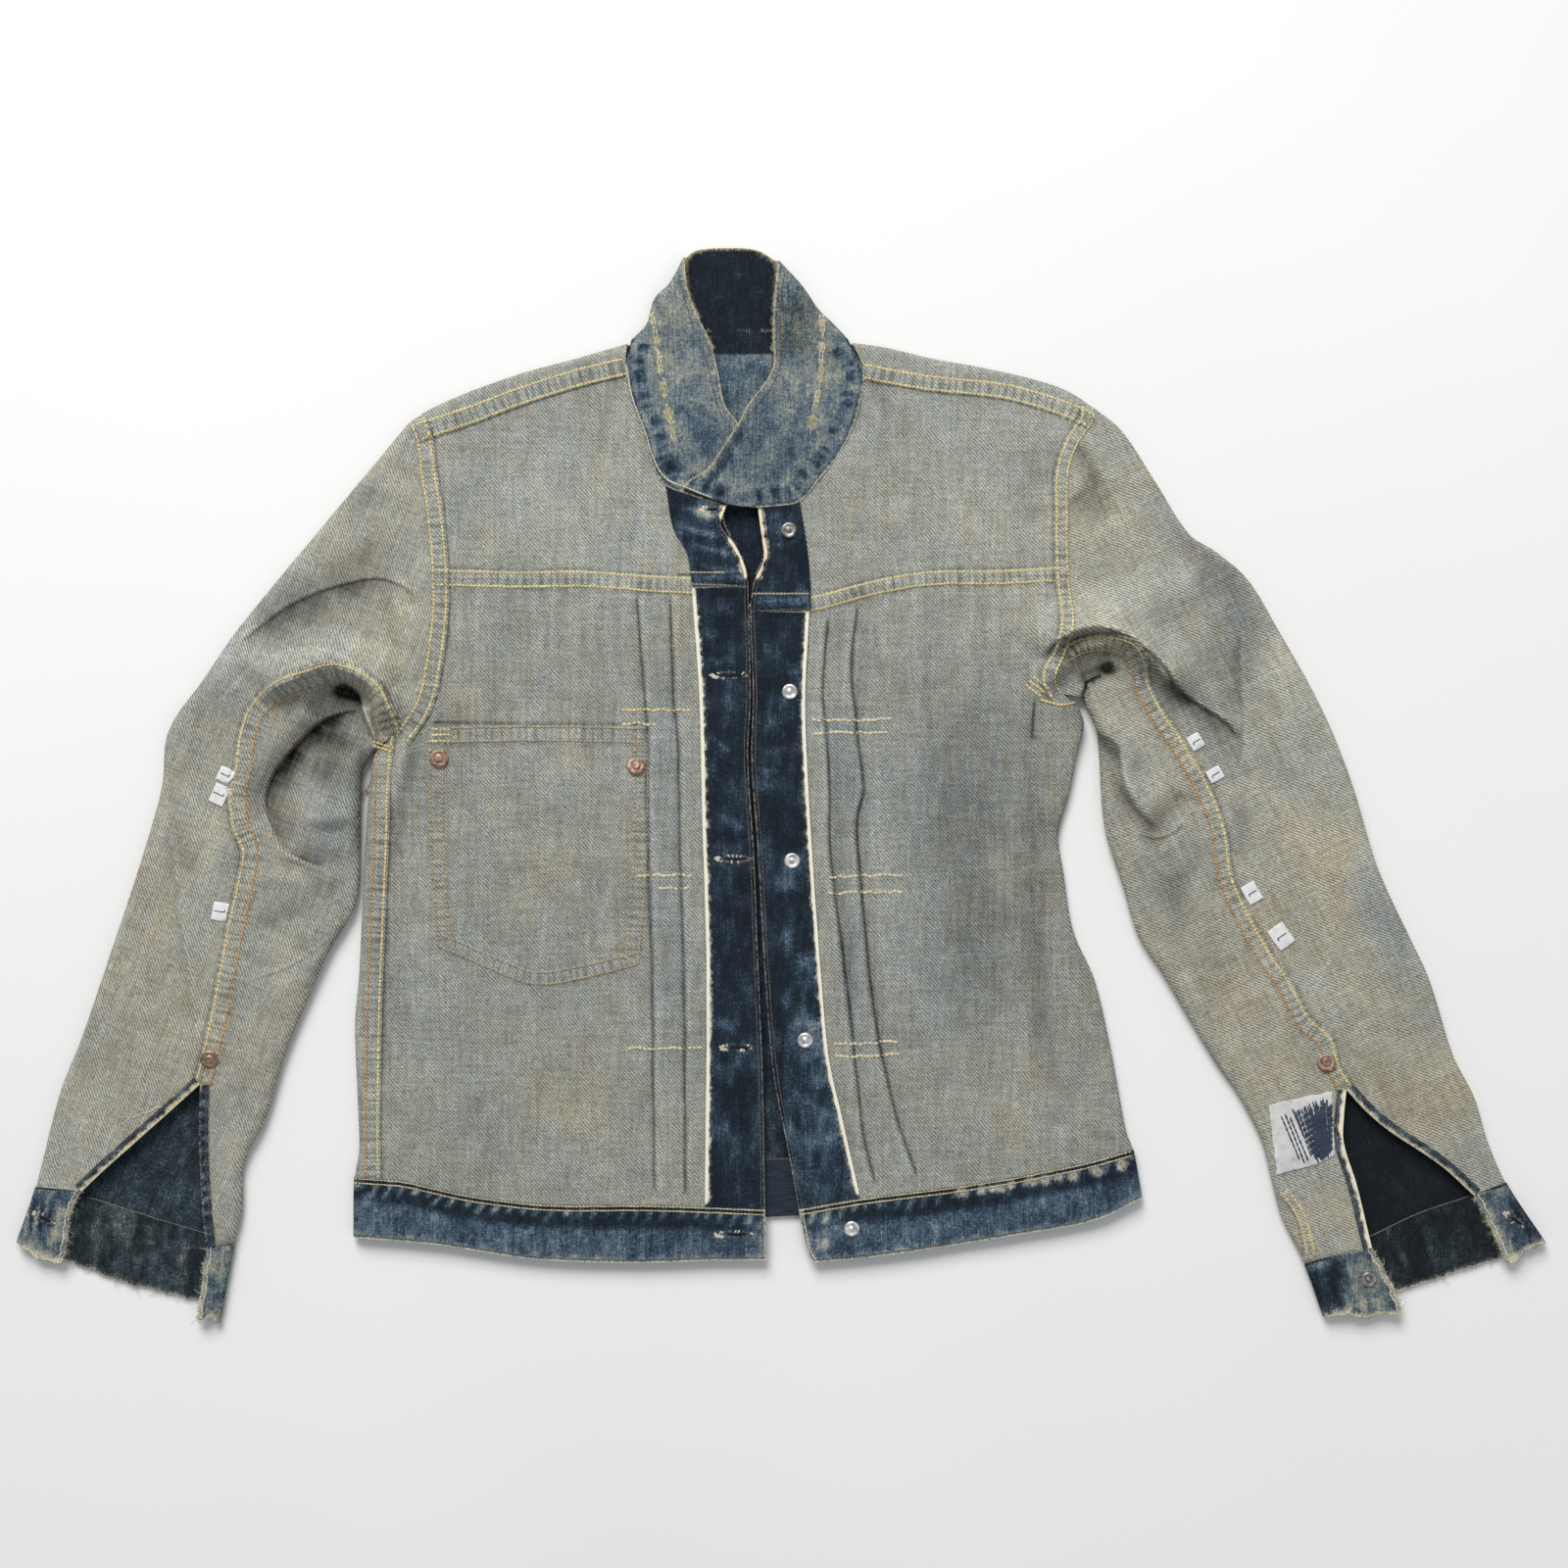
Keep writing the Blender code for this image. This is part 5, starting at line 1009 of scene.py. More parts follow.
def triangulated(points, count):
    """Triangles over the points, inside the ring of the first ones, with twice their signed areas."""
    ring = list(range(count))
    edges = list(zip(ring, ring[1:] + ring[:1]))
    found = delaunay_2d_cdt([Vector(p) for p in points.tolist()], edges, [ring], 1, SAME_POINT)
    xy = np.array([v[:] for v in found[0]])
    source = np.array([origin[0] if origin else -1 for origin in found[3]])
    corners = np.array([tuple(face) for face in found[2]])
    a, b, c = xy[corners[:, 0]], xy[corners[:, 1]], xy[corners[:, 2]]
    area = (b - a)[:, 0] * (c - a)[:, 1] - (b - a)[:, 1] * (c - a)[:, 0]
    return xy, corners, area, source


def layer_mesh(layer):
    """Wall middle, triangles and fold flags of one layer of a piece."""
    rough, folded = closed_outline(layer.stretches)
    outline, on_fold = stand_back(rough, folded)
    count = len(outline)
    loop = np.concatenate([outline, outline[:1]])

    def clear(points, margin):
        low, high = outline.min(0), outline.max(0)
        points = points[((points > low) & (points < high)).all(1)]
        if len(points):
            points = points[inside(outline, points)]
        return points[nearest(loop, points)[0] > margin] if len(points) else points

    points = outline
    if folded.any():
        points = thin_out(points, clear(fold_rows(outline, folded, layer), 0.12), 0.1)
    if layer.upper and layer.shaped:
        if not SEAM_POINTS:
            SEAM_POINTS.extend(seam_points())
        for row in SEAM_POINTS:
            points = thin_out(points, clear(row, 0.3), ROW_APART)
    fine = clear(grid(outline, layer.step), layer.step * GRID_APART)
    points = thin_out(points, fine, layer.step * GRID_APART)
    xy, corners, area, source = triangulated(points, count)
    flags = np.zeros(len(xy), bool)
    ringed = (source >= 0) & (source < count)
    flags[ringed] = on_fold[source[ringed]]
    whole = np.abs(area) > NO_AREA
    corners, area = corners[whole], area[whole]
    wrong = (area < 0) == layer.upper
    corners[wrong] = corners[wrong][:, ::-1]
    middle = np.concatenate([xy, wall_height(xy, layer)[:, None]], 1)
    return middle, corners, flags


def join_layers(layers):
    """Joins the layers of a piece along the folds that they share."""
    points, triangles, flags = layer_mesh(layers[0])
    upper = np.full(len(points), layers[0].upper)
    for layer in layers[1:]:
        more_points, more_triangles, more_flags = layer_mesh(layer)
        index = np.arange(len(more_points)) + len(points)
        folds = np.where(flags)[0]
        for k in np.where(more_flags)[0]:
            gap = np.hypot(*(points[folds, :2] - more_points[k, :2]).T)
            if len(gap) and gap.min() < WELD:
                index[k] = folds[gap.argmin()]
        fresh = index >= len(points)
        renumber = np.cumsum(fresh) - 1 + len(points)
        index = np.where(fresh, renumber, index)
        points = np.concatenate([points, more_points[fresh]])
        upper = np.concatenate([upper, np.full(fresh.sum(), layer.upper)])
        flags = np.concatenate([flags, more_flags[fresh]])
        triangles = np.concatenate([triangles, index[more_triangles]])
    keep = (triangles[:, 0] != triangles[:, 1]) & (triangles[:, 1] != triangles[:, 2])
    keep &= triangles[:, 0] != triangles[:, 2]
    return points, triangles[keep], upper


def point_normals(points, triangles):
    a, b, c = (points[triangles[:, k]] for k in range(3))
    flat = np.cross(b - a, c - a)
    flat /= np.maximum(np.linalg.norm(flat, axis=1), 1e-12)[:, None]
    total = np.zeros_like(points)
    for k in range(3):
        before, here, after = (points[triangles[:, (k + j) % 3]] for j in (2, 0, 1))
        one, two = before - here, after - here
        angle = (one * two).sum(1) / np.maximum(
            np.linalg.norm(one, axis=1) * np.linalg.norm(two, axis=1), 1e-12
        )
        np.add.at(total, triangles[:, k], flat * np.arccos(np.clip(angle, -1, 1))[:, None])
    return total / np.maximum(np.linalg.norm(total, axis=1), 1e-12)[:, None]


def open_edges(triangles):
    """Edges that only one triangle has, in its own order."""
    pairs = np.concatenate([triangles[:, [0, 1]], triangles[:, [1, 2]], triangles[:, [2, 0]]])
    key = np.sort(pairs, axis=1)
    key = key[:, 0].astype(np.int64) * MOST_POINTS + key[:, 1]
    _, first, count = np.unique(key, return_index=True, return_counts=True)
    return pairs[first[count == 1]]


def build_mesh(name, points, triangles, materials, slots=None, values=None):
    """A mesh object of triangles in frame metres, with its materials and its named values."""
    mesh = bpy.data.meshes.new(name)
    mesh.vertices.add(len(points))
    mesh.vertices.foreach_set("co", ((points + SHIFT) * MM).astype(np.float32).ravel())
    mesh.loops.add(len(triangles) * 3)
    mesh.loops.foreach_set("vertex_index", triangles.astype(np.int32).ravel())
    mesh.polygons.add(len(triangles))
    mesh.polygons.foreach_set("loop_start", np.arange(0, len(triangles) * 3, 3, dtype=np.int32))
    mesh.polygons.foreach_set("use_smooth", np.ones(len(triangles), bool))
    for made in materials:
        mesh.materials.append(made)
    if slots is not None:
        mesh.polygons.foreach_set("material_index", slots.astype(np.int32))
    mesh.update(calc_edges=True)
    mesh.validate()
    for key, value in (values or {}).items():
        kind = "FLOAT" if value.ndim == 1 else "FLOAT_VECTOR"
        layer = mesh.attributes.new(key, kind, "POINT")
        field = "value" if value.ndim == 1 else "vector"
        layer.data.foreach_set(field, value.astype(np.float32).ravel())
    piece = bpy.data.objects.new(name, mesh)
    bpy.context.scene.collection.objects.link(piece)
    return piece


def closed_wall(triangles, count):
    """Faces of a wall from one side of it: that side, the other side and the strip along its rim."""
    a, b = open_edges(triangles).T
    rim = np.concatenate([np.stack([b, a, a + count], 1), np.stack([b, a + count, b + count], 1)])
    parts = [triangles, triangles[:, ::-1] + count, rim]
    return np.concatenate(parts), np.repeat([0, 1, 2], [len(part) for part in parts])


def cloth_piece(name, nodes, layers, materials, painter):
    """A closed wall of cloth in place of its plain solids."""
    middle, triangles, upper = join_layers(layers)
    normals = point_normals(middle, triangles)
    half = layers[0].wall / 2
    points = np.concatenate([middle + normals * half, middle - normals * half])
    faces, slots = closed_wall(triangles, len(middle))
    values = painter(middle, upper)
    values = {key: np.concatenate([value, value]) for key, value in values.items()}
    piece = build_mesh(name, points, faces, materials, slots, values)
    piece.data.set_sharp_from_angle(angle=SHARP_CLOTH)
    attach(piece, "root")
    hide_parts(*nodes)


# Finishes


def new_material(name):
    made = bpy.data.materials.new(name)
    made.use_nodes = True
    return made, made.node_tree, made.node_tree.nodes["Principled BSDF"]


def link(tree, value, socket):
    """Joins a socket to an input, or sets the input to a number or a colour."""
    if isinstance(value, bpy.types.NodeSocket):
        tree.links.new(value, socket)
    elif isinstance(value, tuple) and len(value) == 3 and socket.type == "RGBA":
        socket.default_value = (*value, 1.0)
    else:
        socket.default_value = value


def calc(tree, operation, a, b=0.0, clamp=False):
    made = tree.nodes.new("ShaderNodeMath")
    made.operation = operation
    made.use_clamp = clamp
    link(tree, a, made.inputs[0])
    link(tree, b, made.inputs[1])
    return made.outputs[0]


def halfway(tree, value):
    """A wave from -1 to 1, brought to 0 to 1."""
    return calc(tree, "ADD", calc(tree, "MULTIPLY", value, 0.5), 0.5)


def mixed(tree, share, a, b, blend="MIX"):
    made = tree.nodes.new("ShaderNodeMix")
    made.data_type = "RGBA"
    made.blend_type = blend
    link(tree, share, made.inputs["Factor"])
    link(tree, a, made.inputs[6])
    link(tree, b, made.inputs[7])
    return made.outputs[2]


def ranged(tree, value, low, high, out_low=0.0, out_high=1.0):
    made = tree.nodes.new("ShaderNodeMapRange")
    for socket, number in zip(made.inputs[:5], (value, low, high, out_low, out_high)):
        link(tree, number, socket)
    return made.outputs[0]


def object_place(tree):
    return tree.nodes.new("ShaderNodeTexCoord").outputs["Object"]


def value_of(tree, name, vector=False):
    made = tree.nodes.new("ShaderNodeAttribute")
    made.attribute_name = name
    return made.outputs["Vector" if vector else "Fac"]


def scaled(tree, place, size):
    """The place in units of the given sizes in mm, along each of its ways."""
    made = tree.nodes.new("ShaderNodeVectorMath")
    made.operation = "MULTIPLY"
    link(tree, place, made.inputs[0])
    made.inputs[1].default_value = tuple(1 / s for s in size)
    return made.outputs[0]


def mottle(tree, place, size, detail=2.0, roughness=0.55):
    made = tree.nodes.new("ShaderNodeTexNoise")
    link(tree, scaled(tree, place, size), made.inputs["Vector"])
    made.inputs["Scale"].default_value = 1.0
    made.inputs["Detail"].default_value = detail
    made.inputs["Roughness"].default_value = roughness
    return made.outputs["Fac"]


def waves(tree, place, across, along, pitch, stray=0.0):
    """Diagonal ribs of the twill, from 0 to 1, at a pitch in mm."""
    parts = tree.nodes.new("ShaderNodeSeparateXYZ")
    link(tree, place, parts.inputs[0])
    turned = calc(
        tree,
        "ADD",
        calc(tree, "MULTIPLY", parts.outputs[0], across * 2 * math.pi / pitch),
        calc(tree, "MULTIPLY", parts.outputs[1], along * 2 * math.pi / pitch),
    )
    turned = calc(tree, "ADD", turned, stray)
    return halfway(tree, calc(tree, "SINE", turned))


def raised(tree, height, shader, strength, distance):
    made = tree.nodes.new("ShaderNodeBump")
    made.inputs["Strength"].default_value = strength
    made.inputs["Distance"].default_value = distance
    link(tree, height, made.inputs["Height"])
    link(tree, made.outputs[0], shader.inputs["Normal"])


TAN = (0.352, 0.292, 0.186)
STONE = (0.302, 0.303, 0.250)
BLUE_GREY = (0.196, 0.236, 0.262)
INDIGO_SHADOW = (0.046, 0.064, 0.082)
PALE_YARN = (0.600, 0.575, 0.455)
TWILL = 1.62  # mm from one diagonal rib to the next


def along_seam(tree):
    """Painted light and shade of a seam's puckers, from -1 to 1, and how much of the seam is felt there."""
    parts = tree.nodes.new("ShaderNodeSeparateXYZ")
    link(tree, value_of(tree, "seam", vector=True), parts.inputs[0])
    along, _, felt = parts.outputs
    place = tree.nodes.new("ShaderNodeCombineXYZ")
    link(tree, along, place.inputs[0])
    stray = mottle(tree, place.outputs[0], (11.0, 11.0, 1.0), 2.0, 0.6)
    turned = calc(tree, "MULTIPLY", along, 2 * math.pi / PUCKER)
    phase = calc(tree, "ADD", turned, calc(tree, "MULTIPLY", stray, 16.0))
    return calc(tree, "SINE", phase), felt


def swayed(tree, *parts):
    """Sum of noises about their middle, each a socket and how strongly it counts."""
    total = 0.0
    for value, strength in parts:
        own = calc(tree, "MULTIPLY", calc(tree, "SUBTRACT", value, 0.5), strength)
        total = calc(tree, "ADD", own, total)
    return total


def wrong_side_denim(name):
    """Greyed twill: pale slubby weft over faint indigo, tan with dirt, lighter and darker by painted light
    and shade of its folds, seams and puckers.
    """
    made, tree, shader = new_material(name)
    weave = value_of(tree, "weave", vector=True)
    warm = value_of(tree, "warm")
    blue = value_of(tree, "blue")
    shade_and_tone = value_of(tree, "shade_and_tone")
    pucker, seam = along_seam(tree)
    wander = mottle(tree, weave, (9.0, 9.0, 1.0))
    yarn = mottle(tree, weave, (0.7, 4.5, 1.0), 2.0, 0.6)
    slub = mottle(tree, weave, (5.0, 0.8, 1.0), 2.0, 0.6)
    speck = mottle(tree, weave, (1.2, 1.4, 1.0), 2.0, 0.65)
    fine = mottle(tree, weave, (2.2, 26.0, 1.0), 3.0, 0.6)
    weft = mottle(tree, weave, (30.0, 2.0, 1.0), 3.0, 0.6)
    streak = mottle(tree, weave, (7.0, 60.0, 1.0), 2.0, 0.55)
    cloud = mottle(tree, weave, (13.0, 11.0, 1.0), 3.0, 0.6)
    soil = mottle(tree, weave, (34.0, 46.0, 1.0), 3.0, 0.6)
    ribs = waves(tree, weave, 0.74, 0.67, TWILL, swayed(tree, (wander, 8.0), (speck, 3.6)))
    dirty = calc(tree, "ADD", warm, swayed(tree, (soil, 1.6), (cloud, 0.5), (weft, 0.4)))
    base = mixed(tree, calc(tree, "ADD", dirty, 0.0, True), STONE, TAN)
    bluer = calc(tree, "ADD", blue, swayed(tree, (streak, 0.9), (cloud, 0.9), (weft, 0.3)))
    base = mixed(tree, calc(tree, "ADD", bluer, 0.0, True), base, BLUE_GREY)
    thin = swayed(tree, (ribs, 0.50), (yarn, 0.55), (slub, 0.60), (speck, 0.85), (fine, 0.30), (weft, 0.25))
    base = mixed(tree, ranged(tree, thin, 0.0, -0.42, 0.0, 0.76), base, INDIGO_SHADOW)
    base = mixed(tree, ranged(tree, thin, 0.0, 0.42, 0.0, 0.74), base, PALE_YARN)
    # painted light on the crests of the seams' puckers and painted shade in their hollows
    hollow = calc(tree, "POWER", halfway(tree, pucker), 2.2)
    crest = calc(tree, "SUBTRACT", 0.34, hollow)
    crest = calc(tree, "MULTIPLY", crest, calc(tree, "MULTIPLY", seam, 0.44))
    uneven = swayed(tree, (cloud, 0.55), (soil, 0.45), (streak, 0.4), (fine, 0.35), (weft, 0.35))
    # light: the painted shade and light of folds, seams and puckers, with the cloth's random unevenness,
    # multiplies the colour
    light = calc(tree, "ADD", calc(tree, "ADD", calc(tree, "ADD", shade_and_tone, uneven), crest), 1.0)
    grey = tree.nodes.new("ShaderNodeCombineColor")
    for socket in grey.inputs:
        link(tree, light, socket)
    base = mixed(tree, 1.0, base, grey.outputs[0], "MULTIPLY")
    link(tree, base, shader.inputs["Base Color"])
    link(tree, ranged(tree, yarn, 0.3, 0.7, 0.86, 0.98), shader.inputs["Roughness"])
    shader.inputs["Specular IOR Level"].default_value = 0.2
    shader.inputs["Sheen Weight"].default_value = 0.05
    shader.inputs["Sheen Roughness"].default_value = 0.6
    raised(tree, thin, shader, 0.55, 0.0006)
    return made


FADES = (
    (0.0, (0.0050, 0.0090, 0.0155)),
    (0.30, (0.0170, 0.0310, 0.0490)),
    (0.55, (0.064, 0.106, 0.160)),
    (0.80, (0.232, 0.258, 0.240)),
    (1.0, (0.420, 0.420, 0.355)),
)
CREAM = (0.780, 0.745, 0.620)
SOIL = (0.92, 0.78, 0.52)


def right_side_denim(name, across=0.80, along=-0.60):
    """Indigo twill, paler where it has rubbed."""
    made, tree, shader = new_material(name)
    weave = value_of(tree, "weave", vector=True)
    fade = value_of(tree, "fade")
    pale = value_of(tree, "pale")
    stray = calc(tree, "MULTIPLY", mottle(tree, weave, (6.0, 6.0, 1.0)), 4.0)
    ribs = waves(tree, weave, across, along, 1.35, stray)
    yarn = mottle(tree, weave, (0.6, 2.6, 1.0), 2.0, 0.65)
    slub = mottle(tree, weave, (6.0, 0.7, 1.0), 2.0, 0.6)
    streak = mottle(tree, weave, (1.4, 18.0, 1.0), 3.0, 0.65)
    speck = mottle(tree, weave, (1.5, 1.8, 1.0), 3.0, 0.7)
    cloud = mottle(tree, weave, (6.0, 8.0, 1.0), 3.0, 0.6)
    patch = mottle(tree, weave, (16.0, 20.0, 1.0), 2.0, 0.6)
    small = ((yarn, 0.7), (slub, 0.5), (streak, 0.6), (ribs, 0.18), (speck, 0.75))
    worn = swayed(tree, *small, (cloud, 0.5), (patch, 0.35))
    worn = calc(tree, "ADD", fade, worn)
    ramp = tree.nodes.new("ShaderNodeValToRGB")
    for k, (place, colour) in enumerate(FADES):
        stop = ramp.color_ramp.elements[k] if k < 2 else ramp.color_ramp.elements.new(place)
        stop.position = place
        stop.color = (*colour, 1.0)
    link(tree, worn, ramp.inputs[0])
    broken = ranged(tree, yarn, 0.30, 0.60, 0.85, 0.0)
    thread = calc(tree, "SUBTRACT", calc(tree, "MULTIPLY", pale, 1.75), broken, True)
    thread = calc(tree, "MULTIPLY", thread, ranged(tree, pale, 0.0, 0.9, 0.25, 1.0))
    base = mixed(tree, thread, ramp.outputs[0], CREAM)
    base = mixed(tree, value_of(tree, "soil"), base, SOIL, "MULTIPLY")
    link(tree, base, shader.inputs["Base Color"])
    link(tree, ranged(tree, yarn, 0.3, 0.7, 0.80, 0.95), shader.inputs["Roughness"])
    shader.inputs["Specular IOR Level"].default_value = 0.18
    shader.inputs["Sheen Weight"].default_value = 0.03
    height = swayed(tree, (ribs, 0.4), (yarn, 1.0), (speck, 1.0))
    height = calc(tree, "MULTIPLY", height, ranged(tree, thread, 0.0, 1.0, 1.0, 0.2))
    raised(tree, height, shader, 0.6, 0.0005)
    return made


def inner_denim(name, colour, paler):
    """The side of the cloth that faces into the jacket, and its cut edges."""
    made, tree, shader = new_material(name)
    weave = value_of(tree, "weave", vector=True)
    yarn = mottle(tree, weave, (0.5, 2.4, 1.0), 2.0, 0.6)
    streak = mottle(tree, weave, (14.0, 1.0, 1.0), 2.0, 0.6)
    share = calc(tree, "ADD", calc(tree, "MULTIPLY", yarn, 0.6), calc(tree, "MULTIPLY", streak, 0.5))
    link(tree, mixed(tree, ranged(tree, share, 0.4, 0.75), colour, paler), shader.inputs["Base Color"])
    shader.inputs["Roughness"].default_value = 0.92
    shader.inputs["Specular IOR Level"].default_value = 0.2
    raised(tree, yarn, shader, 0.7, 0.0004)
    return made


def spun(name, colour, dark, size=0.9):
    """Sewing thread and fray, darker in its twists."""
    made, tree, shader = new_material(name)
    place = object_place(tree)
    twist = mottle(tree, place, (size * MM, size * MM, size * MM), 2.0, 0.6)
    wide = mottle(tree, place, (9 * MM, 9 * MM, 9 * MM), 1.0, 0.5)
    share = calc(tree, "ADD", calc(tree, "MULTIPLY", twist, 0.6), calc(tree, "MULTIPLY", wide, 0.5))
    link(tree, mixed(tree, ranged(tree, share, 0.38, 0.70), dark, colour), shader.inputs["Base Color"])
    shader.inputs["Roughness"].default_value = 0.75
    shader.inputs["Specular IOR Level"].default_value = 0.35
    raised(tree, twist, shader, 0.6, 0.0002)
    return made


def cotton(name, colour, dark, size):
    """Plain weave cotton of the patch and the tabs."""
    made, tree, shader = new_material(name)
    place = object_place(tree)
    parts = tree.nodes.new("ShaderNodeSeparateXYZ")
    link(tree, place, parts.inputs[0])
    turn = 2 * math.pi / (size * MM)
    rows = calc(tree, "SINE", calc(tree, "MULTIPLY", parts.outputs[0], turn))
    columns = calc(tree, "SINE", calc(tree, "MULTIPLY", parts.outputs[1], turn))
    weave = halfway(tree, calc(tree, "MULTIPLY", rows, columns))
    soil = mottle(tree, place, (6 * MM, 6 * MM, 6 * MM), 3.0, 0.6)
    share = calc(tree, "ADD", calc(tree, "MULTIPLY", weave, 0.2), soil)
    link(tree, mixed(tree, ranged(tree, share, 0.35, 0.62), dark, colour), shader.inputs["Base Color"])
    shader.inputs["Roughness"].default_value = 0.9
    raised(tree, weave, shader, 0.5, 0.0002)
    return made


# Broad soft painted shadows of the laid form, and painted light where the amount is below nought: line,
# half width, how much darker
def worn_metal(name, colour, dark, roughness):
    made, tree, shader = new_material(name)
    place = object_place(tree)
    cloud = mottle(tree, place, (3.2 * MM, 3.2 * MM, 3.2 * MM), 3.0, 0.6)
    fine = mottle(tree, place, (0.5 * MM, 0.5 * MM, 0.5 * MM), 2.0, 0.6)
    share = calc(tree, "ADD", calc(tree, "MULTIPLY", cloud, 0.8), calc(tree, "MULTIPLY", fine, 0.3))
    link(tree, mixed(tree, ranged(tree, share, 0.44, 0.66), dark, colour), shader.inputs["Base Color"])
    rough = ranged(tree, cloud, 0.3, 0.7, roughness + 0.18, roughness - 0.06)
    link(tree, rough, shader.inputs["Roughness"])
    shader.inputs["Metallic"].default_value = 0.7
    raised(tree, fine, shader, 0.35, 0.0002)
    return made

# What the cloth shows in colour and in painted light and shade: soft strokes, each a line and its half
# width.
# warm turns it tan, blue turns it blue-grey, and the kind that darkens or lightens it is painted shade
# where marked below.
STROKES = [
    # yokes: greenish grey, paler across the left shoulder
    ("shade_and_tone", plan((480, 500), (600, 540), (680, 560)), 50, 0.10),
    ("shade_and_tone", plan((440, 450), (540, 410), (640, 370)), 24, -0.10),
    ("shade_and_tone", plan((950, 520), (1040, 500)), 40, 0.05),
    ("warm", plan((600, 470), (640, 560)), 22, 0.20),
    ("warm", plan((900, 450), (930, 560)), 26, 0.20),
    # fronts
    ("shade_and_tone", plan((960, 640), (990, 860), (1000, 1120)), 36, -0.24),
    ("blue", plan((960, 640), (990, 860), (1000, 1120)), 40, 0.20),
    # painted shade: the next three strokes darken the trough down the right front, the right front's folded
    # side and the left side seam's free edge
    ("shade_and_tone", plan((1052, 660), (1056, 900), (1066, 1160)), 10, -0.22),
    ("shade_and_tone", plan((1094, 740), (1078, 860), (1120, 1060)), 8, -0.16),
    ("shade_and_tone", plan((400, 780), (392, 900), (388, 1150)), 5, -0.20),
    ("blue", plan((900, 700), (920, 900), (950, 1100)), 34, 0.25),
    ("warm", plan((1010, 800), (1030, 960)), 30, 0.18),
    ("shade_and_tone", plan((425, 860), (430, 1000), (428, 1150)), 14, 0.10),
    ("blue", plan((470, 660), (600, 660)), 22, 0.20),
    ("warm", plan((540, 800), (560, 960)), 40, 0.14),
    ("warm", plan((500, 1120), (640, 1150)), 36, 0.18),
    ("shade_and_tone", plan((600, 860), (620, 960)), 24, -0.08),
    ("blue", plan((676, 650), (680, 900), (690, 1150)), 14, 0.35),
    ("shade_and_tone", plan((860, 640), (862, 900), (890, 1150)), 9, -0.16),
    ("blue", plan((860, 640), (862, 900), (890, 1150)), 12, 0.30),
    ("shade_and_tone", plan((553, 806), (556, 812)), 6, 0.18),
    ("warm", plan((1090, 1000), (1120, 1130)), 20, 0.25),
    # left sleeve: tan along its outer side and towards the cuff
    ("warm", plan((185, 800), (150, 930), (110, 1060), (60, 1190)), 26, 0.55),
    ("warm", plan((250, 1000), (200, 1100), (150, 1200)), 34, 0.55),
    ("warm", plan((300, 980), (280, 1080), (255, 1180)), 20, 0.40),
    ("blue", plan((300, 520), (250, 640), (200, 740)), 30, 0.30),
    ("blue", plan((330, 780), (345, 850), (340, 900)), 20, 0.35),
    # painted shade: the next six strokes darken the valley, the armpit hollow and its hole, the fold beside
    # the armpit, the gap to the body and the crease below
    ("shade_and_tone", plan((236, 670), (262, 650), (330, 610), (420, 596)), 18, -0.34),
    ("shade_and_tone", plan((372, 715), (340, 738), (300, 768), (270, 830)), 14, -0.52),
    ("shade_and_tone", plan((334, 704), (350, 706), (372, 712)), 6, -0.75),
    ("shade_and_tone", plan((404, 660), (398, 700), (392, 750)), 7, -0.35),
    ("shade_and_tone", plan((374, 740), (368, 800), (366, 900)), 5, -0.50),
    ("shade_and_tone", plan((300, 880), (330, 900), (366, 896)), 6, -0.22),
    ("shade_and_tone", plan((225, 730), (214, 800), (222, 900)), 12, 0.08),
    ("shade_and_tone", plan((100, 1090), (70, 1190)), 22, 0.10),
    # right sleeve: blue-grey shoulder, tan from the elbow down
    ("blue", plan((1150, 480), (1230, 600), (1300, 700)), 34, 0.25),
    ("warm", plan((1330, 790), (1350, 880), (1390, 980)), 30, 0.70),
    ("warm", plan((1300, 900), (1340, 1000)), 20, 0.55),
    ("blue", plan((1380, 850), (1420, 960), (1440, 1000)), 16, 0.45),
    ("warm", plan((1400, 1060), (1450, 1110), (1490, 1180)), 26, 0.85),
    ("warm", plan((1440, 1040), (1490, 1110)), 16, 0.60),
    ("warm", plan((1230, 960), (1290, 1060), (1340, 1150)), 26, 0.60),
    ("shade_and_tone", plan((1180, 860), (1220, 960), (1260, 1040)), 16, -0.14),
    # painted shade: the next eight strokes darken the valley, under the armpit fold, the hole, beside the
    # tongue fold, a trough by the armhole, under the lower fold edge and along the seam's outer side
    ("shade_and_tone", plan((1200, 560), (1255, 620), (1268, 700), (1268, 760)), 14, -0.20),
    ("shade_and_tone", plan((1068, 690), (1090, 668), (1120, 664), (1150, 676)), 5, -0.50),
    ("shade_and_tone", plan((1116, 682), (1128, 682), (1142, 684)), 4, -0.85),
    ("shade_and_tone", plan((1105, 712), (1126, 752), (1150, 790)), 8, -0.30),
    ("shade_and_tone", plan((1176, 690), (1200, 706), (1226, 720)), 5, -0.30),
    ("shade_and_tone", plan((1100, 440), (1112, 480), (1124, 530)), 7, -0.25),
    ("shade_and_tone", plan((1160, 846), (1186, 850), (1206, 836)), 6, -0.34),
    ("shade_and_tone", plan((1262, 811), (1266, 850), (1262, 880)), 7, -0.25),
    ("warm", plan((1330, 1210), (1350, 1260)), 16, 0.40),
]


def painted(xy, kind):
    total = np.zeros(len(xy))
    for name, line, width, amount in STROKES:
        if name == kind:
            total += amount * mark(xy, line, width * 0.8, width * 0.8, ends=0.3)
    return total


# Middle lines of the sleeves, which their weave follows
SLEEVE_GRAIN_LEFT = plan((385, 540), (125, 1200))
SLEEVE_GRAIN_RIGHT = plan((1130, 560), (1440, 1200))


def grain_of(xy, line):
    """Weave coordinates in mm: across the cloth and along it."""
    if line is None:
        return xy.copy()
    way = np.subtract(line[-1], line[0])
    way = way / np.hypot(*way)
    return np.stack([xy @ [-way[1], way[0]], -(xy @ way)], 1)


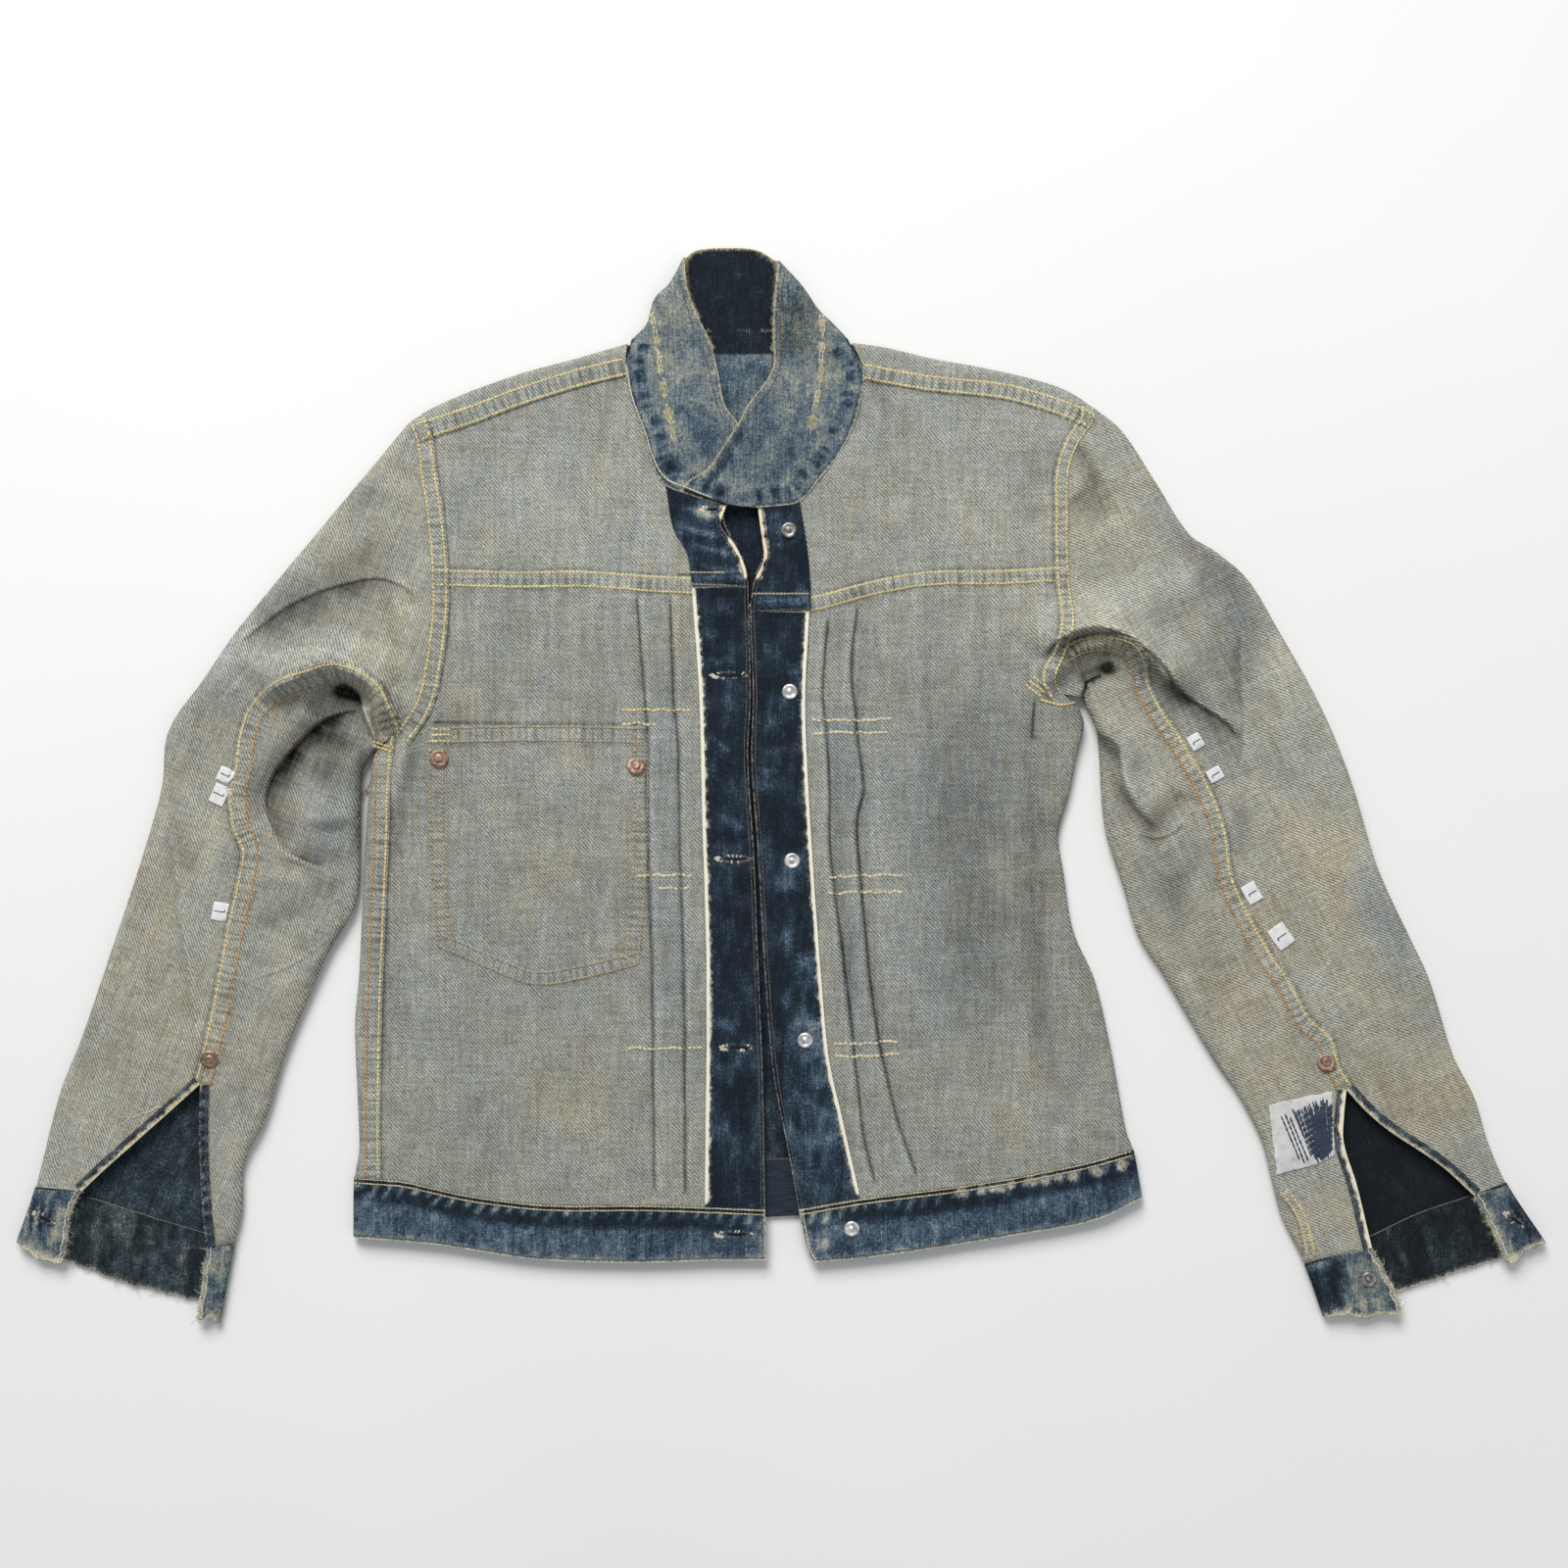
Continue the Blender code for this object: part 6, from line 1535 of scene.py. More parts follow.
# painted shade and light: hollows are painted darker and ridges lighter by this much for each mm of height
FOLD_SHADE = 0.035  # how much lighter a ridge is and darker a hollow, for each mm


def inside_fade(xy):
    """How far the indigo has gone inside the jacket: most where the neck shows it, with painted shade where
    it shows between the upper facings.
    """
    neck = smooth((xy[:, 1] - 172) / 8)
    # gap: painted shade on the inside of the back between the upper facings
    gap = smooth((172 - xy[:, 1]) / 8) * smooth((xy[:, 1] - 90) / 30)
    slit = smooth((-180 - xy[:, 1]) / 10)
    fade = 0.16 + 0.40 * neck - 0.10 * gap + 0.06 * soft_noise(xy, 12, 37)
    fade += slit * np.where(xy[:, 0] > 0, -0.22, 0.12) + 0.08 * slit * soft_noise(xy, 9, 39)
    return fade + 0.08 * soft_noise(xy / [8, 1], 1.6, 38) * neck


def seam_shadow_and_band(xy):
    """Where each seam's band is felt, and the painted shadow along its free edge."""
    shade_and_tone = np.zeros(len(xy))
    seams = np.zeros((len(xy), 3))
    for fell, low, high, sharp, rise in FELLS:
        near, offset, along, _ = seam_place(fell, xy, 16)
        band = smooth((offset - low) / 1.5 + 0.5) * smooth((high - offset) / 1.5 + 0.5)
        below, above = np.maximum(low - offset, 0), np.maximum(offset - high, 0)
        beside = bump(np.maximum(below, above), 2.6)
        felt = np.maximum(band, 0.45 * beside) * (0.6 + 0.4 * rise / FELL_RISE)
        mine = felt > seams[near, 2]
        seams[near[mine]] = np.stack([along, offset, felt], 1)[mine]
        # painted shadow beside the band, deep and narrow under a sharp free edge
        for away, is_sharp, beyond in ((below, sharp[0], offset < low), (above, sharp[1], offset > high)):
            deep, wide = (0.42, 1.3) if is_sharp else (0.08, 2.0)
            shade_and_tone[near] -= deep * bump(away, wide) * beyond
    return shade_and_tone, seams


def fold_tone(xy):
    """Painted shadows beside the folds and pleats and in the creases, and painted light along their edges,
    on the gathers and on the ridges.
    """
    shade_and_tone = 0.17 * gather_relief(xy)
    for line, towards, _, _, low_reach, shade in LIPS:
        near, offset, along, length = seam_place(line, xy, 3 * low_reach)
        side = offset * towards
        ends = clear_ends(along, length, 8)
        low = np.exp(np.minimum(side, 0) / low_reach) * smooth(0.5 - side / 1.7)
        shade_and_tone[near] += ends * (0.10 * bump(side - 1.8, 1.6) - shade * low)
    for line, width, amount in DARKS:
        shade_and_tone -= amount * smooth(2.0 * mark(xy, line, width, width, ends=0.06))
    # painted broad shadows, and painted light where their amount is below nought
    shade_and_tone -= wear_and_shade_strokes(xy, SHADES)
    for pleat, towards, width in PLEATS_LEFT + PLEATS_RIGHT:
        near, offset, along, length = seam_place(pleat, xy, 8)
        reach = offset * towards
        ends = clear_ends(along, length, 6)
        wave = 0.7 * noise_along(along, 16, 40)
        shade_and_tone[near] += 0.18 * ends * bump(reach - 2.6 + wave, 1.7)
        shade_and_tone[near] -= 0.55 * ends * bump(reach + 0.5 + wave, 1.2)
    shade_and_tone += FOLD_SHADE * np.clip(crease_height(xy), -7, 3)
    for wrinkle, height, left, right in WRINKLES:
        shade_and_tone += 3.2 * FOLD_SHADE * height * mark(xy, wrinkle, left, right)
    return shade_and_tone


def wrong_side_painter(line=None, warmth=0.26, light=0.0):
    """Values for the greyed side of the denim: weave, tan dirt, blue-grey, and light and dark, much of it
    painted shade and light of the folds and seams.
    """

    def paint(middle, upper):
        xy = middle[:, :2]
        warm = painted(xy, "warm") + 0.14 * soft_noise(xy, 60, 31) + 0.10 * soft_noise(xy, 21, 32)
        blue = painted(xy, "blue") + 0.12 * soft_noise(xy, 46, 33) + 0.10 * soft_noise(xy, 17, 34)
        shade_and_tone = painted(xy, "shade_and_tone") + 0.05 * soft_noise(xy, 38, 35) + 0.05 * soft_noise(xy, 12, 36)
        # beside is the painted shadow along the seams' free edges, and fold_tone the painted shade and
        # light of the folds
        beside, seams = seam_shadow_and_band(xy)
        shade_and_tone += light + beside + fold_tone(xy)
        return {
            "weave": np.concatenate([grain_of(xy, line), upper[:, None].astype(float)], 1),
            "warm": np.clip(warmth + warm, 0, 1),
            "blue": np.clip(0.66 - warmth + blue, 0, 1),
            "shade_and_tone": np.clip(shade_and_tone, -0.97, 0.45),
            "seam": seams,
            "fade": inside_fade(xy),
            "pale": np.zeros(len(xy)),
            "soil": 0.1 + 0.5 * smooth((-180 - xy[:, 1]) / 10),
        }

    return paint


def right_side_painter(fading, line=None):
    """Values for the dark side of the denim: weave, how far the indigo has gone, cream and soil."""

    def paint(middle, upper):
        xy = middle[:, :2]
        fade, pale, soil = fading(xy, upper)
        return {
            "weave": np.concatenate([grain_of(xy, line), upper[:, None].astype(float)], 1),
            "fade": np.clip(fade, 0, 1),
            "pale": np.clip(pale, 0, 1),
            "soil": np.clip(soil, 0, 1),
        }

    return paint


def line_mark(xy, line, width, ragged=0.6, seed=41):
    """A ragged line: 1 in its middle, 0 beyond its width."""
    points = run(line, step=FINE_STEP)
    near = np.flatnonzero(close_to(points, xy, 3 * width))
    distance, _, _, along = nearest(points, xy[near])
    own = width * (1 + ragged * noise_along(along, 4.0, seed))
    result = np.zeros(len(xy))
    result[near] = smooth(1.5 - distance / np.maximum(own, 0.2))
    return result


def wear_and_shade_strokes(xy, strokes):
    total = np.zeros(len(xy))
    for line, width, amount in strokes:
        total += amount * mark(xy, line, width, width, ends=0.3)
    return total


def rubbed(pale, soil, worn, pale_amount, soil_amount):
    """The pale and soiled values with a worn place added to both."""
    return np.maximum(pale, pale_amount * worn), np.maximum(soil, soil_amount * worn)


def facing_fade(xy, upper):
    fade = 0.07 + 0.19 * soft_noise(xy, 12, 51) + 0.14 * soft_noise(xy / [1, 2.5], 4, 52)
    fade += wear_and_shade_strokes(xy, FACING_WEAR)
    for place in BUTTONHOLES + FRONT_TACKS:
        gap = np.hypot(*((xy - place) / [11, 8]).T)
        fade += 0.22 * np.exp(-(gap**2))
    down = smooth((20 - xy[:, 1]) / 240)
    fade += (0.06 + 0.24 * (xy[:, 0] > 0)) * down + 0.06 * smooth((xy[:, 1] - 118) / 8) * (xy[:, 0] < -18)
    pale, soil = np.zeros(len(xy)), np.full(len(xy), 0.05)
    for line in SELVEDGES:
        pale = np.maximum(pale, 1.25 * line_mark(xy, line, 2.2, 0.12, 53))
    for line in (FRONT_EDGE_LEFT, FRONT_EDGE_RIGHT):
        pale = np.maximum(pale, 0.42 * line_mark(xy, line, 0.7, 0.6, 54))
    for line in NECK_END_FRAY:
        worn = line_mark(xy, line, 1.7, 0.8, 55)
        pale, soil = rubbed(pale, soil, worn, 0.95, 0.5)
    for place, span in HEM_BLEACHES:
        x0, x1 = span
        within = smooth((xy[:, 0] - x0) / 2) * smooth((x1 - xy[:, 0]) / 2)
        fade += 0.30 * within * bump(xy[:, 1] - place, 3.6)
    return fade, pale, soil


def band_fade(xy, upper):
    """The waistband: faded in slanted blobs beside its twisted seam, worn pale along its foot."""
    fade = 0.25 + 0.08 * soft_noise(xy, 18, 61) + 0.06 * soft_noise(xy / [0.5, 1], 4, 62)
    pale, soil = np.zeros(len(xy)), np.full(len(xy), 0.05)
    for hem in (HEM_LEFT, HEM_RIGHT):
        near, offset, along, _ = seam_place(hem, xy, 44)
        distance = np.abs(offset)
        slanted = along + 0.5 * np.maximum(distance - 4, 0) * (1 if hem is HEM_RIGHT else -1)
        cycle = (slanted + 2.4 * noise_along(slanted, 15, 63)) / 8.6
        own = np.stack([np.round(cycle) * 9, 0 * along], 1)
        beside = (cycle - np.round(cycle)) * 8.6
        tall = 9.5 + 5 * soft_noise(own, 11, 64)
        bulb = 0.92 * np.exp(-((beside / 2.3) ** 2 + ((distance - 4.8) / 2.8) ** 2) ** 1.3)
        bulb *= 0.85 + 0.4 * soft_noise(xy[near], 1.8, 66)
        tail = bump(beside, 1.9) * smooth((tall - distance) / 4) * smooth(distance / 3)
        share = along / 250 if hem is HEM_LEFT else 1 - along / 210
        strength = 0.50 + 0.22 * np.clip(share, 0, 1) + 0.20 * soft_noise(own + [0, 5], 7, 65)
        blob = np.clip(np.maximum(bulb, 0.7 * tail), 0, 1)
        fade[near] += (0.78 * blob * strength - 0.16 * (1 - blob)) * smooth((17 - distance) / 6)
        pale[near] = np.maximum(pale[near], 0.8 * blob * (strength - 0.42))
        soil[near] = np.maximum(soil[near], 0.5 * blob)
        fade[near] -= 0.30 * bump(distance - 2.1, 1.0)
        fade[near] += 0.20 * smooth((distance - 11) / 6)
    for x, y, size in BAND_SPOTS:
        spot = smooth(1.7 * np.exp(-(((xy[:, 0] - x) ** 2 + (xy[:, 1] - y) ** 2) / size**2)))
        pale, soil = rubbed(pale, soil, spot, 0.46, 0.50)
        fade += 0.3 * spot
    fade += wear_and_shade_strokes(xy, BAND_WEAR)
    for foot in (BAND_FOOT_LEFT, BAND_FOOT_RIGHT, BAND_END_LEFT, BAND_END_RIGHT):
        pale = np.maximum(pale, 0.55 * line_mark(xy, foot, 0.8, 0.9, 66))
        fade += 0.22 * line_mark(xy, foot, 3.4, 0.5, 67)
    return fade, pale, soil


def neck_teeth(xy):
    """Dark indigo that is left in the puckers beside the neck seam, as a row of uneven blots."""
    total = np.zeros(len(xy))
    for line in (NECK_LEFT, NECK_RIGHT):
        near, offset, along, _ = seam_place(line, xy, 19)
        cycle = along + 3.0 * noise_along(along, 9, 75)
        tooth = smooth(1.7 * np.cos(2 * math.pi * cycle / 10.5) + 0.2)
        middle = 9.0 + 2.0 * noise_along(along, 10, 76, 7)
        across = smooth(1.4 * bump(np.abs(offset) - middle, 3.6))
        across *= 0.75 + 0.45 * soft_noise(xy[near], 2.6, 74)
        total[near] = np.maximum(total[near], (0.3 + 0.7 * tooth) * across)
    return total


def collar_fade(xy, upper):
    """The collar: blue-grey to beige on its turned ends, navy where it stands behind the neck."""
    fade = np.where(upper, 0.67, 0.03) + 0.05 * soft_noise(xy, 9, 71) + 0.04 * soft_noise(xy, 3.4, 72)
    pale, soil = np.zeros(len(xy)), np.full(len(xy), 0.2)
    fade -= upper * (0.40 * neck_teeth(xy) - wear_and_shade_strokes(xy, COLLAR_SHADES))
    # soil here includes painted shade on the right end's upper part
    soil += upper * np.clip(wear_and_shade_strokes(xy, COLLAR_SOIL_AND_SHADE), 0, 0.8)
    for line in COLLAR_SCUFFS:
        worn = upper * line_mark(xy, line, 1.3, 1.7, 73)
        pale, soil = rubbed(pale, soil, worn, 0.46, 0.9)
    for line in (NECK_LEFT, NECK_RIGHT):
        worn = upper * line_mark(xy, line, 0.9, 0.9, 79)
        pale, soil = rubbed(pale, soil, worn, 0.62, 0.4)
        fade -= upper * 0.30 * line_mark(xy, line, 2.6, 0.3, 80)
    for line, width in ((RIM_LEFT[:7], 1.0), (RIM_RIGHT, 0.9), (COLLAR_TOP, 1.3)):
        worn = line_mark(xy, line, width, 0.7, 81)
        pale, soil = rubbed(pale, soil, worn, 0.58, 0.85)
    fade -= upper * 0.22 * line_mark(xy, RIM_SHADOW, 2.4, 0.3, 85)
    pale = np.maximum(pale, (~upper) * 0.32 * line_mark(xy, NECK_BACK_STITCH, 0.6, 1.4, 82))
    return fade, pale, soil


def cuff_fade(xy, upper):
    """The cuffs: streaked where the lower layer shows, striped and worn on their ends."""
    lean = np.where(xy[:, 0] < 0, -0.25, 0.35)
    skewed = np.stack([xy[:, 0] + lean * xy[:, 1], xy[:, 1] / 5], 1)
    streaks = soft_noise(skewed, 4.5, 81) + 0.5 * soft_noise(xy, 3.2, 82)
    right = xy[:, 0] > 0
    fade = np.where(upper, 0.56, np.where(right, 0.12, 0.32)) + 0.20 * streaks
    fade += upper * wear_and_shade_strokes(xy, TAB_STRIPES)
    pale, soil = np.zeros(len(xy)), np.where(upper, 0.35, 0.8)
    for foot in WORN_LINES:
        worn = line_mark(xy, foot, 0.8, 1.5, 83)
        pale, soil = rubbed(pale, soil, worn, 0.34, 0.5)
        fade += 0.12 * line_mark(xy, foot, 2.0, 0.8, 84)
    for line in TAB_EDGES:
        worn = upper * line_mark(xy, line, 2.0, 0.35, 89)
        pale, soil = rubbed(pale, soil, worn, 0.60, 0.45)
    return fade, pale, soil


def strip_fade(xy, upper):
    fade = 0.36 + 0.26 * soft_noise(xy, 3.6, 86) + 0.14 * soft_noise(xy, 1.8, 87)
    pale, soil = np.zeros(len(xy)), np.full(len(xy), 0.25)
    near, _, along, _ = seam_place(SLIT_LEFT_INNER, xy, 9)
    fade[near] -= 0.28 * smooth(1.4 * np.cos(2 * math.pi * along / 7.5))
    for line, wide, strength, khaki in STRIP_EDGES:
        worn = line_mark(xy, line, wide, 0.3, 88)
        pale, soil = rubbed(pale, soil, worn, strength, khaki)
    return fade, pale, soil


# Turned edges of the slits: line, half width, how pale, how khaki
STRIP_EDGES = [
    (SLIT_LEFT_OUTER, 2.4, 0.72, 0.85),
    (SLIT_LEFT_INNER, 0.8, 0.30, 0.60),
    (SLIT_RIGHT_OUTER, 2.0, 0.70, 0.75),
    (SLIT_RIGHT_INNER, 2.5, 0.95, 0.30),
]
TAB_STRIPES = [
    (plan((37, 1217), (29, 1264)), 1.5, -0.50),
    (plan((45, 1219), (38, 1264)), 1.3, -0.45),
    (plan((41, 1218), (33, 1264)), 1.0, 0.20),
    (plan((53, 1221), (47, 1262)), 1.2, -0.25),
    (plan((68, 1224), (62, 1272)), 7.0, 0.24),
    (plan((1534, 1213), (1566, 1268)), 2.0, -0.34),
    (plan((1546, 1222), (1574, 1266)), 1.4, -0.28),
    (plan((1514, 1226), (1540, 1282)), 6.0, 0.16),
    (plan((1340, 1288), (1348, 1344)), 7.0, -0.46),
    (plan((1358, 1284), (1364, 1342)), 6.0, -0.42),
    (plan((1384, 1278), (1400, 1340)), 8.0, 0.14),
    (plan((1404, 1326), (1412, 1342)), 4.5, 0.24),
]
SELVEDGES = [FACING_EDGE_RIGHT, FACING_EDGE_LEFT]
NECK_END_FRAY = [
    plan((738, 519), (738, 532), (746, 548), (757, 570), (760, 590)),
    plan((774, 521), (778, 545), (780, 566), (772, 586)),
]
HEM_BLEACHES = [(126.0, (-56, -22)), (112.0, (-18, 16))]
BUTTONHOLES = [at(725, 520), at(744, 689), at(748, 877), at(752, 1069)]
FRONT_TACKS = plan((805, 541), (806, 706), (808, 878), (822, 1062))
# Rubbed places: line, half width, how much paler
FACING_WEAR = [
    (plan((690, 516), (712, 522), (738, 530)), 2.4, 0.50),
    (plan((694, 535), (716, 543), (748, 548)), 2.0, 0.42),
    (plan((700, 556), (726, 561), (754, 569)), 2.0, 0.36),
    (plan((704, 574), (730, 579), (758, 585)), 1.8, 0.26),
    (plan((782, 553), (800, 556), (818, 549)), 2.2, 0.32),
    (plan((782, 530), (800, 522)), 2.0, 0.22),
    (plan((722, 624), (754, 632)), 6.0, 0.14),
    (plan((714, 652), (756, 640)), 3.0, 0.20),
    (plan((714, 676), (758, 674)), 3.0, 0.28),
    (plan((722, 748), (747, 769)), 1.0, 0.34),
    (plan((722, 830), (750, 840), (765, 850)), 4.0, 0.26),
    (plan((720, 860), (766, 866)), 3.4, 0.24),
    (plan((776, 746), (800, 735), (824, 728)), 5.0, 0.22),
    (plan((775, 772), (800, 766), (822, 760)), 5.0, 0.20),
    (plan((772, 787), (796, 786)), 1.2, 0.26),
    (plan((722, 1040), (762, 1052)), 5.0, 0.22),
    (plan((722, 1092), (766, 1084)), 4.0, 0.22),
    (plan((796, 1040), (852, 1050)), 5.0, 0.18),
    (plan((800, 1082), (858, 1076)), 4.0, 0.16),
    (plan((786, 900), (832, 906)), 4.0, 0.14),
    (plan((784, 952), (838, 945)), 5.0, 0.14),
    (plan((730, 940), (762, 960)), 5.0, 0.12),
    (plan((724, 1150), (768, 1162)), 5.0, 0.14),
]
# Round bleached spots under the right hem: place and size
BAND_SPOTS = [
    (*at(981, 1217), 3.4),
    (*at(1002, 1215), 2.6),
    (*at(1012, 1213), 2.2),
    (*at(1022, 1213), 2.8),
    (*at(1032, 1209), 2.6),
    (*at(1052, 1206), 3.2),
    (*at(1067, 1204), 3.2),
    (*at(1079, 1202), 2.6),
    (*at(1094, 1201), 3.0),
    (*at(1120, 1196), 3.2),
    (*at(1145, 1189), 3.6),
]
BAND_WEAR = [
    (plan((372, 1216), (378, 1232)), 4.0, 0.34),
    (plan((826, 1242), (846, 1246), (858, 1244)), 5.0, 0.30),
    (plan((830, 1272), (848, 1268)), 5.0, 0.34),
    (plan((760, 1240), (778, 1262)), 5.0, 0.24),
    (plan((480, 1262), (560, 1276)), 8.0, 0.10),
    (plan((1120, 1212), (1150, 1206)), 7.0, -0.16),
    (plan((860, 1246), (940, 1238), (1060, 1222)), 5.0, -0.10),
]
# Paler and darker places of the collar: line, half width, how much paler; one is painted shade, marked
# below
COLLAR_SHADES = [
    (plan((690, 290), (680, 330), (690, 400)), 9.0, 0.07),
    (plan((690, 440), (720, 440), (740, 470)), 9.0, -0.13),
    (plan((712, 400), (716, 450), (704, 480)), 6.0, -0.10),
    (plan((684, 462), (694, 484)), 4.0, -0.30),
    # painted shade: the right end's upper part, which tilts away from the light, darkened
    (plan((812, 284), (808, 330), (804, 384)), 10.0, -0.14),
    (plan((800, 400), (776, 440), (738, 492)), 9.0, -0.15),
    (plan((820, 430), (800, 470), (776, 500)), 7.0, -0.14),
    (plan((844, 350), (848, 400), (838, 440)), 6.0, 0.03),
    (plan((704, 494), (722, 500)), 3.5, 0.20),
    (plan((796, 500), (812, 492)), 4.5, 0.18),
    (plan((724, 506), (740, 498)), 3.0, -0.24),
    (plan((746, 512), (770, 506), (780, 500)), 3.0, -0.20),
]
# Browned places of the collar: line, half width, how strongly; the first browns the right end's upper part
# as painted shade where it tilts away from the light
COLLAR_SOIL_AND_SHADE = [
    (plan((806, 286), (812, 330), (806, 380)), 12.0, 0.6),
    (plan((690, 290), (680, 330), (680, 400)), 10.0, 0.22),
    (plan((840, 330), (846, 400)), 7.0, 0.3),
]
COLLAR_SCUFFS = [
    plan((664, 314), (671, 350), (676, 390), (688, 448)),
    plan((838, 322), (838, 370), (834, 406), (826, 440)),
]
RIM_SHADOW = plan((757, 441), (744, 462), (728, 486), (712, 500))
NECK_BACK_STITCH = plan((712, 334), (740, 337), (766, 337), (790, 335))
TAB_EDGES = [
    TAB_FOOT_LEFT_OUTER[2:],
    TAB_FOOT_RIGHT_OUTER[2:],
    TAB_FOOT_LEFT_INNER[1:],
    TAB_FOOT_RIGHT_INNER[1:],
]


# How far apart the points of the finer and the plainer pieces lie
BAND_STEP = 1.7
COLLAR_STEP = 1.5
COLLAR_BACK_STEP = 2.4
FACING_STEP = 1.9
STRIP_STEP = 1.4
POCKET_STEP = 6.0
POCKET_DROP = 0.8  # clear space between the front and the pocket under it


def body_layer(*stretches, **settings):
    return Layer(stretches, body_lift, BODY_FOLDS, **settings)


def sleeve_layer(*stretches, **settings):
    return Layer(stretches, sleeve_lift, BODY_FOLDS, **settings)


def floor_layer(*stretches, lift=body_lift, **settings):
    return Layer(stretches, lift, BODY_FOLDS, upper=False, step=FLOOR_STEP, **settings)


def make_back(cloth):
    floor = floor_layer(
        fold(SIDE_LEFT, 7, 0),
        edge(BACK_ARMHOLE_LEFT, -1, 0),
        fold(SHOULDER_LEFT, -1, 0),
        edge(BACK_NECK),
        fold(SHOULDER_RIGHT),
        edge(BACK_ARMHOLE_RIGHT, 0, 5),
        edge(BACK_SIDE_SEAM_RIGHT),
        edge(BACK_HEM, 5, 0),
    )
    side = body_layer(fold(SIDE_LEFT, 0, 7), edge(HEM_LEFT, 6, 5), edge(SIDE_SEAM_LEFT, -1, 0))
    left = body_layer(
        fold(SHOULDER_LEFT),
        edge(ARMHOLE_LEFT, 0, 1),
        edge(SHOULDER_SEAM_LEFT),
        edge(NECK_LEFT, 1, 0),
    )
    right = body_layer(
        fold(SHOULDER_RIGHT),
        edge(ARMHOLE_RIGHT, 0, 1),
        edge(SHOULDER_SEAM_RIGHT),
        edge(NECK_RIGHT, 1, 0),
    )
    layers = [floor, side, left, right]
    cloth_piece("back_panel", ["back"], layers, cloth, wrong_side_painter())


def make_yokes(cloth):
    left = body_layer(
        edge(NECK_LEFT, 1, -1),
        edge(FRONT_EDGE_LEFT, 0, 4),
        edge(YOKE_SEAM_LEFT, -1, 0),
        edge(ARMHOLE_LEFT, 5, 1),
        edge(SHOULDER_SEAM_LEFT),
    )
    right = body_layer(
        edge(NECK_RIGHT, 1, -1),
        edge(FRONT_EDGE_RIGHT, 0, 4),
        edge(YOKE_SEAM_RIGHT, -1, 0),
        edge(ARMHOLE_RIGHT, 5, 1),
        edge(SHOULDER_SEAM_RIGHT),
    )
    paint = wrong_side_painter()
    cloth_piece("left_yoke", ["yoke_left"], [left], cloth, paint)
    cloth_piece("right_yoke", ["yoke_right"], [right], cloth, paint)


def make_fronts(cloth):
    left = body_layer(
        edge(YOKE_SEAM_LEFT),
        edge(FRONT_EDGE_LEFT, 4, -1),
        edge(HEM_LEFT, 0, 5),
        edge(SIDE_SEAM_LEFT, -1, 0),
        edge(ARMHOLE_LEFT, 9, 5),
    )
    right = body_layer(
        edge(FRONT_EDGE_RIGHT, 4, -1),
        edge(HEM_RIGHT),
        fold(SIDE_RIGHT, 10, 0),
        edge(ARMHOLE_RIGHT, 9, 5),
        edge(YOKE_SEAM_RIGHT),
    )
    wrap = floor_layer(
        fold(SIDE_RIGHT, 0, 10),
        edge(BACK_HEM, 6, 5),
        edge(BACK_SIDE_SEAM_RIGHT, -1, 0),
        edge(BACK_ARMHOLE_RIGHT, 5, 6),
    )
    paint = wrong_side_painter(light=-0.08)
    cloth_piece("left_front", ["front_left"], [left], cloth, paint)
    cloth_piece("right_front", ["front_right"], [right, wrap], cloth, paint)


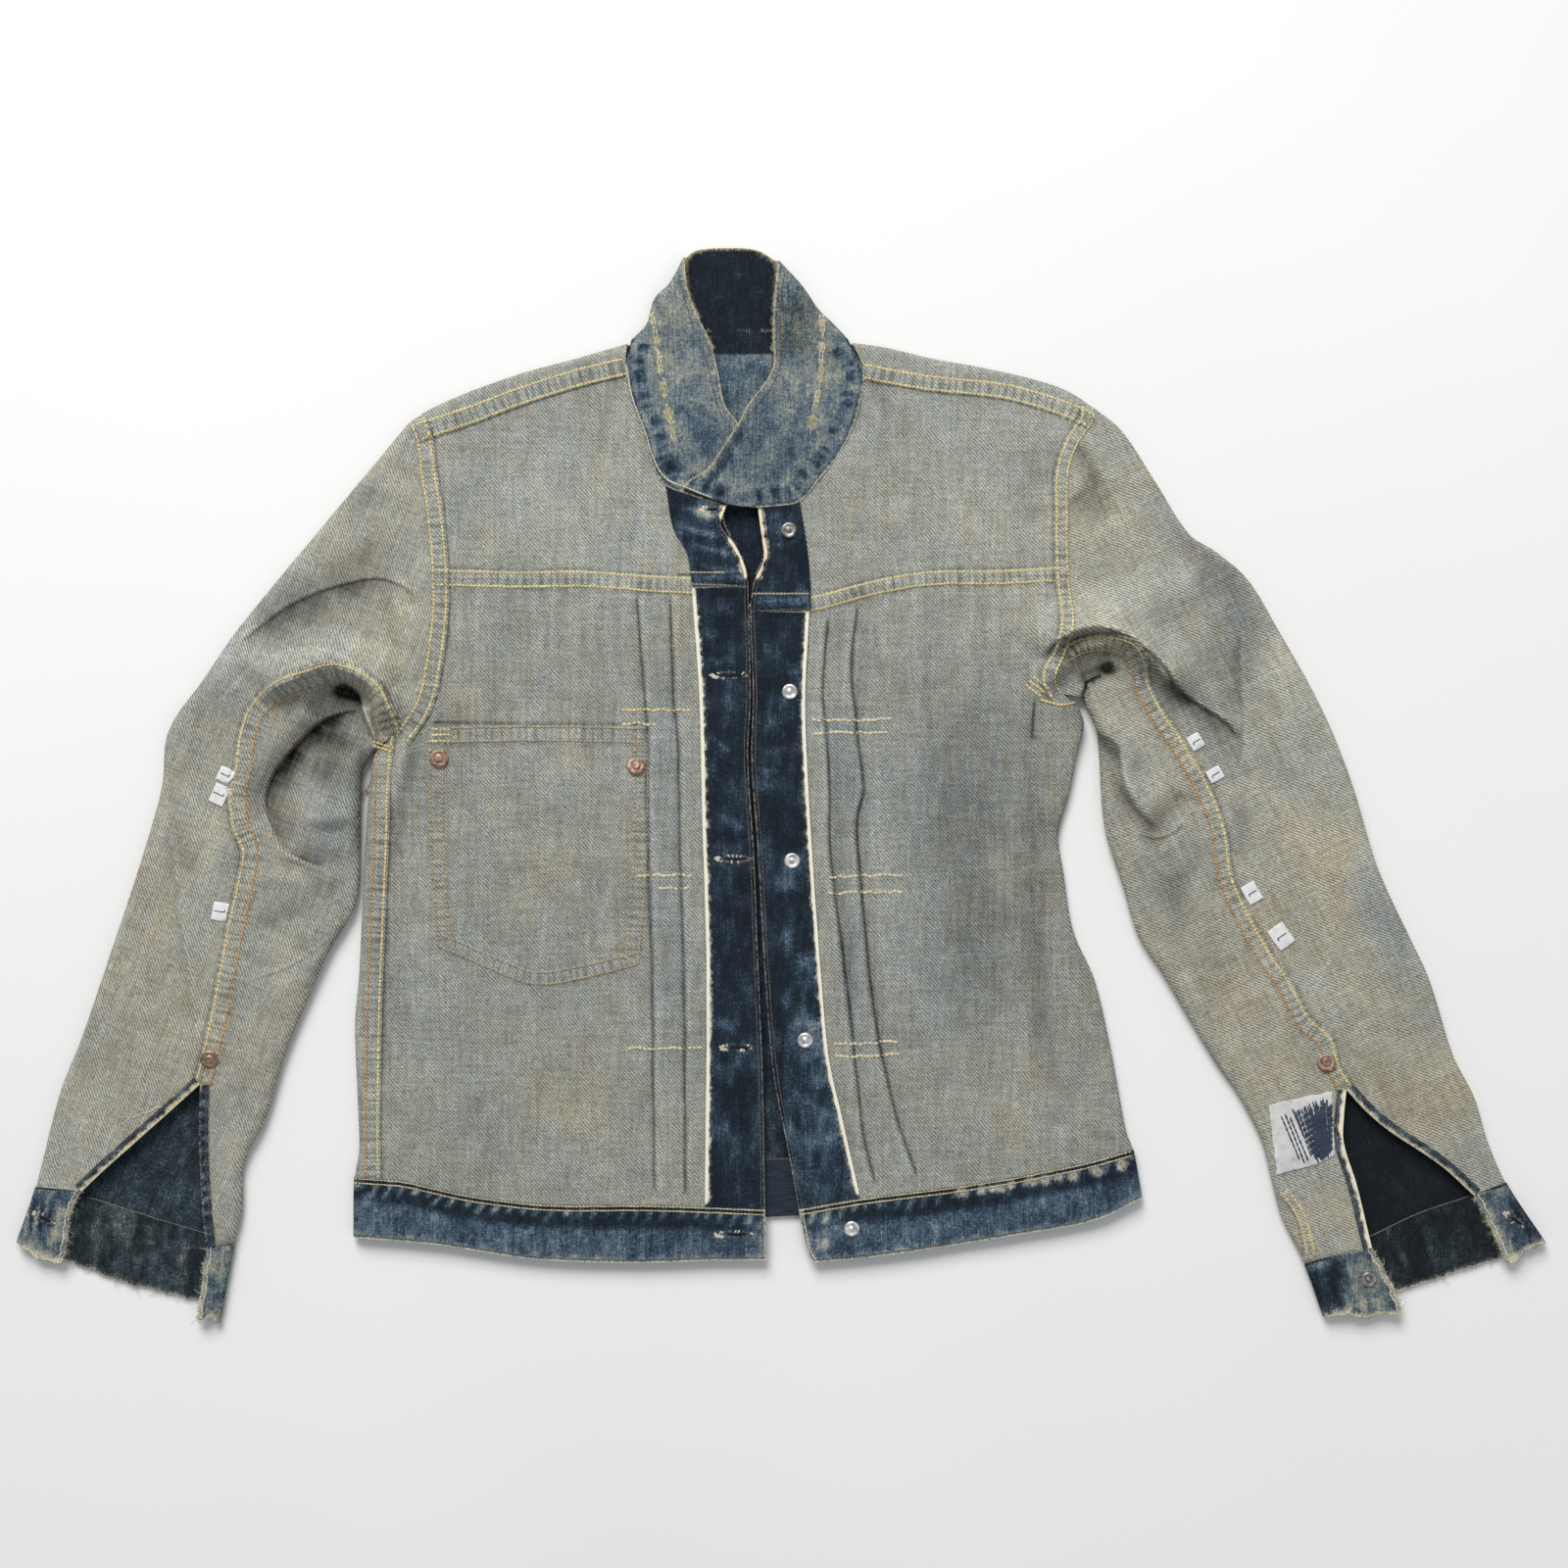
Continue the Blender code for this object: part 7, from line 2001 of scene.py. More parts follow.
def make_sleeves(cloth):
    left_outer = [
        sleeve_layer(
            edge(ARMHOLE_LEFT, 0, 9),
            edge(SLEEVE_SEAM_LEFT),
            edge(SLIT_LEFT_OUTER),
            fold(OUTER_LEFT, 13, 0),
        ),
        floor_layer(
            fold(OUTER_LEFT, 0, 13),
            edge(CUFF_SEAM_LEFT, 0, 3),
            edge(UNDER_SEAM_LEFT, -1, 0),
            edge(BACK_ARMHOLE_LEFT, 4, 0),
            lift=sleeve_lift,
        ),
    ]
    left_inner = [
        sleeve_layer(edge(SLEEVE_SEAM_LEFT), edge(SLIT_LEFT_INNER), fold(INNER_LEFT, 11, 0)),
        floor_layer(
            fold(INNER_LEFT, 0, 11),
            edge(CUFF_SEAM_LEFT, 4, 3),
            edge(UNDER_SEAM_LEFT, -1, 0),
            edge(BACK_ARMHOLE_LEFT, 4, 6),
            lift=sleeve_lift,
        ),
    ]
    right_outer = [
        sleeve_layer(
            edge(ARMHOLE_RIGHT, 0, 7),
            edge(SLEEVE_SEAM_RIGHT),
            edge(SLIT_RIGHT_OUTER),
            fold(OUTER_RIGHT, 15, 0),
        ),
        floor_layer(
            fold(OUTER_RIGHT, 0, 15),
            edge(CUFF_SEAM_RIGHT, 0, 4),
            edge(UNDER_SEAM_RIGHT, -1, 0),
            edge(BACK_ARMHOLE_RIGHT, 4, 0),
            lift=sleeve_lift,
        ),
    ]
    right_inner = [
        sleeve_layer(
            edge(SLEEVE_SEAM_RIGHT),
            edge(SLIT_RIGHT_INNER),
            fold(INNER_RIGHT, 13, 0),
            edge(ARMHOLE_RIGHT, 9, 7),
        ),
        floor_layer(
            fold(INNER_RIGHT, 0, 13),
            edge(CUFF_SEAM_RIGHT, 5, 4),
            edge(UNDER_SEAM_RIGHT, -1, 0),
            edge(BACK_ARMHOLE_RIGHT, 4, 6),
            lift=sleeve_lift,
        ),
    ]
    left = wrong_side_painter(SLEEVE_GRAIN_LEFT, 0.34)
    right = wrong_side_painter(SLEEVE_GRAIN_RIGHT, 0.4, 0.03)
    pieces = {
        "left_sleeve_top": (left_outer, left, "outer outer_elbow outer_lower under under_lower"),
        "left_sleeve_under": (left_inner, left, "inner inner_under"),
        "right_sleeve_top": (right_outer, right, "outer under"),
        "right_sleeve_under": (right_inner, right, "inner inner_lower inner_under"),
    }
    for name, (layers, paint, parts) in pieces.items():
        nodes = [f"sleeve_{name.split('_')[0]}_{part}" for part in parts.split()]
        cloth_piece(name, nodes, layers, cloth, paint)


def make_facings(cloth):
    over = CLOTH + OVERLAY
    pieces = {
        "facing_upper_left": (
            edge(NECK_LEFT, 5, 8),
            edge(FRONT_EDGE_LEFT, 0, 4),
            edge(FACING_UPPER_EDGE_LEFT, -1, 0),
        ),
        "facing_upper_right": (
            edge(NECK_RIGHT, 6, 8),
            edge(FRONT_EDGE_RIGHT, 0, 4),
            edge(FACING_UPPER_EDGE_RIGHT, -1, 0),
        ),
        "facing_left": (
            edge(FRONT_EDGE_LEFT, 4, 9),
            edge(FACING_FOOT_LEFT, -1, 0),
            edge(FACING_EDGE_LEFT, -1, 0),
        ),
        "facing_right": (
            edge(FRONT_EDGE_RIGHT, 4, 10),
            edge(FACING_FOOT_RIGHT, -1, 0),
            edge(FACING_EDGE_RIGHT, -1, 0),
        ),
    }
    for name, stretches in pieces.items():
        layer = body_layer(*stretches, offset=over, step=FACING_STEP)
        paint = right_side_painter(facing_fade)
        cloth_piece("front_" + name, [name], [layer], cloth, paint)


def band_layer(*stretches, lift=band_lift, folds=BODY_FOLDS, step=BAND_STEP, upper=True):
    """A layer of a doubled band, which is thicker and lies smooth."""
    return Layer(stretches, lift, folds, upper=upper, wall=BAND, step=step, shaped=False)


def make_waistband(cloth):
    left = band_layer(
        fold(SIDE_LEFT, 7, 8),
        edge(BAND_FOOT_LEFT, -1, 0),
        edge(BAND_END_LEFT, -1, 0),
        edge(HEM_LEFT),
    )
    right = band_layer(
        fold(SIDE_RIGHT, 10, 11),
        edge(BAND_FOOT_RIGHT, -1, 0),
        edge(BAND_END_RIGHT, -1, 0),
        edge(HEM_RIGHT),
    )
    floor = floor_layer(
        fold(SIDE_LEFT, 7, 8),
        edge(BAND_FOOT_BACK),
        fold(SIDE_RIGHT, 11, 10),
        edge(BACK_HEM, -1, 0),
        lift=band_lift,
        wall=BAND,
    )
    paint = right_side_painter(band_fade)
    cloth_piece("hem_waistband", ["waistband"], [floor, left, right], cloth, paint)


def make_collar(cloth):
    back = band_layer(
        fold(COLLAR_FOLD_LEFT),
        edge(COLLAR_FOOT_BACK),
        fold(COLLAR_FOLD_RIGHT, -1, 0),
        edge(COLLAR_TOP, -1, 0),
        lift=collar_back_lift,
        folds=COLLAR_FOLDS,
        step=COLLAR_BACK_STEP,
        upper=False,
    )
    left = band_layer(
        fold(COLLAR_FOLD_LEFT),
        edge(NECK_LEFT, 1, -1),
        edge(RIM_LEFT, -1, 0),
        lift=collar_left_lift,
        folds=COLLAR_FOLDS,
        step=COLLAR_STEP,
    )
    right = band_layer(
        fold(COLLAR_FOLD_RIGHT),
        edge(NECK_RIGHT, 1, -1),
        edge(COLLAR_LAP_FOOT, -1, 0),
        edge(RIM_RIGHT, -1, 0),
        lift=collar_right_lift,
        folds=COLLAR_FOLDS,
        step=COLLAR_STEP,
    )
    paint = right_side_painter(collar_fade)
    cloth_piece("neck_collar", ["collar"], [back, left, right], cloth, paint)


def cuff_layer(*stretches, upper=True):
    return band_layer(*stretches, lift=cuff_lift, upper=upper)


def make_cuffs(cloth):
    left = [
        cuff_layer(
            fold(OUTER_LEFT, 13, 14),
            edge(CUFF_FOOT_LEFT),
            fold(INNER_LEFT, 12, 11),
            edge(CUFF_SEAM_LEFT, 4, 0),
            upper=False,
        ),
        cuff_layer(fold(OUTER_LEFT, 13, 14), edge(TAB_FOOT_LEFT_OUTER, -1, 0)),
        cuff_layer(fold(INNER_LEFT, 11, 12), edge(TAB_FOOT_LEFT_INNER, -1, 0)),
    ]
    right = [
        cuff_layer(
            fold(OUTER_RIGHT, 15, 16),
            edge(CUFF_FOOT_RIGHT),
            fold(INNER_RIGHT, 14, 13),
            edge(CUFF_SEAM_RIGHT, 5, 0),
            upper=False,
        ),
        cuff_layer(fold(OUTER_RIGHT, 15, 16), edge(TAB_FOOT_RIGHT_OUTER, -1, 0)),
        cuff_layer(fold(INNER_RIGHT, 13, 14), edge(TAB_FOOT_RIGHT_INNER, -1, 0)),
    ]
    paint = right_side_painter(cuff_fade)
    cloth_piece("left_cuff", ["cuff_left"], left, cloth, paint)
    cloth_piece("right_cuff", ["cuff_right"], right, cloth, paint)


def make_slit_strips(cloth):
    strips = {
        "slit_strip_left_outer": (SLIT_LEFT_OUTER, -1),
        "slit_strip_left_inner": (SLIT_LEFT_INNER, 1),
        "slit_strip_right_outer": (SLIT_RIGHT_OUTER, 1),
        "slit_strip_right_inner": (SLIT_RIGHT_INNER, -1),
    }
    for name, (line, side) in strips.items():
        near = run(line)
        far = near + side * STRIP_WIDTH * across_line(near)
        outline = [(near, False), (far[::-1], False)]
        layer = sleeve_layer(*outline, offset=CLOTH + OVERLAY, step=STRIP_STEP)
        paint = right_side_painter(strip_fade)
        cloth_piece("cuff_" + name, [name], [layer], cloth, paint)


def make_pocket(cloth):
    outline = [edge(POCKET), (np.array([POCKET[-1], POCKET[0]], float), False)]
    layer = body_layer(*outline, offset=-(CLOTH + POCKET_DROP), step=POCKET_STEP, shaped=False)
    cloth_piece("chest_pocket", ["pocket"], [layer], cloth, wrong_side_painter())


# Stitches, fray and fittings

LAYERS = {}


def named_layers():
    """The surfaces that stitches and fittings stand on."""
    over = CLOTH + OVERLAY
    band = {"wall": BAND, "shaped": False}
    LAYERS.update(
        body=Layer([], body_lift, BODY_FOLDS),
        sleeve=Layer([], sleeve_lift, BODY_FOLDS),
        facing=Layer([], body_lift, BODY_FOLDS, offset=over),
        strip=Layer([], sleeve_lift, BODY_FOLDS, offset=over),
        band=Layer([], band_lift, BODY_FOLDS, **band),
        cuff=Layer([], cuff_lift, BODY_FOLDS, **band),
        collar_left=Layer([], collar_left_lift, COLLAR_FOLDS, **band),
        collar_right=Layer([], collar_right_lift, COLLAR_FOLDS, **band),
        under_body=Layer([], body_lift, BODY_FOLDS, upper=False),
        under_sleeve=Layer([], sleeve_lift, BODY_FOLDS, upper=False),
        under_band=Layer([], band_lift, BODY_FOLDS, upper=False, wall=BAND),
        under_cuff=Layer([], cuff_lift, BODY_FOLDS, upper=False, **band),
    )


SLOPE_STEP = 0.35
STEEPEST = 3.0


def on_surface(xy, layer):
    """Points on the outer face of a layer and the way out of it."""
    height = wall_height(xy, layer)
    slope_x = (wall_height(xy + [SLOPE_STEP, 0], layer) - height) / SLOPE_STEP
    slope_y = (wall_height(xy + [0, SLOPE_STEP], layer) - height) / SLOPE_STEP
    side = 1.0 if layer.upper else -1.0
    slopes = -side * np.clip(np.stack([slope_x, slope_y], 1), -STEEPEST, STEEPEST)
    out = np.concatenate([slopes, np.full((len(xy), 1), side)], 1)
    out /= np.linalg.norm(out, axis=1)[:, None]
    return np.concatenate([xy, height[:, None]], 1) + out * layer.wall / 2, out


SEWN = []  # each: surface, thread, plan points, plan ways, lengths


def sew_spots(surface, thread, xy, way, length):
    xy, way = np.atleast_2d(xy).astype(float), np.atleast_2d(way).astype(float)
    way = np.broadcast_to(way, xy.shape)
    SEWN.append((surface, thread, xy, way, np.broadcast_to(float(length), len(xy)).copy()))


def spots_along(line, pitch):
    """Points at even steps along a line, with the way of the line there."""
    leg = leg_lengths(line)
    before = np.concatenate([[0], np.cumsum(leg)])
    places = np.arange(pitch / 2, before[-1], pitch)
    xy = np.stack([np.interp(places, before, line[:, k]) for k in (0, 1)], 1)
    ahead = np.stack([np.interp(places + 0.3, before, line[:, k]) for k in (0, 1)], 1)
    behind = np.stack([np.interp(places - 0.3, before, line[:, k]) for k in (0, 1)], 1)
    way = ahead - behind
    return xy, way / np.maximum(np.hypot(*way.T), 1e-9)[:, None]


def sew_row(
    surface, thread, points, offset=0.0, pitch=STITCH, first=0, last=-1, slant=0.0, wander=0.12, kept=1.0
):
    """A row of stitches beside a named line, a little uneven, with a share of them still there."""
    line = run(points, first, last, step=FINE_STEP)
    drawn = (offset + wander * soft_noise(line, 3.1, 93))[:, None]
    xy, way = spots_along(line + across_line(line) * drawn, pitch)
    turned = np.stack([way[:, 0] - slant * way[:, 1], way[:, 1] + slant * way[:, 0]], 1)
    left = soft_noise(xy, 4.0, 97) < 2 * kept - 1
    sew_spots(surface, thread, xy[left], turned[left], 1.25 * pitch)


PLEAT_TACKS = [
    (plan((634, 724), (704, 724)), "gold"),
    (plan((634, 738), (669, 738)), "pale"),
    (plan((650, 893), (704, 893)), "pale"),
    (plan((672, 907), (704, 907)), "pale"),
    (plan((640, 1070), (715, 1070)), "pale"),
    (plan((828, 735), (910, 734)), "pale"),
    (plan((830, 748), (908, 747)), "pale"),
    (plan((845, 895), (920, 893)), "pale"),
    (plan((845, 912), (918, 910)), "pale"),
    (plan((850, 1066), (915, 1063)), "pale"),
    (plan((852, 1079), (917, 1076)), "pale"),
]
FACING_HEMS = [plan((690, 584), (740, 584)), plan((768, 606), (826, 606))]
# Short rows close together that hold the ends of seams and the pocket's corner
BAR_ROWS = [
    ("sleeve", plan((381, 757), (403, 764))),
    ("sleeve", plan((382, 761), (402, 768))),
    ("body", plan((1046, 699), (1063, 711))),
    ("body", plan((1050, 695), (1067, 707))),
    ("body", plan((1054, 691), (1071, 703))),
    ("sleeve", plan((1062, 714), (1080, 719), (1098, 717))),
    ("body", plan((440, 744), (462, 744))),
    ("body", plan((440, 750), (462, 750))),
    ("body", plan((440, 757), (462, 757))),
]
# Beside the foot of the collar's left end, sewn at the heights of both ends
COLLAR_NECK_ROW = plan(
    (640, 376), (645, 404), (658, 441), (668, 472), (681, 489), (703, 499), (728, 509),
)
COLLAR_EDGE_ROWS = [
    plan((694, 284), (700, 310), (712, 345), (722, 372), (728, 400), (736, 424)),
    plan((800, 280), (797, 310), (796, 345), (796, 372), (786, 398), (768, 420), (745, 456), (728, 486)),
]
SLIT_END_ROWS = [
    (SLIT_LEFT_OUTER, -1.6),
    (SLIT_LEFT_INNER, 1.6),
    (SLIT_RIGHT_OUTER, 1.6),
    (SLIT_RIGHT_INNER, -1.6),
]


def sew_everything():
    sleeve_lines = (SLEEVE_SEAM_LEFT, SLEEVE_SEAM_RIGHT, SECOND_SEAM_RIGHT)
    for line, offset, thread in SEAM_ROWS:
        surface = "sleeve" if any(line is other for other in sleeve_lines) else "body"
        sew_row(surface, thread, line, offset, slant=0.12)
    for offset in (0.0, -8.4):
        sew_row("body", "tan", POCKET_TOP, offset, 2.9)
    for line, inward in zip(POCKET_SIDES, (1, -1)):
        for offset in (0.0, 7.4):
            sew_row("body", "tan", line, inward * offset, 2.9)
    for offset in (0.0, 7.0):
        sew_row("body", "tan", POCKET_FOOT, offset, 2.9)
    for line, thread in PLEAT_TACKS:
        sew_row("body", thread, line, 0.0, 3.1, wander=0.8)
    for line in FACING_HEMS:
        sew_row("facing", "tan", line, 0.0, 2.3)
    for line, side in ((FRONT_EDGE_LEFT, -1.7), (FRONT_EDGE_RIGHT, 1.7)):
        sew_row("facing", "rust", line, 1.4 * side, 2.6)
    for line in (HEM_LEFT, HEM_RIGHT):
        for offset in (0.8, 3.4):
            sign = 1 if line is HEM_LEFT else -1
            sew_row("band", "hem", line, sign * offset, 2.2)
    for line, side in ((BAND_FOOT_LEFT, -1.8), (BAND_FOOT_RIGHT, 1.8)):
        sew_row("band", "rust", line, side, 2.6)
    sew_row("band", "rust", BAND_END_LEFT, -2.2, 2.6)
    sew_row("band", "cream", BAND_END_RIGHT, 2.2, 2.6)
    for surface, line in BAR_ROWS:
        sew_row(surface, "gold", line, 0.0, 2.4, wander=0.3)
    for row, inset in SLIT_END_ROWS:
        sew_row("strip", "rust", row, 2.6 * inset, 2.3)
    for surface in ("collar_left", "collar_right"):
        sew_row(surface, "cream", COLLAR_NECK_ROW, 0.0, 2.2)
    sew_row("collar_left", "rust", COLLAR_EDGE_ROWS[0], 0.0, 2.4)
    sew_row("collar_right", "rust", COLLAR_EDGE_ROWS[1], 0.0, 2.4)
    cuffs = (
        (TAB_FOOT_LEFT_OUTER, -2.6),
        (TAB_FOOT_LEFT_INNER, 2.6),
        (TAB_FOOT_RIGHT_OUTER, 2.6),
        (TAB_FOOT_RIGHT_INNER, -2.6),
    )
    for line, offset in cuffs:
        sew_row("cuff", "cream", line, offset, 2.4, 0, 2)
    for line, offsets in (
        (BACK_ARMHOLE_LEFT, (2.0, 8.6)),
        (BACK_ARMHOLE_RIGHT, (-2.0, -8.6)),
        (BACK_SIDE_SEAM_RIGHT, (2.0, 8.4)),
        (BACK_NECK, (-3.0,)),
    ):
        for offset in offsets:
            sew_row("under_body", "gold", line, offset, 2.8)
    for line, offsets in ((UNDER_SEAM_LEFT, (2.0, 8.0)), (UNDER_SEAM_RIGHT, (-2.0, -8.0))):
        for offset in offsets:
            sew_row("under_sleeve", "orange", line, offset, 2.8)
    for offset in (0.8, 3.4):
        sew_row("under_band", "hem", BACK_HEM, -offset, 2.4)
        sew_row("under_cuff", "hem", CUFF_SEAM_LEFT, -offset, 2.4)
        sew_row("under_cuff", "hem", CUFF_SEAM_RIGHT, offset, 2.4)
    for surface, line in zip(("collar_left", "collar_right"), COLLAR_SCUFFS):
        for offset in (-1.0, 0.9):
            sew_row(surface, "cream", line, offset, 2.8, wander=1.3, kept=0.4)
    sew_row("sleeve", "cream", plan((124, 1146), (140, 1138), (164, 1129)), 0.0, 2.0, wander=1.4, kept=0.7)


def tree_input(tree, name, kind, value=None):
    socket = tree.interface.new_socket(name, in_out="INPUT", socket_type=kind)
    if value is not None:
        socket.default_value = value
    return socket


def stitch_tree():
    """Geometry nodes that lay one stitch on every spot, along its way and out of the cloth."""
    tree = bpy.data.node_groups.new("stitches", "GeometryNodeTree")
    tree_input(tree, "Spots", "NodeSocketGeometry")
    tree_input(tree, "Thread width", "NodeSocketFloat", 1.0 * MM)
    tree_input(tree, "Thread height", "NodeSocketFloat", THREAD * MM)
    tree_input(tree, "Unevenness", "NodeSocketFloat", 0.18)
    tree_input(tree, "Seed", "NodeSocketInt", 7)
    tree_input(tree, "Thread", "NodeSocketMaterial")
    tree.interface.new_socket("Stitches", in_out="OUTPUT", socket_type="NodeSocketGeometry")
    nodes, links = tree.nodes, tree.links
    given = nodes.new("NodeGroupInput")
    result = nodes.new("NodeGroupOutput")
    shape = nodes.new("GeometryNodeMeshUVSphere")
    shape.inputs["Segments"].default_value = 6
    shape.inputs["Rings"].default_value = 4
    shape.inputs["Radius"].default_value = 0.5
    smooth_shape = nodes.new("GeometryNodeSetShadeSmooth")
    links.new(shape.outputs["Mesh"], smooth_shape.inputs["Geometry"])
    read = {}
    for name, kind in (("out", "FLOAT_VECTOR"), ("way", "FLOAT_VECTOR"), ("long", "FLOAT")):
        read[name] = nodes.new("GeometryNodeInputNamedAttribute")
        read[name].data_type = kind
        read[name].inputs["Name"].default_value = name
    turn = nodes.new("FunctionNodeAxesToRotation")
    turn.primary_axis = "Z"
    turn.secondary_axis = "X"
    links.new(read["out"].outputs["Attribute"], turn.inputs["Primary Axis"])
    links.new(read["way"].outputs["Attribute"], turn.inputs["Secondary Axis"])
    chance = nodes.new("FunctionNodeRandomValue")
    chance.data_type = "FLOAT_VECTOR"
    links.new(given.outputs["Seed"], chance.inputs["Seed"])
    chance.inputs["Min"].default_value = (-1.0, -1.0, -1.0)
    uneven = nodes.new("ShaderNodeVectorMath")
    uneven.operation = "MULTIPLY_ADD"
    links.new(chance.outputs["Value"], uneven.inputs[0])
    links.new(given.outputs["Unevenness"], uneven.inputs[1])
    uneven.inputs[2].default_value = (1.0, 1.0, 1.0)
    sizes = nodes.new("ShaderNodeCombineXYZ")
    links.new(read["long"].outputs["Attribute"], sizes.inputs["X"])
    links.new(given.outputs["Thread width"], sizes.inputs["Y"])
    links.new(given.outputs["Thread height"], sizes.inputs["Z"])
    scale = nodes.new("ShaderNodeVectorMath")
    scale.operation = "MULTIPLY"
    links.new(sizes.outputs[0], scale.inputs[0])
    links.new(uneven.outputs[0], scale.inputs[1])
    place = nodes.new("GeometryNodeInstanceOnPoints")
    links.new(given.outputs["Spots"], place.inputs["Points"])
    links.new(smooth_shape.outputs[0], place.inputs["Instance"])
    links.new(turn.outputs["Rotation"], place.inputs["Rotation"])
    links.new(scale.outputs[0], place.inputs["Scale"])
    plain = nodes.new("GeometryNodeRealizeInstances")
    links.new(place.outputs["Instances"], plain.inputs["Geometry"])
    paint = nodes.new("GeometryNodeSetMaterial")
    links.new(plain.outputs["Geometry"], paint.inputs["Geometry"])
    links.new(given.outputs["Thread"], paint.inputs["Material"])
    links.new(paint.outputs["Geometry"], result.inputs[0])
    return tree


def grown(name, source, tree, given):
    """What a node tree makes of a mesh of spots, as a plain mesh of its own."""
    modifier = source.modifiers.new("stitches", "NODES")
    modifier.node_group = tree
    for item in tree.interface.items_tree:
        if item.item_type == "SOCKET" and item.in_out == "INPUT" and item.name in given:
            modifier[item.identifier] = given[item.name]
    graph = bpy.context.evaluated_depsgraph_get()
    mesh = bpy.data.meshes.new_from_object(source.evaluated_get(graph), depsgraph=graph)
    mesh.name = name
    source.modifiers.clear()
    bpy.data.objects.remove(source)
    for key in [a.name for a in mesh.attributes if a.name in ("out", "way", "long")]:
        mesh.attributes.remove(mesh.attributes[key])
    piece = bpy.data.objects.new(name, mesh)
    bpy.context.scene.collection.objects.link(piece)
    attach(piece, "root")
    return piece


def sew(threads):
    """Lays all the stitches, one mesh for each thread."""
    tree = stitch_tree()
    found = {}
    for surface in sorted({row[0] for row in SEWN}):
        rows = [row for row in SEWN if row[0] == surface]
        xy = np.concatenate([row[2] for row in rows])
        spots, out = on_surface(xy, LAYERS[surface])
        start = 0
        for _, thread, points, way, length in rows:
            part = slice(start, start + len(points))
            start += len(points)
            way = np.concatenate([way, np.zeros((len(way), 1))], 1)
            way = way - out[part] * (way * out[part]).sum(1)[:, None]
            way /= np.maximum(np.linalg.norm(way, axis=1), 1e-9)[:, None]
            lift = out[part] * THREAD * 0.22
            found.setdefault(thread, []).append((spots[part] + lift, out[part], way, length))
    for k, (thread, rows) in enumerate(sorted(found.items())):
        spots, out, way, length = (np.concatenate([row[j] for row in rows]) for j in range(4))
        values = {"out": out, "way": way, "long": length * MM}
        source = build_mesh("spots", spots, np.zeros((0, 3), int), [], None, values)
        width = THREAD_WIDTHS[thread] * MM
        given = {"Thread": threads[thread], "Seed": 7 + k, "Thread width": width}
        piece = grown(f"stitches_{thread}", source, tree, given)


def tubes(name, paths, radius, material, sides=3):
    """Thin strands along paths: an array of strands by points by place."""
    paths = np.asarray(paths, float)
    count, length = paths.shape[:2]
    way = np.gradient(paths, axis=1)
    way /= np.maximum(np.linalg.norm(way, axis=2), 1e-9)[..., None]
    up = np.where(np.abs(way[..., 2:3]) > 0.9, [[[1.0, 0.0, 0.0]]], [[[0.0, 0.0, 1.0]]])
    one = np.cross(way, up)
    one /= np.maximum(np.linalg.norm(one, axis=2), 1e-9)[..., None]
    two = np.cross(way, one)
    thin = np.linspace(1, 0.55, length)[None, :, None] * np.broadcast_to(radius, count)[:, None, None]
    rings = []
    for k in range(sides):
        turn = 2 * math.pi * k / sides
        rings.append(paths + (one * math.cos(turn) + two * math.sin(turn)) * thin)
    points = np.stack(rings, 2).reshape(-1, 3)
    base = (np.arange(count)[:, None] * length + np.arange(length - 1)[None]).ravel() * sides
    faces = []
    for k in range(sides):
        a, b = base + k, base + (k + 1) % sides
        faces += [np.stack([a, b, b + sides], 1), np.stack([a, b + sides, a + sides], 1)]
    first = np.arange(count) * length * sides
    last = first + (length - 1) * sides
    for k in range(1, sides - 1):
        faces += [np.stack([first, first + k + 1, first + k], 1)]
        faces += [np.stack([last, last + k, last + k + 1], 1)]
    piece = build_mesh(name, points, np.concatenate(faces), [material])
    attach(piece, "root")
    return piece


def fray_paths(rng, surface, line, side, per_mm, length, curl=0.9, droop=1.0, lift=0.0, steps=5):
    """Strands that stand out of a worn edge: side is 1 to its left and -1 to its right."""
    points = run(line, step=FINE_STEP) if isinstance(line, list) else line
    xy, way = spots_along(points, 1.0 / per_mm)
    xy = xy + way * rng.uniform(-0.5, 0.5, (len(xy), 1)) / per_mm
    out = np.stack([-way[:, 1], way[:, 0]], 1) * side
    layer = LAYERS[surface]
    root_z = wall_height(xy, layer) + rng.uniform(-0.35, 0.45, len(xy)) * layer.wall + lift
    turn = rng.normal(0, 0.55, len(xy))
    own = rng.uniform(0.35, 1.0, len(xy)) ** 1.3 * length
    bend = rng.normal(0, curl, len(xy))
    share = np.linspace(0, 1, steps)
    paths = np.zeros((len(xy), steps, 3))
    paths[:, 0, :2] = xy - out * 0.5
    paths[:, 0, 2] = root_z
    for k in range(1, steps):
        angle = turn + bend * share[k]
        step_way = out * np.cos(angle)[:, None] + way * np.sin(angle)[:, None]
        paths[:, k, :2] = paths[:, k - 1, :2] + step_way * (own / (steps - 1))[:, None]
        fall = droop * own * share[k] ** 2 * 0.35
        paths[:, k, 2] = np.maximum(root_z - fall + 0.25 * own * share[k] * (bend > 0.6), 0.25)
    return paths


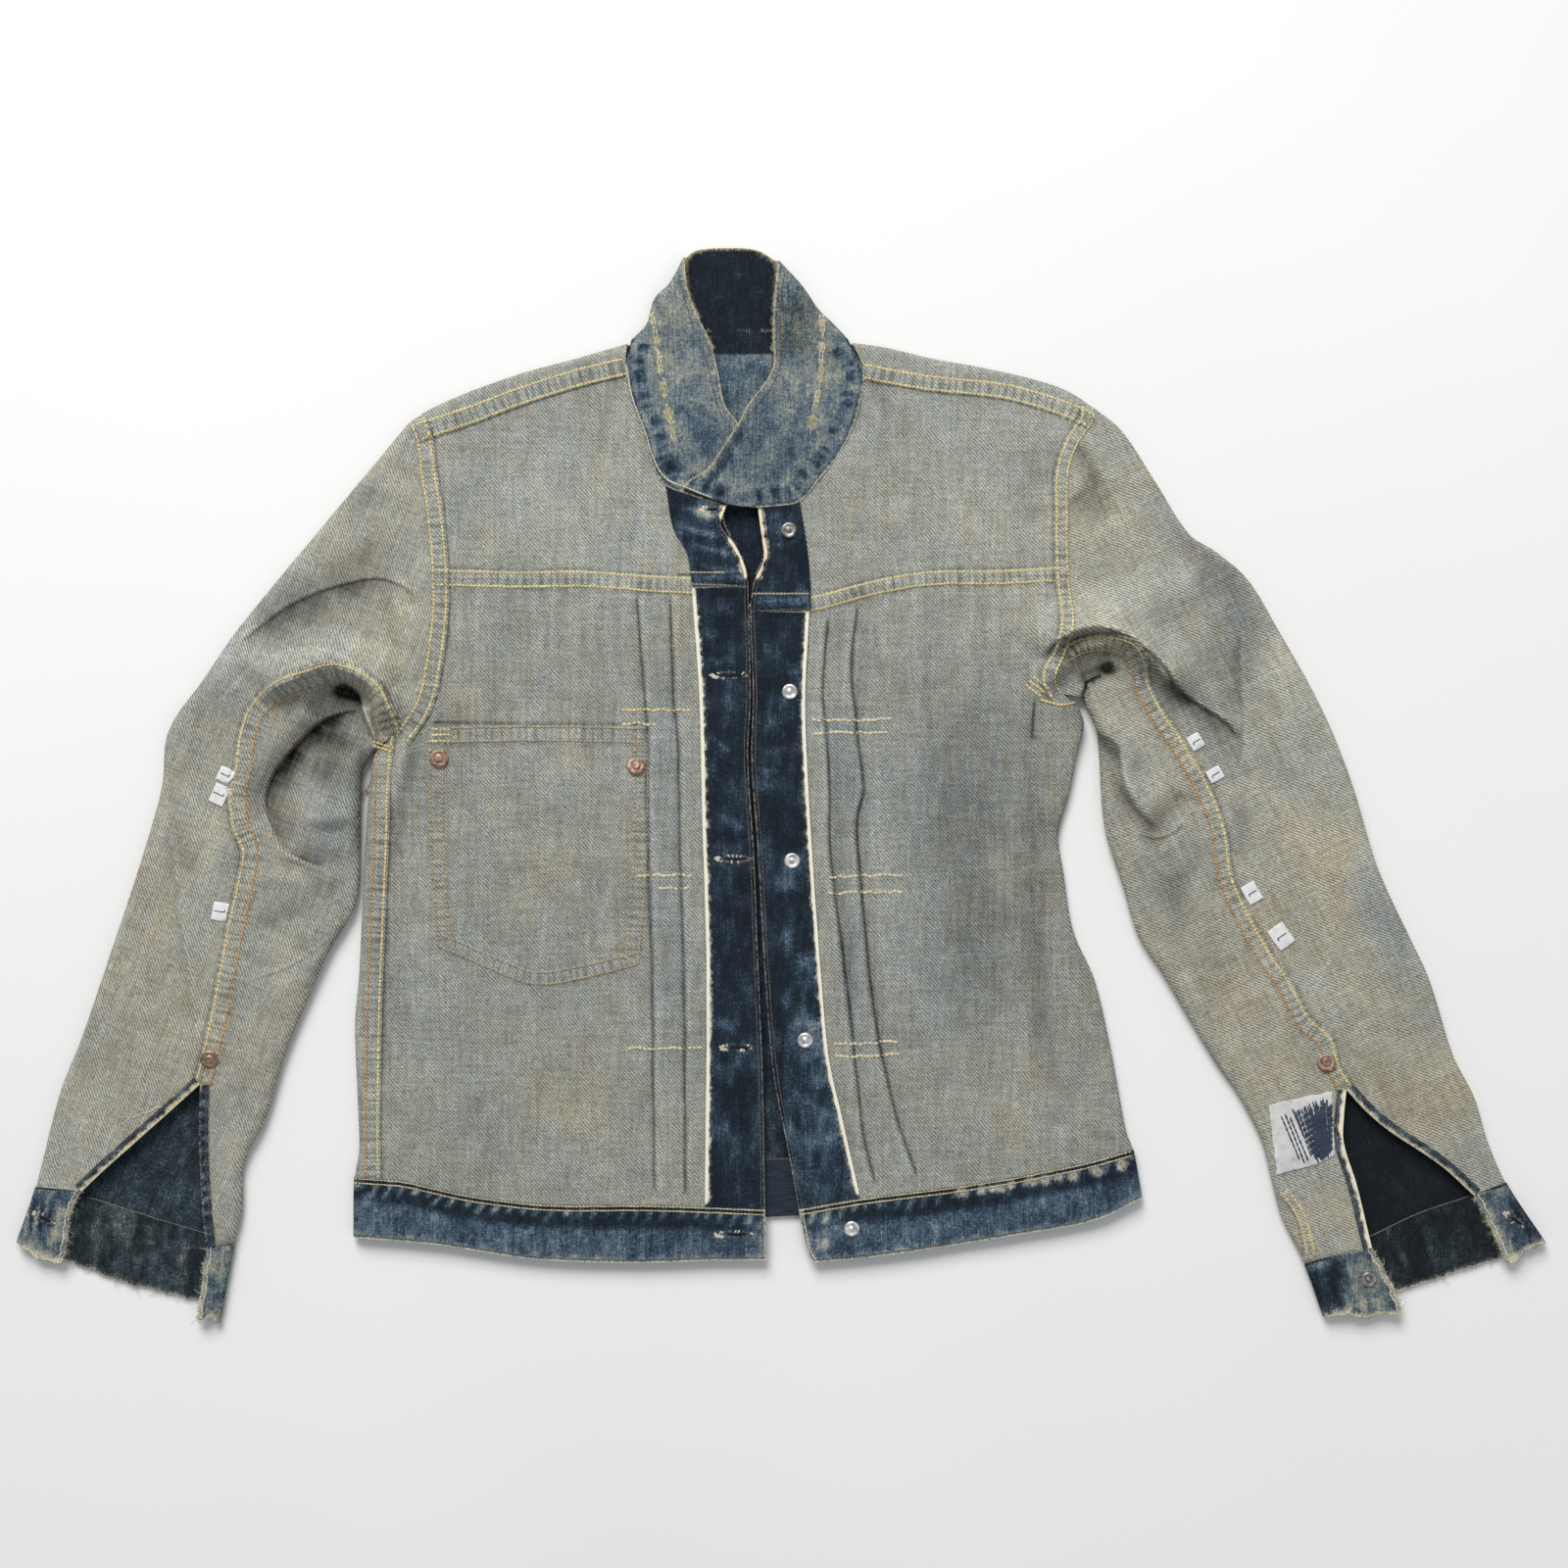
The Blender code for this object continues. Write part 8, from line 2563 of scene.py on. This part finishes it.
def make_fray(cream, gold):
    rng = np.random.default_rng(17)
    worn = []
    for line, side in ((CUFF_FOOT_LEFT, 1), (CUFF_FOOT_RIGHT, -1)):
        worn.append(fray_paths(rng, "under_cuff", line, -side, 1.9, 3.6, 1.3))
        worn.append(fray_paths(rng, "under_cuff", line, -side, 0.22, 9.0, 2.6, 0.6, steps=9))
    for line, side in (
        (TAB_FOOT_LEFT_OUTER, -1),
        (TAB_FOOT_LEFT_INNER, 1),
        (TAB_FOOT_RIGHT_OUTER, 1),
        (TAB_FOOT_RIGHT_INNER, -1),
    ):
        worn.append(fray_paths(rng, "cuff", line, -side, 2.2, 2.4, 1.2))
        worn.append(fray_paths(rng, "cuff", line, -side, 0.3, 6.5, 2.4, 0.6, steps=9))
    short = np.concatenate([paths for paths in worn if paths.shape[1] == 5])
    long = np.concatenate([paths for paths in worn if paths.shape[1] == 9])
    tubes("frayed_cuffs", short, 0.16, cream)
    tubes("long_cuff_threads", long, 0.2, cream)
    edges = []
    for line, side, near in (
        (SLIT_LEFT_OUTER, 1, 1.3),
        (SLIT_LEFT_INNER, -1, 1.2),
        (SLIT_RIGHT_OUTER, -1, 1.2),
        (SLIT_RIGHT_INNER, 1, 1.3),
    ):
        edges.append(fray_paths(rng, "strip", line, side, 2.2, near, 0.5, 0.6))
    for line, side in ((FACING_EDGE_LEFT, -1), (FACING_EDGE_RIGHT, 1)):
        edges.append(fray_paths(rng, "facing", line, side, 0.9, 0.5, 0.5, 0.8))
    for line, side in ((NECK_END_FRAY[0], 1), (NECK_END_FRAY[1], -1)):
        edges.append(fray_paths(rng, "facing", line, side, 3.0, 2.0, 0.9, 0.6))
    for line, side in ((FRONT_EDGE_LEFT, 1), (FRONT_EDGE_RIGHT, -1)):
        edges.append(fray_paths(rng, "facing", line, side, 1.0, 0.7, 0.5, 0.8))
    bands = ((BAND_FOOT_LEFT, -1), (BAND_FOOT_RIGHT, 1), (BAND_END_RIGHT, 1), (BAND_END_LEFT, -1))
    for line, side in bands:
        edges.append(fray_paths(rng, "band", line, -side, 1.2, 1.1, 0.6, 1.0))
    tubes("frayed_edges", np.concatenate(edges), 0.1, cream)
    rims = [
        fray_paths(rng, "collar_left", run(RIM_LEFT, 1, -1, FINE_STEP), 1, 3.4, 1.3, 0.6, 0.4),
        fray_paths(rng, "collar_right", run(RIM_RIGHT, 1, -1, FINE_STEP), -1, 3.4, 1.3, 0.6, 0.4),
    ]
    tubes("frayed_collar_rims", np.concatenate(rims), 0.12, gold)


# Turned fittings: profiles are (radius, height) in mm from foot to head
RIVET_PROFILE = [
    (5.55, 0.0), (5.6, 0.35), (5.35, 0.62), (4.6, 0.80), (3.6, 0.84), (3.2, 0.70), (2.9, 0.66),
    (2.5, 0.80), (2.3, 1.15), (1.6, 1.30), (0.7, 1.22),
]
TACK_PROFILE = [
    (4.75, 0.0), (4.8, 0.35), (4.5, 0.75), (3.9, 1.0), (3.3, 0.98), (2.9, 0.72), (2.2, 0.62),
    (1.5, 0.75), (1.1, 1.25), (0.6, 1.45),
]


def turned(name, node, profile, place, out, paint, slot, sides=36):
    """A round fitting turned from its profile, standing at a place along its way out."""
    rings = len(profile)
    turn = 2 * np.pi * np.arange(sides) / sides
    points = [np.stack([r * np.cos(turn), r * np.sin(turn), np.full(sides, h)], 1) for r, h in profile]
    points = np.concatenate(points + [np.array([[0, 0, profile[0][1]], [0, 0, profile[-1][1]]])])
    faces = []
    k = np.arange(sides)
    after = (k + 1) % sides
    for ring in range(rings - 1):
        a, b = ring * sides + k, ring * sides + after
        faces += [np.stack([a, b, b + sides], 1), np.stack([a, b + sides, a + sides], 1)]
    foot, head, last = rings * sides, rings * sides + 1, (rings - 1) * sides
    faces += [np.stack([np.full(sides, foot), after, k], 1)]
    faces += [np.stack([np.full(sides, head), last + k, last + after], 1)]
    spin = np.array(Vector((0, 0, 1)).rotation_difference(Vector(out)).to_matrix())
    piece = build_mesh(name, points @ spin.T + place, np.concatenate(faces), [paint])
    piece.data.set_sharp_from_angle(angle=SHARP_METAL)
    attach(piece, "root")
    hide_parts(node)


RIVETS = {
    "rivet_pocket_outer": ("body", at(448, 774)),
    "rivet_pocket_inner": ("body", at(649, 782)),
    "rivet_slit_left": ("sleeve", at(214, 1081)),
    "rivet_slit_right": ("sleeve", at(1353, 1084)),
}
TACKS = {
    "tack_1": ("facing", FRONT_TACKS[0]),
    "tack_2": ("facing", FRONT_TACKS[1]),
    "tack_3": ("facing", FRONT_TACKS[2]),
    "tack_4": ("facing", FRONT_TACKS[3]),
    "tack_waist": ("band", at(869, 1254)),
    "tack_cuff": ("cuff", at(1397, 1306)),
}
DULL_TACKS = ("tack_1", "tack_cuff")


def make_fittings(copper, silver, dull):
    for group, profile, paint, slot in (
        (RIVETS, RIVET_PROFILE, copper, "copper"),
        (TACKS, TACK_PROFILE, silver, "silver"),
    ):
        for node, (surface, place) in group.items():
            spot, out = on_surface(np.array([place], float), LAYERS[surface])
            out = out[0] if slot == "copper" else np.array([0.0, 0.0, 1.0])
            own = dull if node in DULL_TACKS else paint
            turned("turned_" + node, node, profile, spot[0] + out * 0.05, out, own, slot)


def flat_shape(name, outline, surface, thick, raise_by, paint, step=1.2, bulge=0.0):
    """A thin piece lying on a surface: its outline in plan, drawn finely and closed all round."""
    outline = np.asarray(outline, float)
    loop = np.concatenate([outline, outline[:1]])
    fine = grid(outline, step)
    fine = fine[inside(outline, fine)]
    if len(fine):
        fine = fine[nearest(loop, fine)[0] > step * 0.4]
    xy = np.concatenate([outline, fine]) if len(fine) else outline
    xy, faces, area, _ = triangulated(xy, len(outline))
    faces[area < 0] = faces[area < 0][:, ::-1]
    base, out = on_surface(xy, LAYERS[surface])
    inward = nearest(loop, xy)[0]
    dome = bulge * smooth(inward / 1.2)
    low = base + out * raise_by
    high = base + out * (raise_by + thick + dome[:, None])
    whole, _ = closed_wall(faces, len(xy))
    piece = build_mesh(name, np.concatenate([high, low]), whole, [paint])
    piece.data.set_sharp_from_angle(angle=SHARP_CLOTH)
    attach(piece, "root")
    return piece


TAB_TOP = 1.0
# White tabs caught in the sleeve seams: middle, length along the seam, width, turn in degrees
SEAM_TABS = [
    (at(231, 791), 9.0, 9.0, 65.0),
    (at(225, 811), 12.0, 9.5, 65.0),
    (at(226, 930), 11.0, 10.0, 80.0),
    (at(1219, 757), 9.0, 8.0, -60.0),
    (at(1239, 790), 8.0, 9.0, -60.0),
    (at(1277, 911), 12.0, 9.0, -60.0),
    (at(1307, 955), 14.0, 11.0, -55.0),
]
TAB_RAISE = 0.28


def make_tabs(white):
    for k, (middle, length, width, turn) in enumerate(SEAM_TABS):
        way = np.array([math.cos(math.radians(turn)), math.sin(math.radians(turn))])
        across = np.array([-way[1], way[0]])
        outline = []
        for a, b in ((-1, -1), (0, -1.04), (1, -1), (1.05, 0), (1, 1), (0, 0.97), (-1, 1), (-1.04, 0)):
            outline.append(np.array(middle) + a * way * length / 2 + b * across * width / 2)
        piece = flat_shape(
            f"white_tab_{k + 1}", outline, "sleeve", 0.5, TAB_RAISE, white, step=1.0, bulge=0.35
        )
        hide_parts(f"seam_tab_{k + 1}")
        tip = np.array(middle) + across * width * 0.36
        mark_line = np.array([np.array(middle) - across * width * 0.26, tip])
        xy, along = spots_along(mark_line, 1.3)
        sew_spots("tab", "dark", xy, along, 1.8)
        sew_spots("tab", "dark", mark_line[0] + way * 0.9, way, 2.0)


PATCH = plan((1294, 1127), (1359, 1113), (1362, 1178), (1342, 1189), (1303, 1198))
# Darning on it: where the strokes start and end at its left and at its right
DARN_STARTS = plan((1321, 1134), (1340, 1124), (1358, 1121))
DARN_ENDS = plan((1340, 1186), (1350, 1184), (1358, 1176))
DARN_STRAYS = [
    plan((1307, 1138), (1327, 1185)),
    plan((1311, 1137), (1331, 1186)),
    plan((1316, 1140), (1336, 1187)),
    plan((1318, 1132), (1330, 1160)),
]


def make_patch(white):
    rng = np.random.default_rng(23)
    outline = []
    corners = np.array(PATCH)
    for a, b in zip(corners, np.roll(corners, -1, axis=0)):
        count = int(np.hypot(*(b - a)) / 1.6)
        line = a + (b - a) * (np.arange(count) / count)[:, None]
        outline.append(line + rng.normal(0, 0.22, line.shape))
    outline = np.concatenate(outline)
    piece = flat_shape("darned_patch", outline, "sleeve", 0.55, 0.12, white, step=1.3, bulge=0.25)
    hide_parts("repair_patch")
    starts, ends = run(DARN_STARTS, step=0.62), run(DARN_ENDS, step=0.2)
    for k, start in enumerate(starts):
        share = k / (len(starts) - 1)
        end = ends[int(share * (len(ends) - 1))]
        near, far = rng.uniform(0.0, 0.12) * rng.integers(0, 3), 1 - rng.uniform(0.0, 0.10)
        stroke = [start + (end - start) * near, start + (end - start) * far]
        if share > 0.25 or k % 2:
            darn_stroke(np.array(stroke) + rng.normal(0, 0.25, (2, 2)))
    for stroke in DARN_STRAYS:
        darn_stroke(np.array(stroke, float))


def darn_stroke(ends):
    """One line of darning: long stitches end to end."""
    xy, way = spots_along(ends, 3.6)
    sew_spots("patch", "navy", xy, way, 4.4)


def make_buttonholes(black):
    holes = [
        (BUTTONHOLES[0], 11.5, 0.0, "facing"),
        (BUTTONHOLES[1], 21.0, 0.0, "facing"),
        (BUTTONHOLES[2], 21.0, 0.0, "facing"),
        (BUTTONHOLES[3], 20.0, 0.0, "facing"),
        (at(748, 1260), 21.0, 0.02, "band"),
        (at(44, 1243), 14.0, -0.5, "cuff"),
        (at(1546, 1245), 14.0, -0.6, "cuff"),
    ]
    rng = np.random.default_rng(29)
    for k, (middle, length, turn, surface) in enumerate(holes):
        middle = np.array(middle, float)
        way = np.array([math.cos(turn), math.sin(turn)])
        across = np.array([-way[1], way[0]])
        share = np.linspace(0, 2 * math.pi, 24, endpoint=False)
        wide = 0.7 + 0.6 * smooth(0.5 + 0.6 * np.cos(share)) + 0.15 * np.sin(3 * share)
        slit = middle + way * length * 0.12 + np.outer(np.cos(share) * length * 0.34, way)
        slit = slit + np.outer(np.sin(share) * wide, across)
        piece = flat_shape(f"buttonhole_{k + 1}", slit, surface, 0.05, 0.02, black, step=2.0)
        turns = rng.uniform(0, 2 * math.pi, int(length * 2.8))
        reach = 1 + 0.22 * rng.random(len(turns))
        spots = middle + np.outer(np.cos(turns) * length * 0.45 * reach, way)
        spots += np.outer(np.sin(turns) * 1.7 * reach, across)
        slants = rng.normal(0, 0.5, len(turns))
        ways = np.outer(np.sin(turns), across) + np.outer(np.cos(turns) + slants, way)
        worn = (np.cos(turns) < -0.6) | (rng.random(len(turns)) < 0.16)
        sew_spots(surface, "hole", spots[~worn], ways[~worn], 2.2)
        sew_spots(surface, "cream", spots[worn], ways[worn], 2.6)


WRONG = "denim_wrong_side"
RIGHT = "denim_right_side"


def frame_shift():
    """How far the plan's origin lies from the frame's, in mm, read off one small round fitting."""
    low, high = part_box("tack_2")
    middle = (low + high) / 2 / MM
    return np.array([middle.x - FRONT_TACKS[1][0], middle.y - FRONT_TACKS[1][1], 0.0])


def make_stage():
    size, level = 4.0, -0.0008
    mesh = bpy.data.meshes.new("floor")
    corners = [(-size, -size, level), (size, -size, level), (size, size, level), (-size, size, level)]
    mesh.from_pydata(corners, [], [(0, 1, 2, 3)])
    made, tree, shader = new_material("pale_floor")
    place = object_place(tree)
    cloud = mottle(tree, place, (0.4, 0.4, 0.4), 2.0, 0.5)
    link(tree, mixed(tree, cloud, (0.75, 0.755, 0.75), (0.82, 0.82, 0.815)), shader.inputs["Base Color"])
    shader.inputs["Roughness"].default_value = 0.7
    mesh.materials.append(made)
    floor = bpy.data.objects.new("floor", mesh)
    bpy.context.scene.collection.objects.link(floor)


def make_light(name, place, size, power, colour, aim=(0.0, 0.0, 0.0)):
    data = bpy.data.lights.new(name, "AREA")
    data.size = size
    data.energy = power
    data.color = colour
    lamp = bpy.data.objects.new(name, data)
    lamp.location = place
    lamp.rotation_euler = (Vector(place) - Vector(aim)).to_track_quat("Z", "Y").to_euler()
    bpy.context.scene.collection.objects.link(lamp)


def make_camera():
    """Straight above the middle of the photo, which is the plan's origin."""
    data = bpy.data.cameras.new("camera")
    data.sensor_fit = "HORIZONTAL"
    data.sensor_width = 36.0
    data.lens = 36.0 * CAMERA_HEIGHT / VIEW_WIDTH
    data.clip_start, data.clip_end = 0.01, 20.0
    camera = bpy.data.objects.new("camera", data)
    camera.location = (SHIFT[0] * MM, SHIFT[1] * MM, CAMERA_HEIGHT + CLOTH_LEVEL)
    bpy.context.scene.collection.objects.link(camera)
    bpy.context.scene.camera = camera


CAMERA_HEIGHT = 1.35
CLOTH_LEVEL = 0.008
VIEW_WIDTH = 0.96


def make_lights():
    make_light("window", (-0.8, 2.7, 2.5), 2.0, 164.0, (1.0, 0.99, 0.97))
    make_light("fill", (1.6, -1.2, 2.6), 2.4, 12.0, (0.94, 0.97, 1.0))
    world = bpy.data.worlds.new("soft_room")
    world.use_nodes = True
    background = world.node_tree.nodes["Background"]
    background.inputs["Color"].default_value = (0.95, 0.975, 1.0, 1.0)
    background.inputs["Strength"].default_value = 0.36
    bpy.context.scene.world = world
    bpy.context.scene.view_settings.view_transform = "Standard"


def main():
    make_camera()
    named_layers()
    LAYERS["tab"] = Layer([], sleeve_lift, BODY_FOLDS, offset=TAB_TOP)
    LAYERS["patch"] = Layer([], sleeve_lift, BODY_FOLDS, offset=PATCH_THICKNESS + 0.05)
    wrong_out = wrong_side_denim("denim wrong side")
    navy_in = inner_denim("denim inside the bands", (0.007, 0.012, 0.019), (0.034, 0.052, 0.070))
    right_out = right_side_denim("denim right side")
    cut_edge = inner_denim("cut edge of the cloth", (0.16, 0.17, 0.15), (0.52, 0.50, 0.41))
    gold_edge = inner_denim("rubbed rim of the collar", (0.11, 0.11, 0.08), (0.42, 0.36, 0.20))
    threads = {
        "gold": spun("gold thread", (0.68, 0.58, 0.29), (0.44, 0.36, 0.17)),
        "orange": spun("orange thread", (0.52, 0.29, 0.12), (0.28, 0.16, 0.07)),
        "tan": spun("tan thread", (0.42, 0.35, 0.24), (0.20, 0.18, 0.13)),
        "rust": spun("rust thread on the indigo", (0.16, 0.11, 0.08), (0.05, 0.05, 0.05)),
        "pale": spun("pale tack thread", (0.62, 0.57, 0.40), (0.40, 0.36, 0.25)),
        "cream": spun("cream thread", (0.66, 0.62, 0.50), (0.34, 0.32, 0.26)),
        "hem": spun("hem thread", (0.60, 0.53, 0.36), (0.34, 0.29, 0.19)),
        "hole": spun("buttonhole thread", (0.13, 0.14, 0.15), (0.03, 0.04, 0.05)),
        "navy": spun("darning thread", (0.036, 0.056, 0.096), (0.014, 0.022, 0.042)),
        "dark": spun("dark tab thread", (0.05, 0.055, 0.065), (0.02, 0.022, 0.028)),
    }
    slots = {key: WRONG for key in threads}
    slots.update(rust=RIGHT, cream=RIGHT, hole=RIGHT, navy="patch_cotton", dark="tab_white")
    white = cotton("patch cotton", (0.62, 0.62, 0.61), (0.42, 0.42, 0.41), 0.9)
    tab_white = cotton("tab cotton", (0.72, 0.72, 0.73), (0.55, 0.55, 0.56), 0.7)
    copper = worn_metal("copper", (0.43, 0.28, 0.20), (0.14, 0.09, 0.07), 0.42)
    silver = worn_metal("silver", (0.88, 0.88, 0.86), (0.36, 0.36, 0.36), 0.32)
    dull = worn_metal("worn silver", (0.40, 0.39, 0.38), (0.10, 0.10, 0.10), 0.36)
    black = inner_denim("dark of the buttonholes", (0.004, 0.005, 0.008), (0.012, 0.015, 0.02))
    cloth = [wrong_out, right_out, cut_edge]
    make_back(cloth)
    make_yokes(cloth)
    make_fronts(cloth)
    make_sleeves(cloth)
    make_pocket(cloth)
    bands = [right_out, navy_in, cut_edge]
    make_facings(bands)
    make_waistband(bands)
    make_cuffs([right_out, right_out, cut_edge])
    make_slit_strips(bands)
    make_collar([right_out, right_out, gold_edge])
    make_tabs(tab_white)
    make_patch(white)
    make_buttonholes(black)
    sew_everything()
    sew(threads)
    make_fray(threads["cream"], spun("gold fray of the rims", (0.46, 0.39, 0.22), (0.2, 0.18, 0.12)))
    make_fittings(copper, silver, dull)
    for name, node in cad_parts.items():
        if name.startswith("button_"):
            node.data.materials.clear()
            node.data.materials.append(silver)
    make_stage()
    make_lights()


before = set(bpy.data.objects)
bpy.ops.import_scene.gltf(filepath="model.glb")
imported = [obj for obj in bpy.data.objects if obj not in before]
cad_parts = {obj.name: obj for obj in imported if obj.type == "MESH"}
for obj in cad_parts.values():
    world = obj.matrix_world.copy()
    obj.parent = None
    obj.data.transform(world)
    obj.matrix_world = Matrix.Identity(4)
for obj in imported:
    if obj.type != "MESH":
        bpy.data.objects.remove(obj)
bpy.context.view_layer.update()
SHIFT = frame_shift()
main()
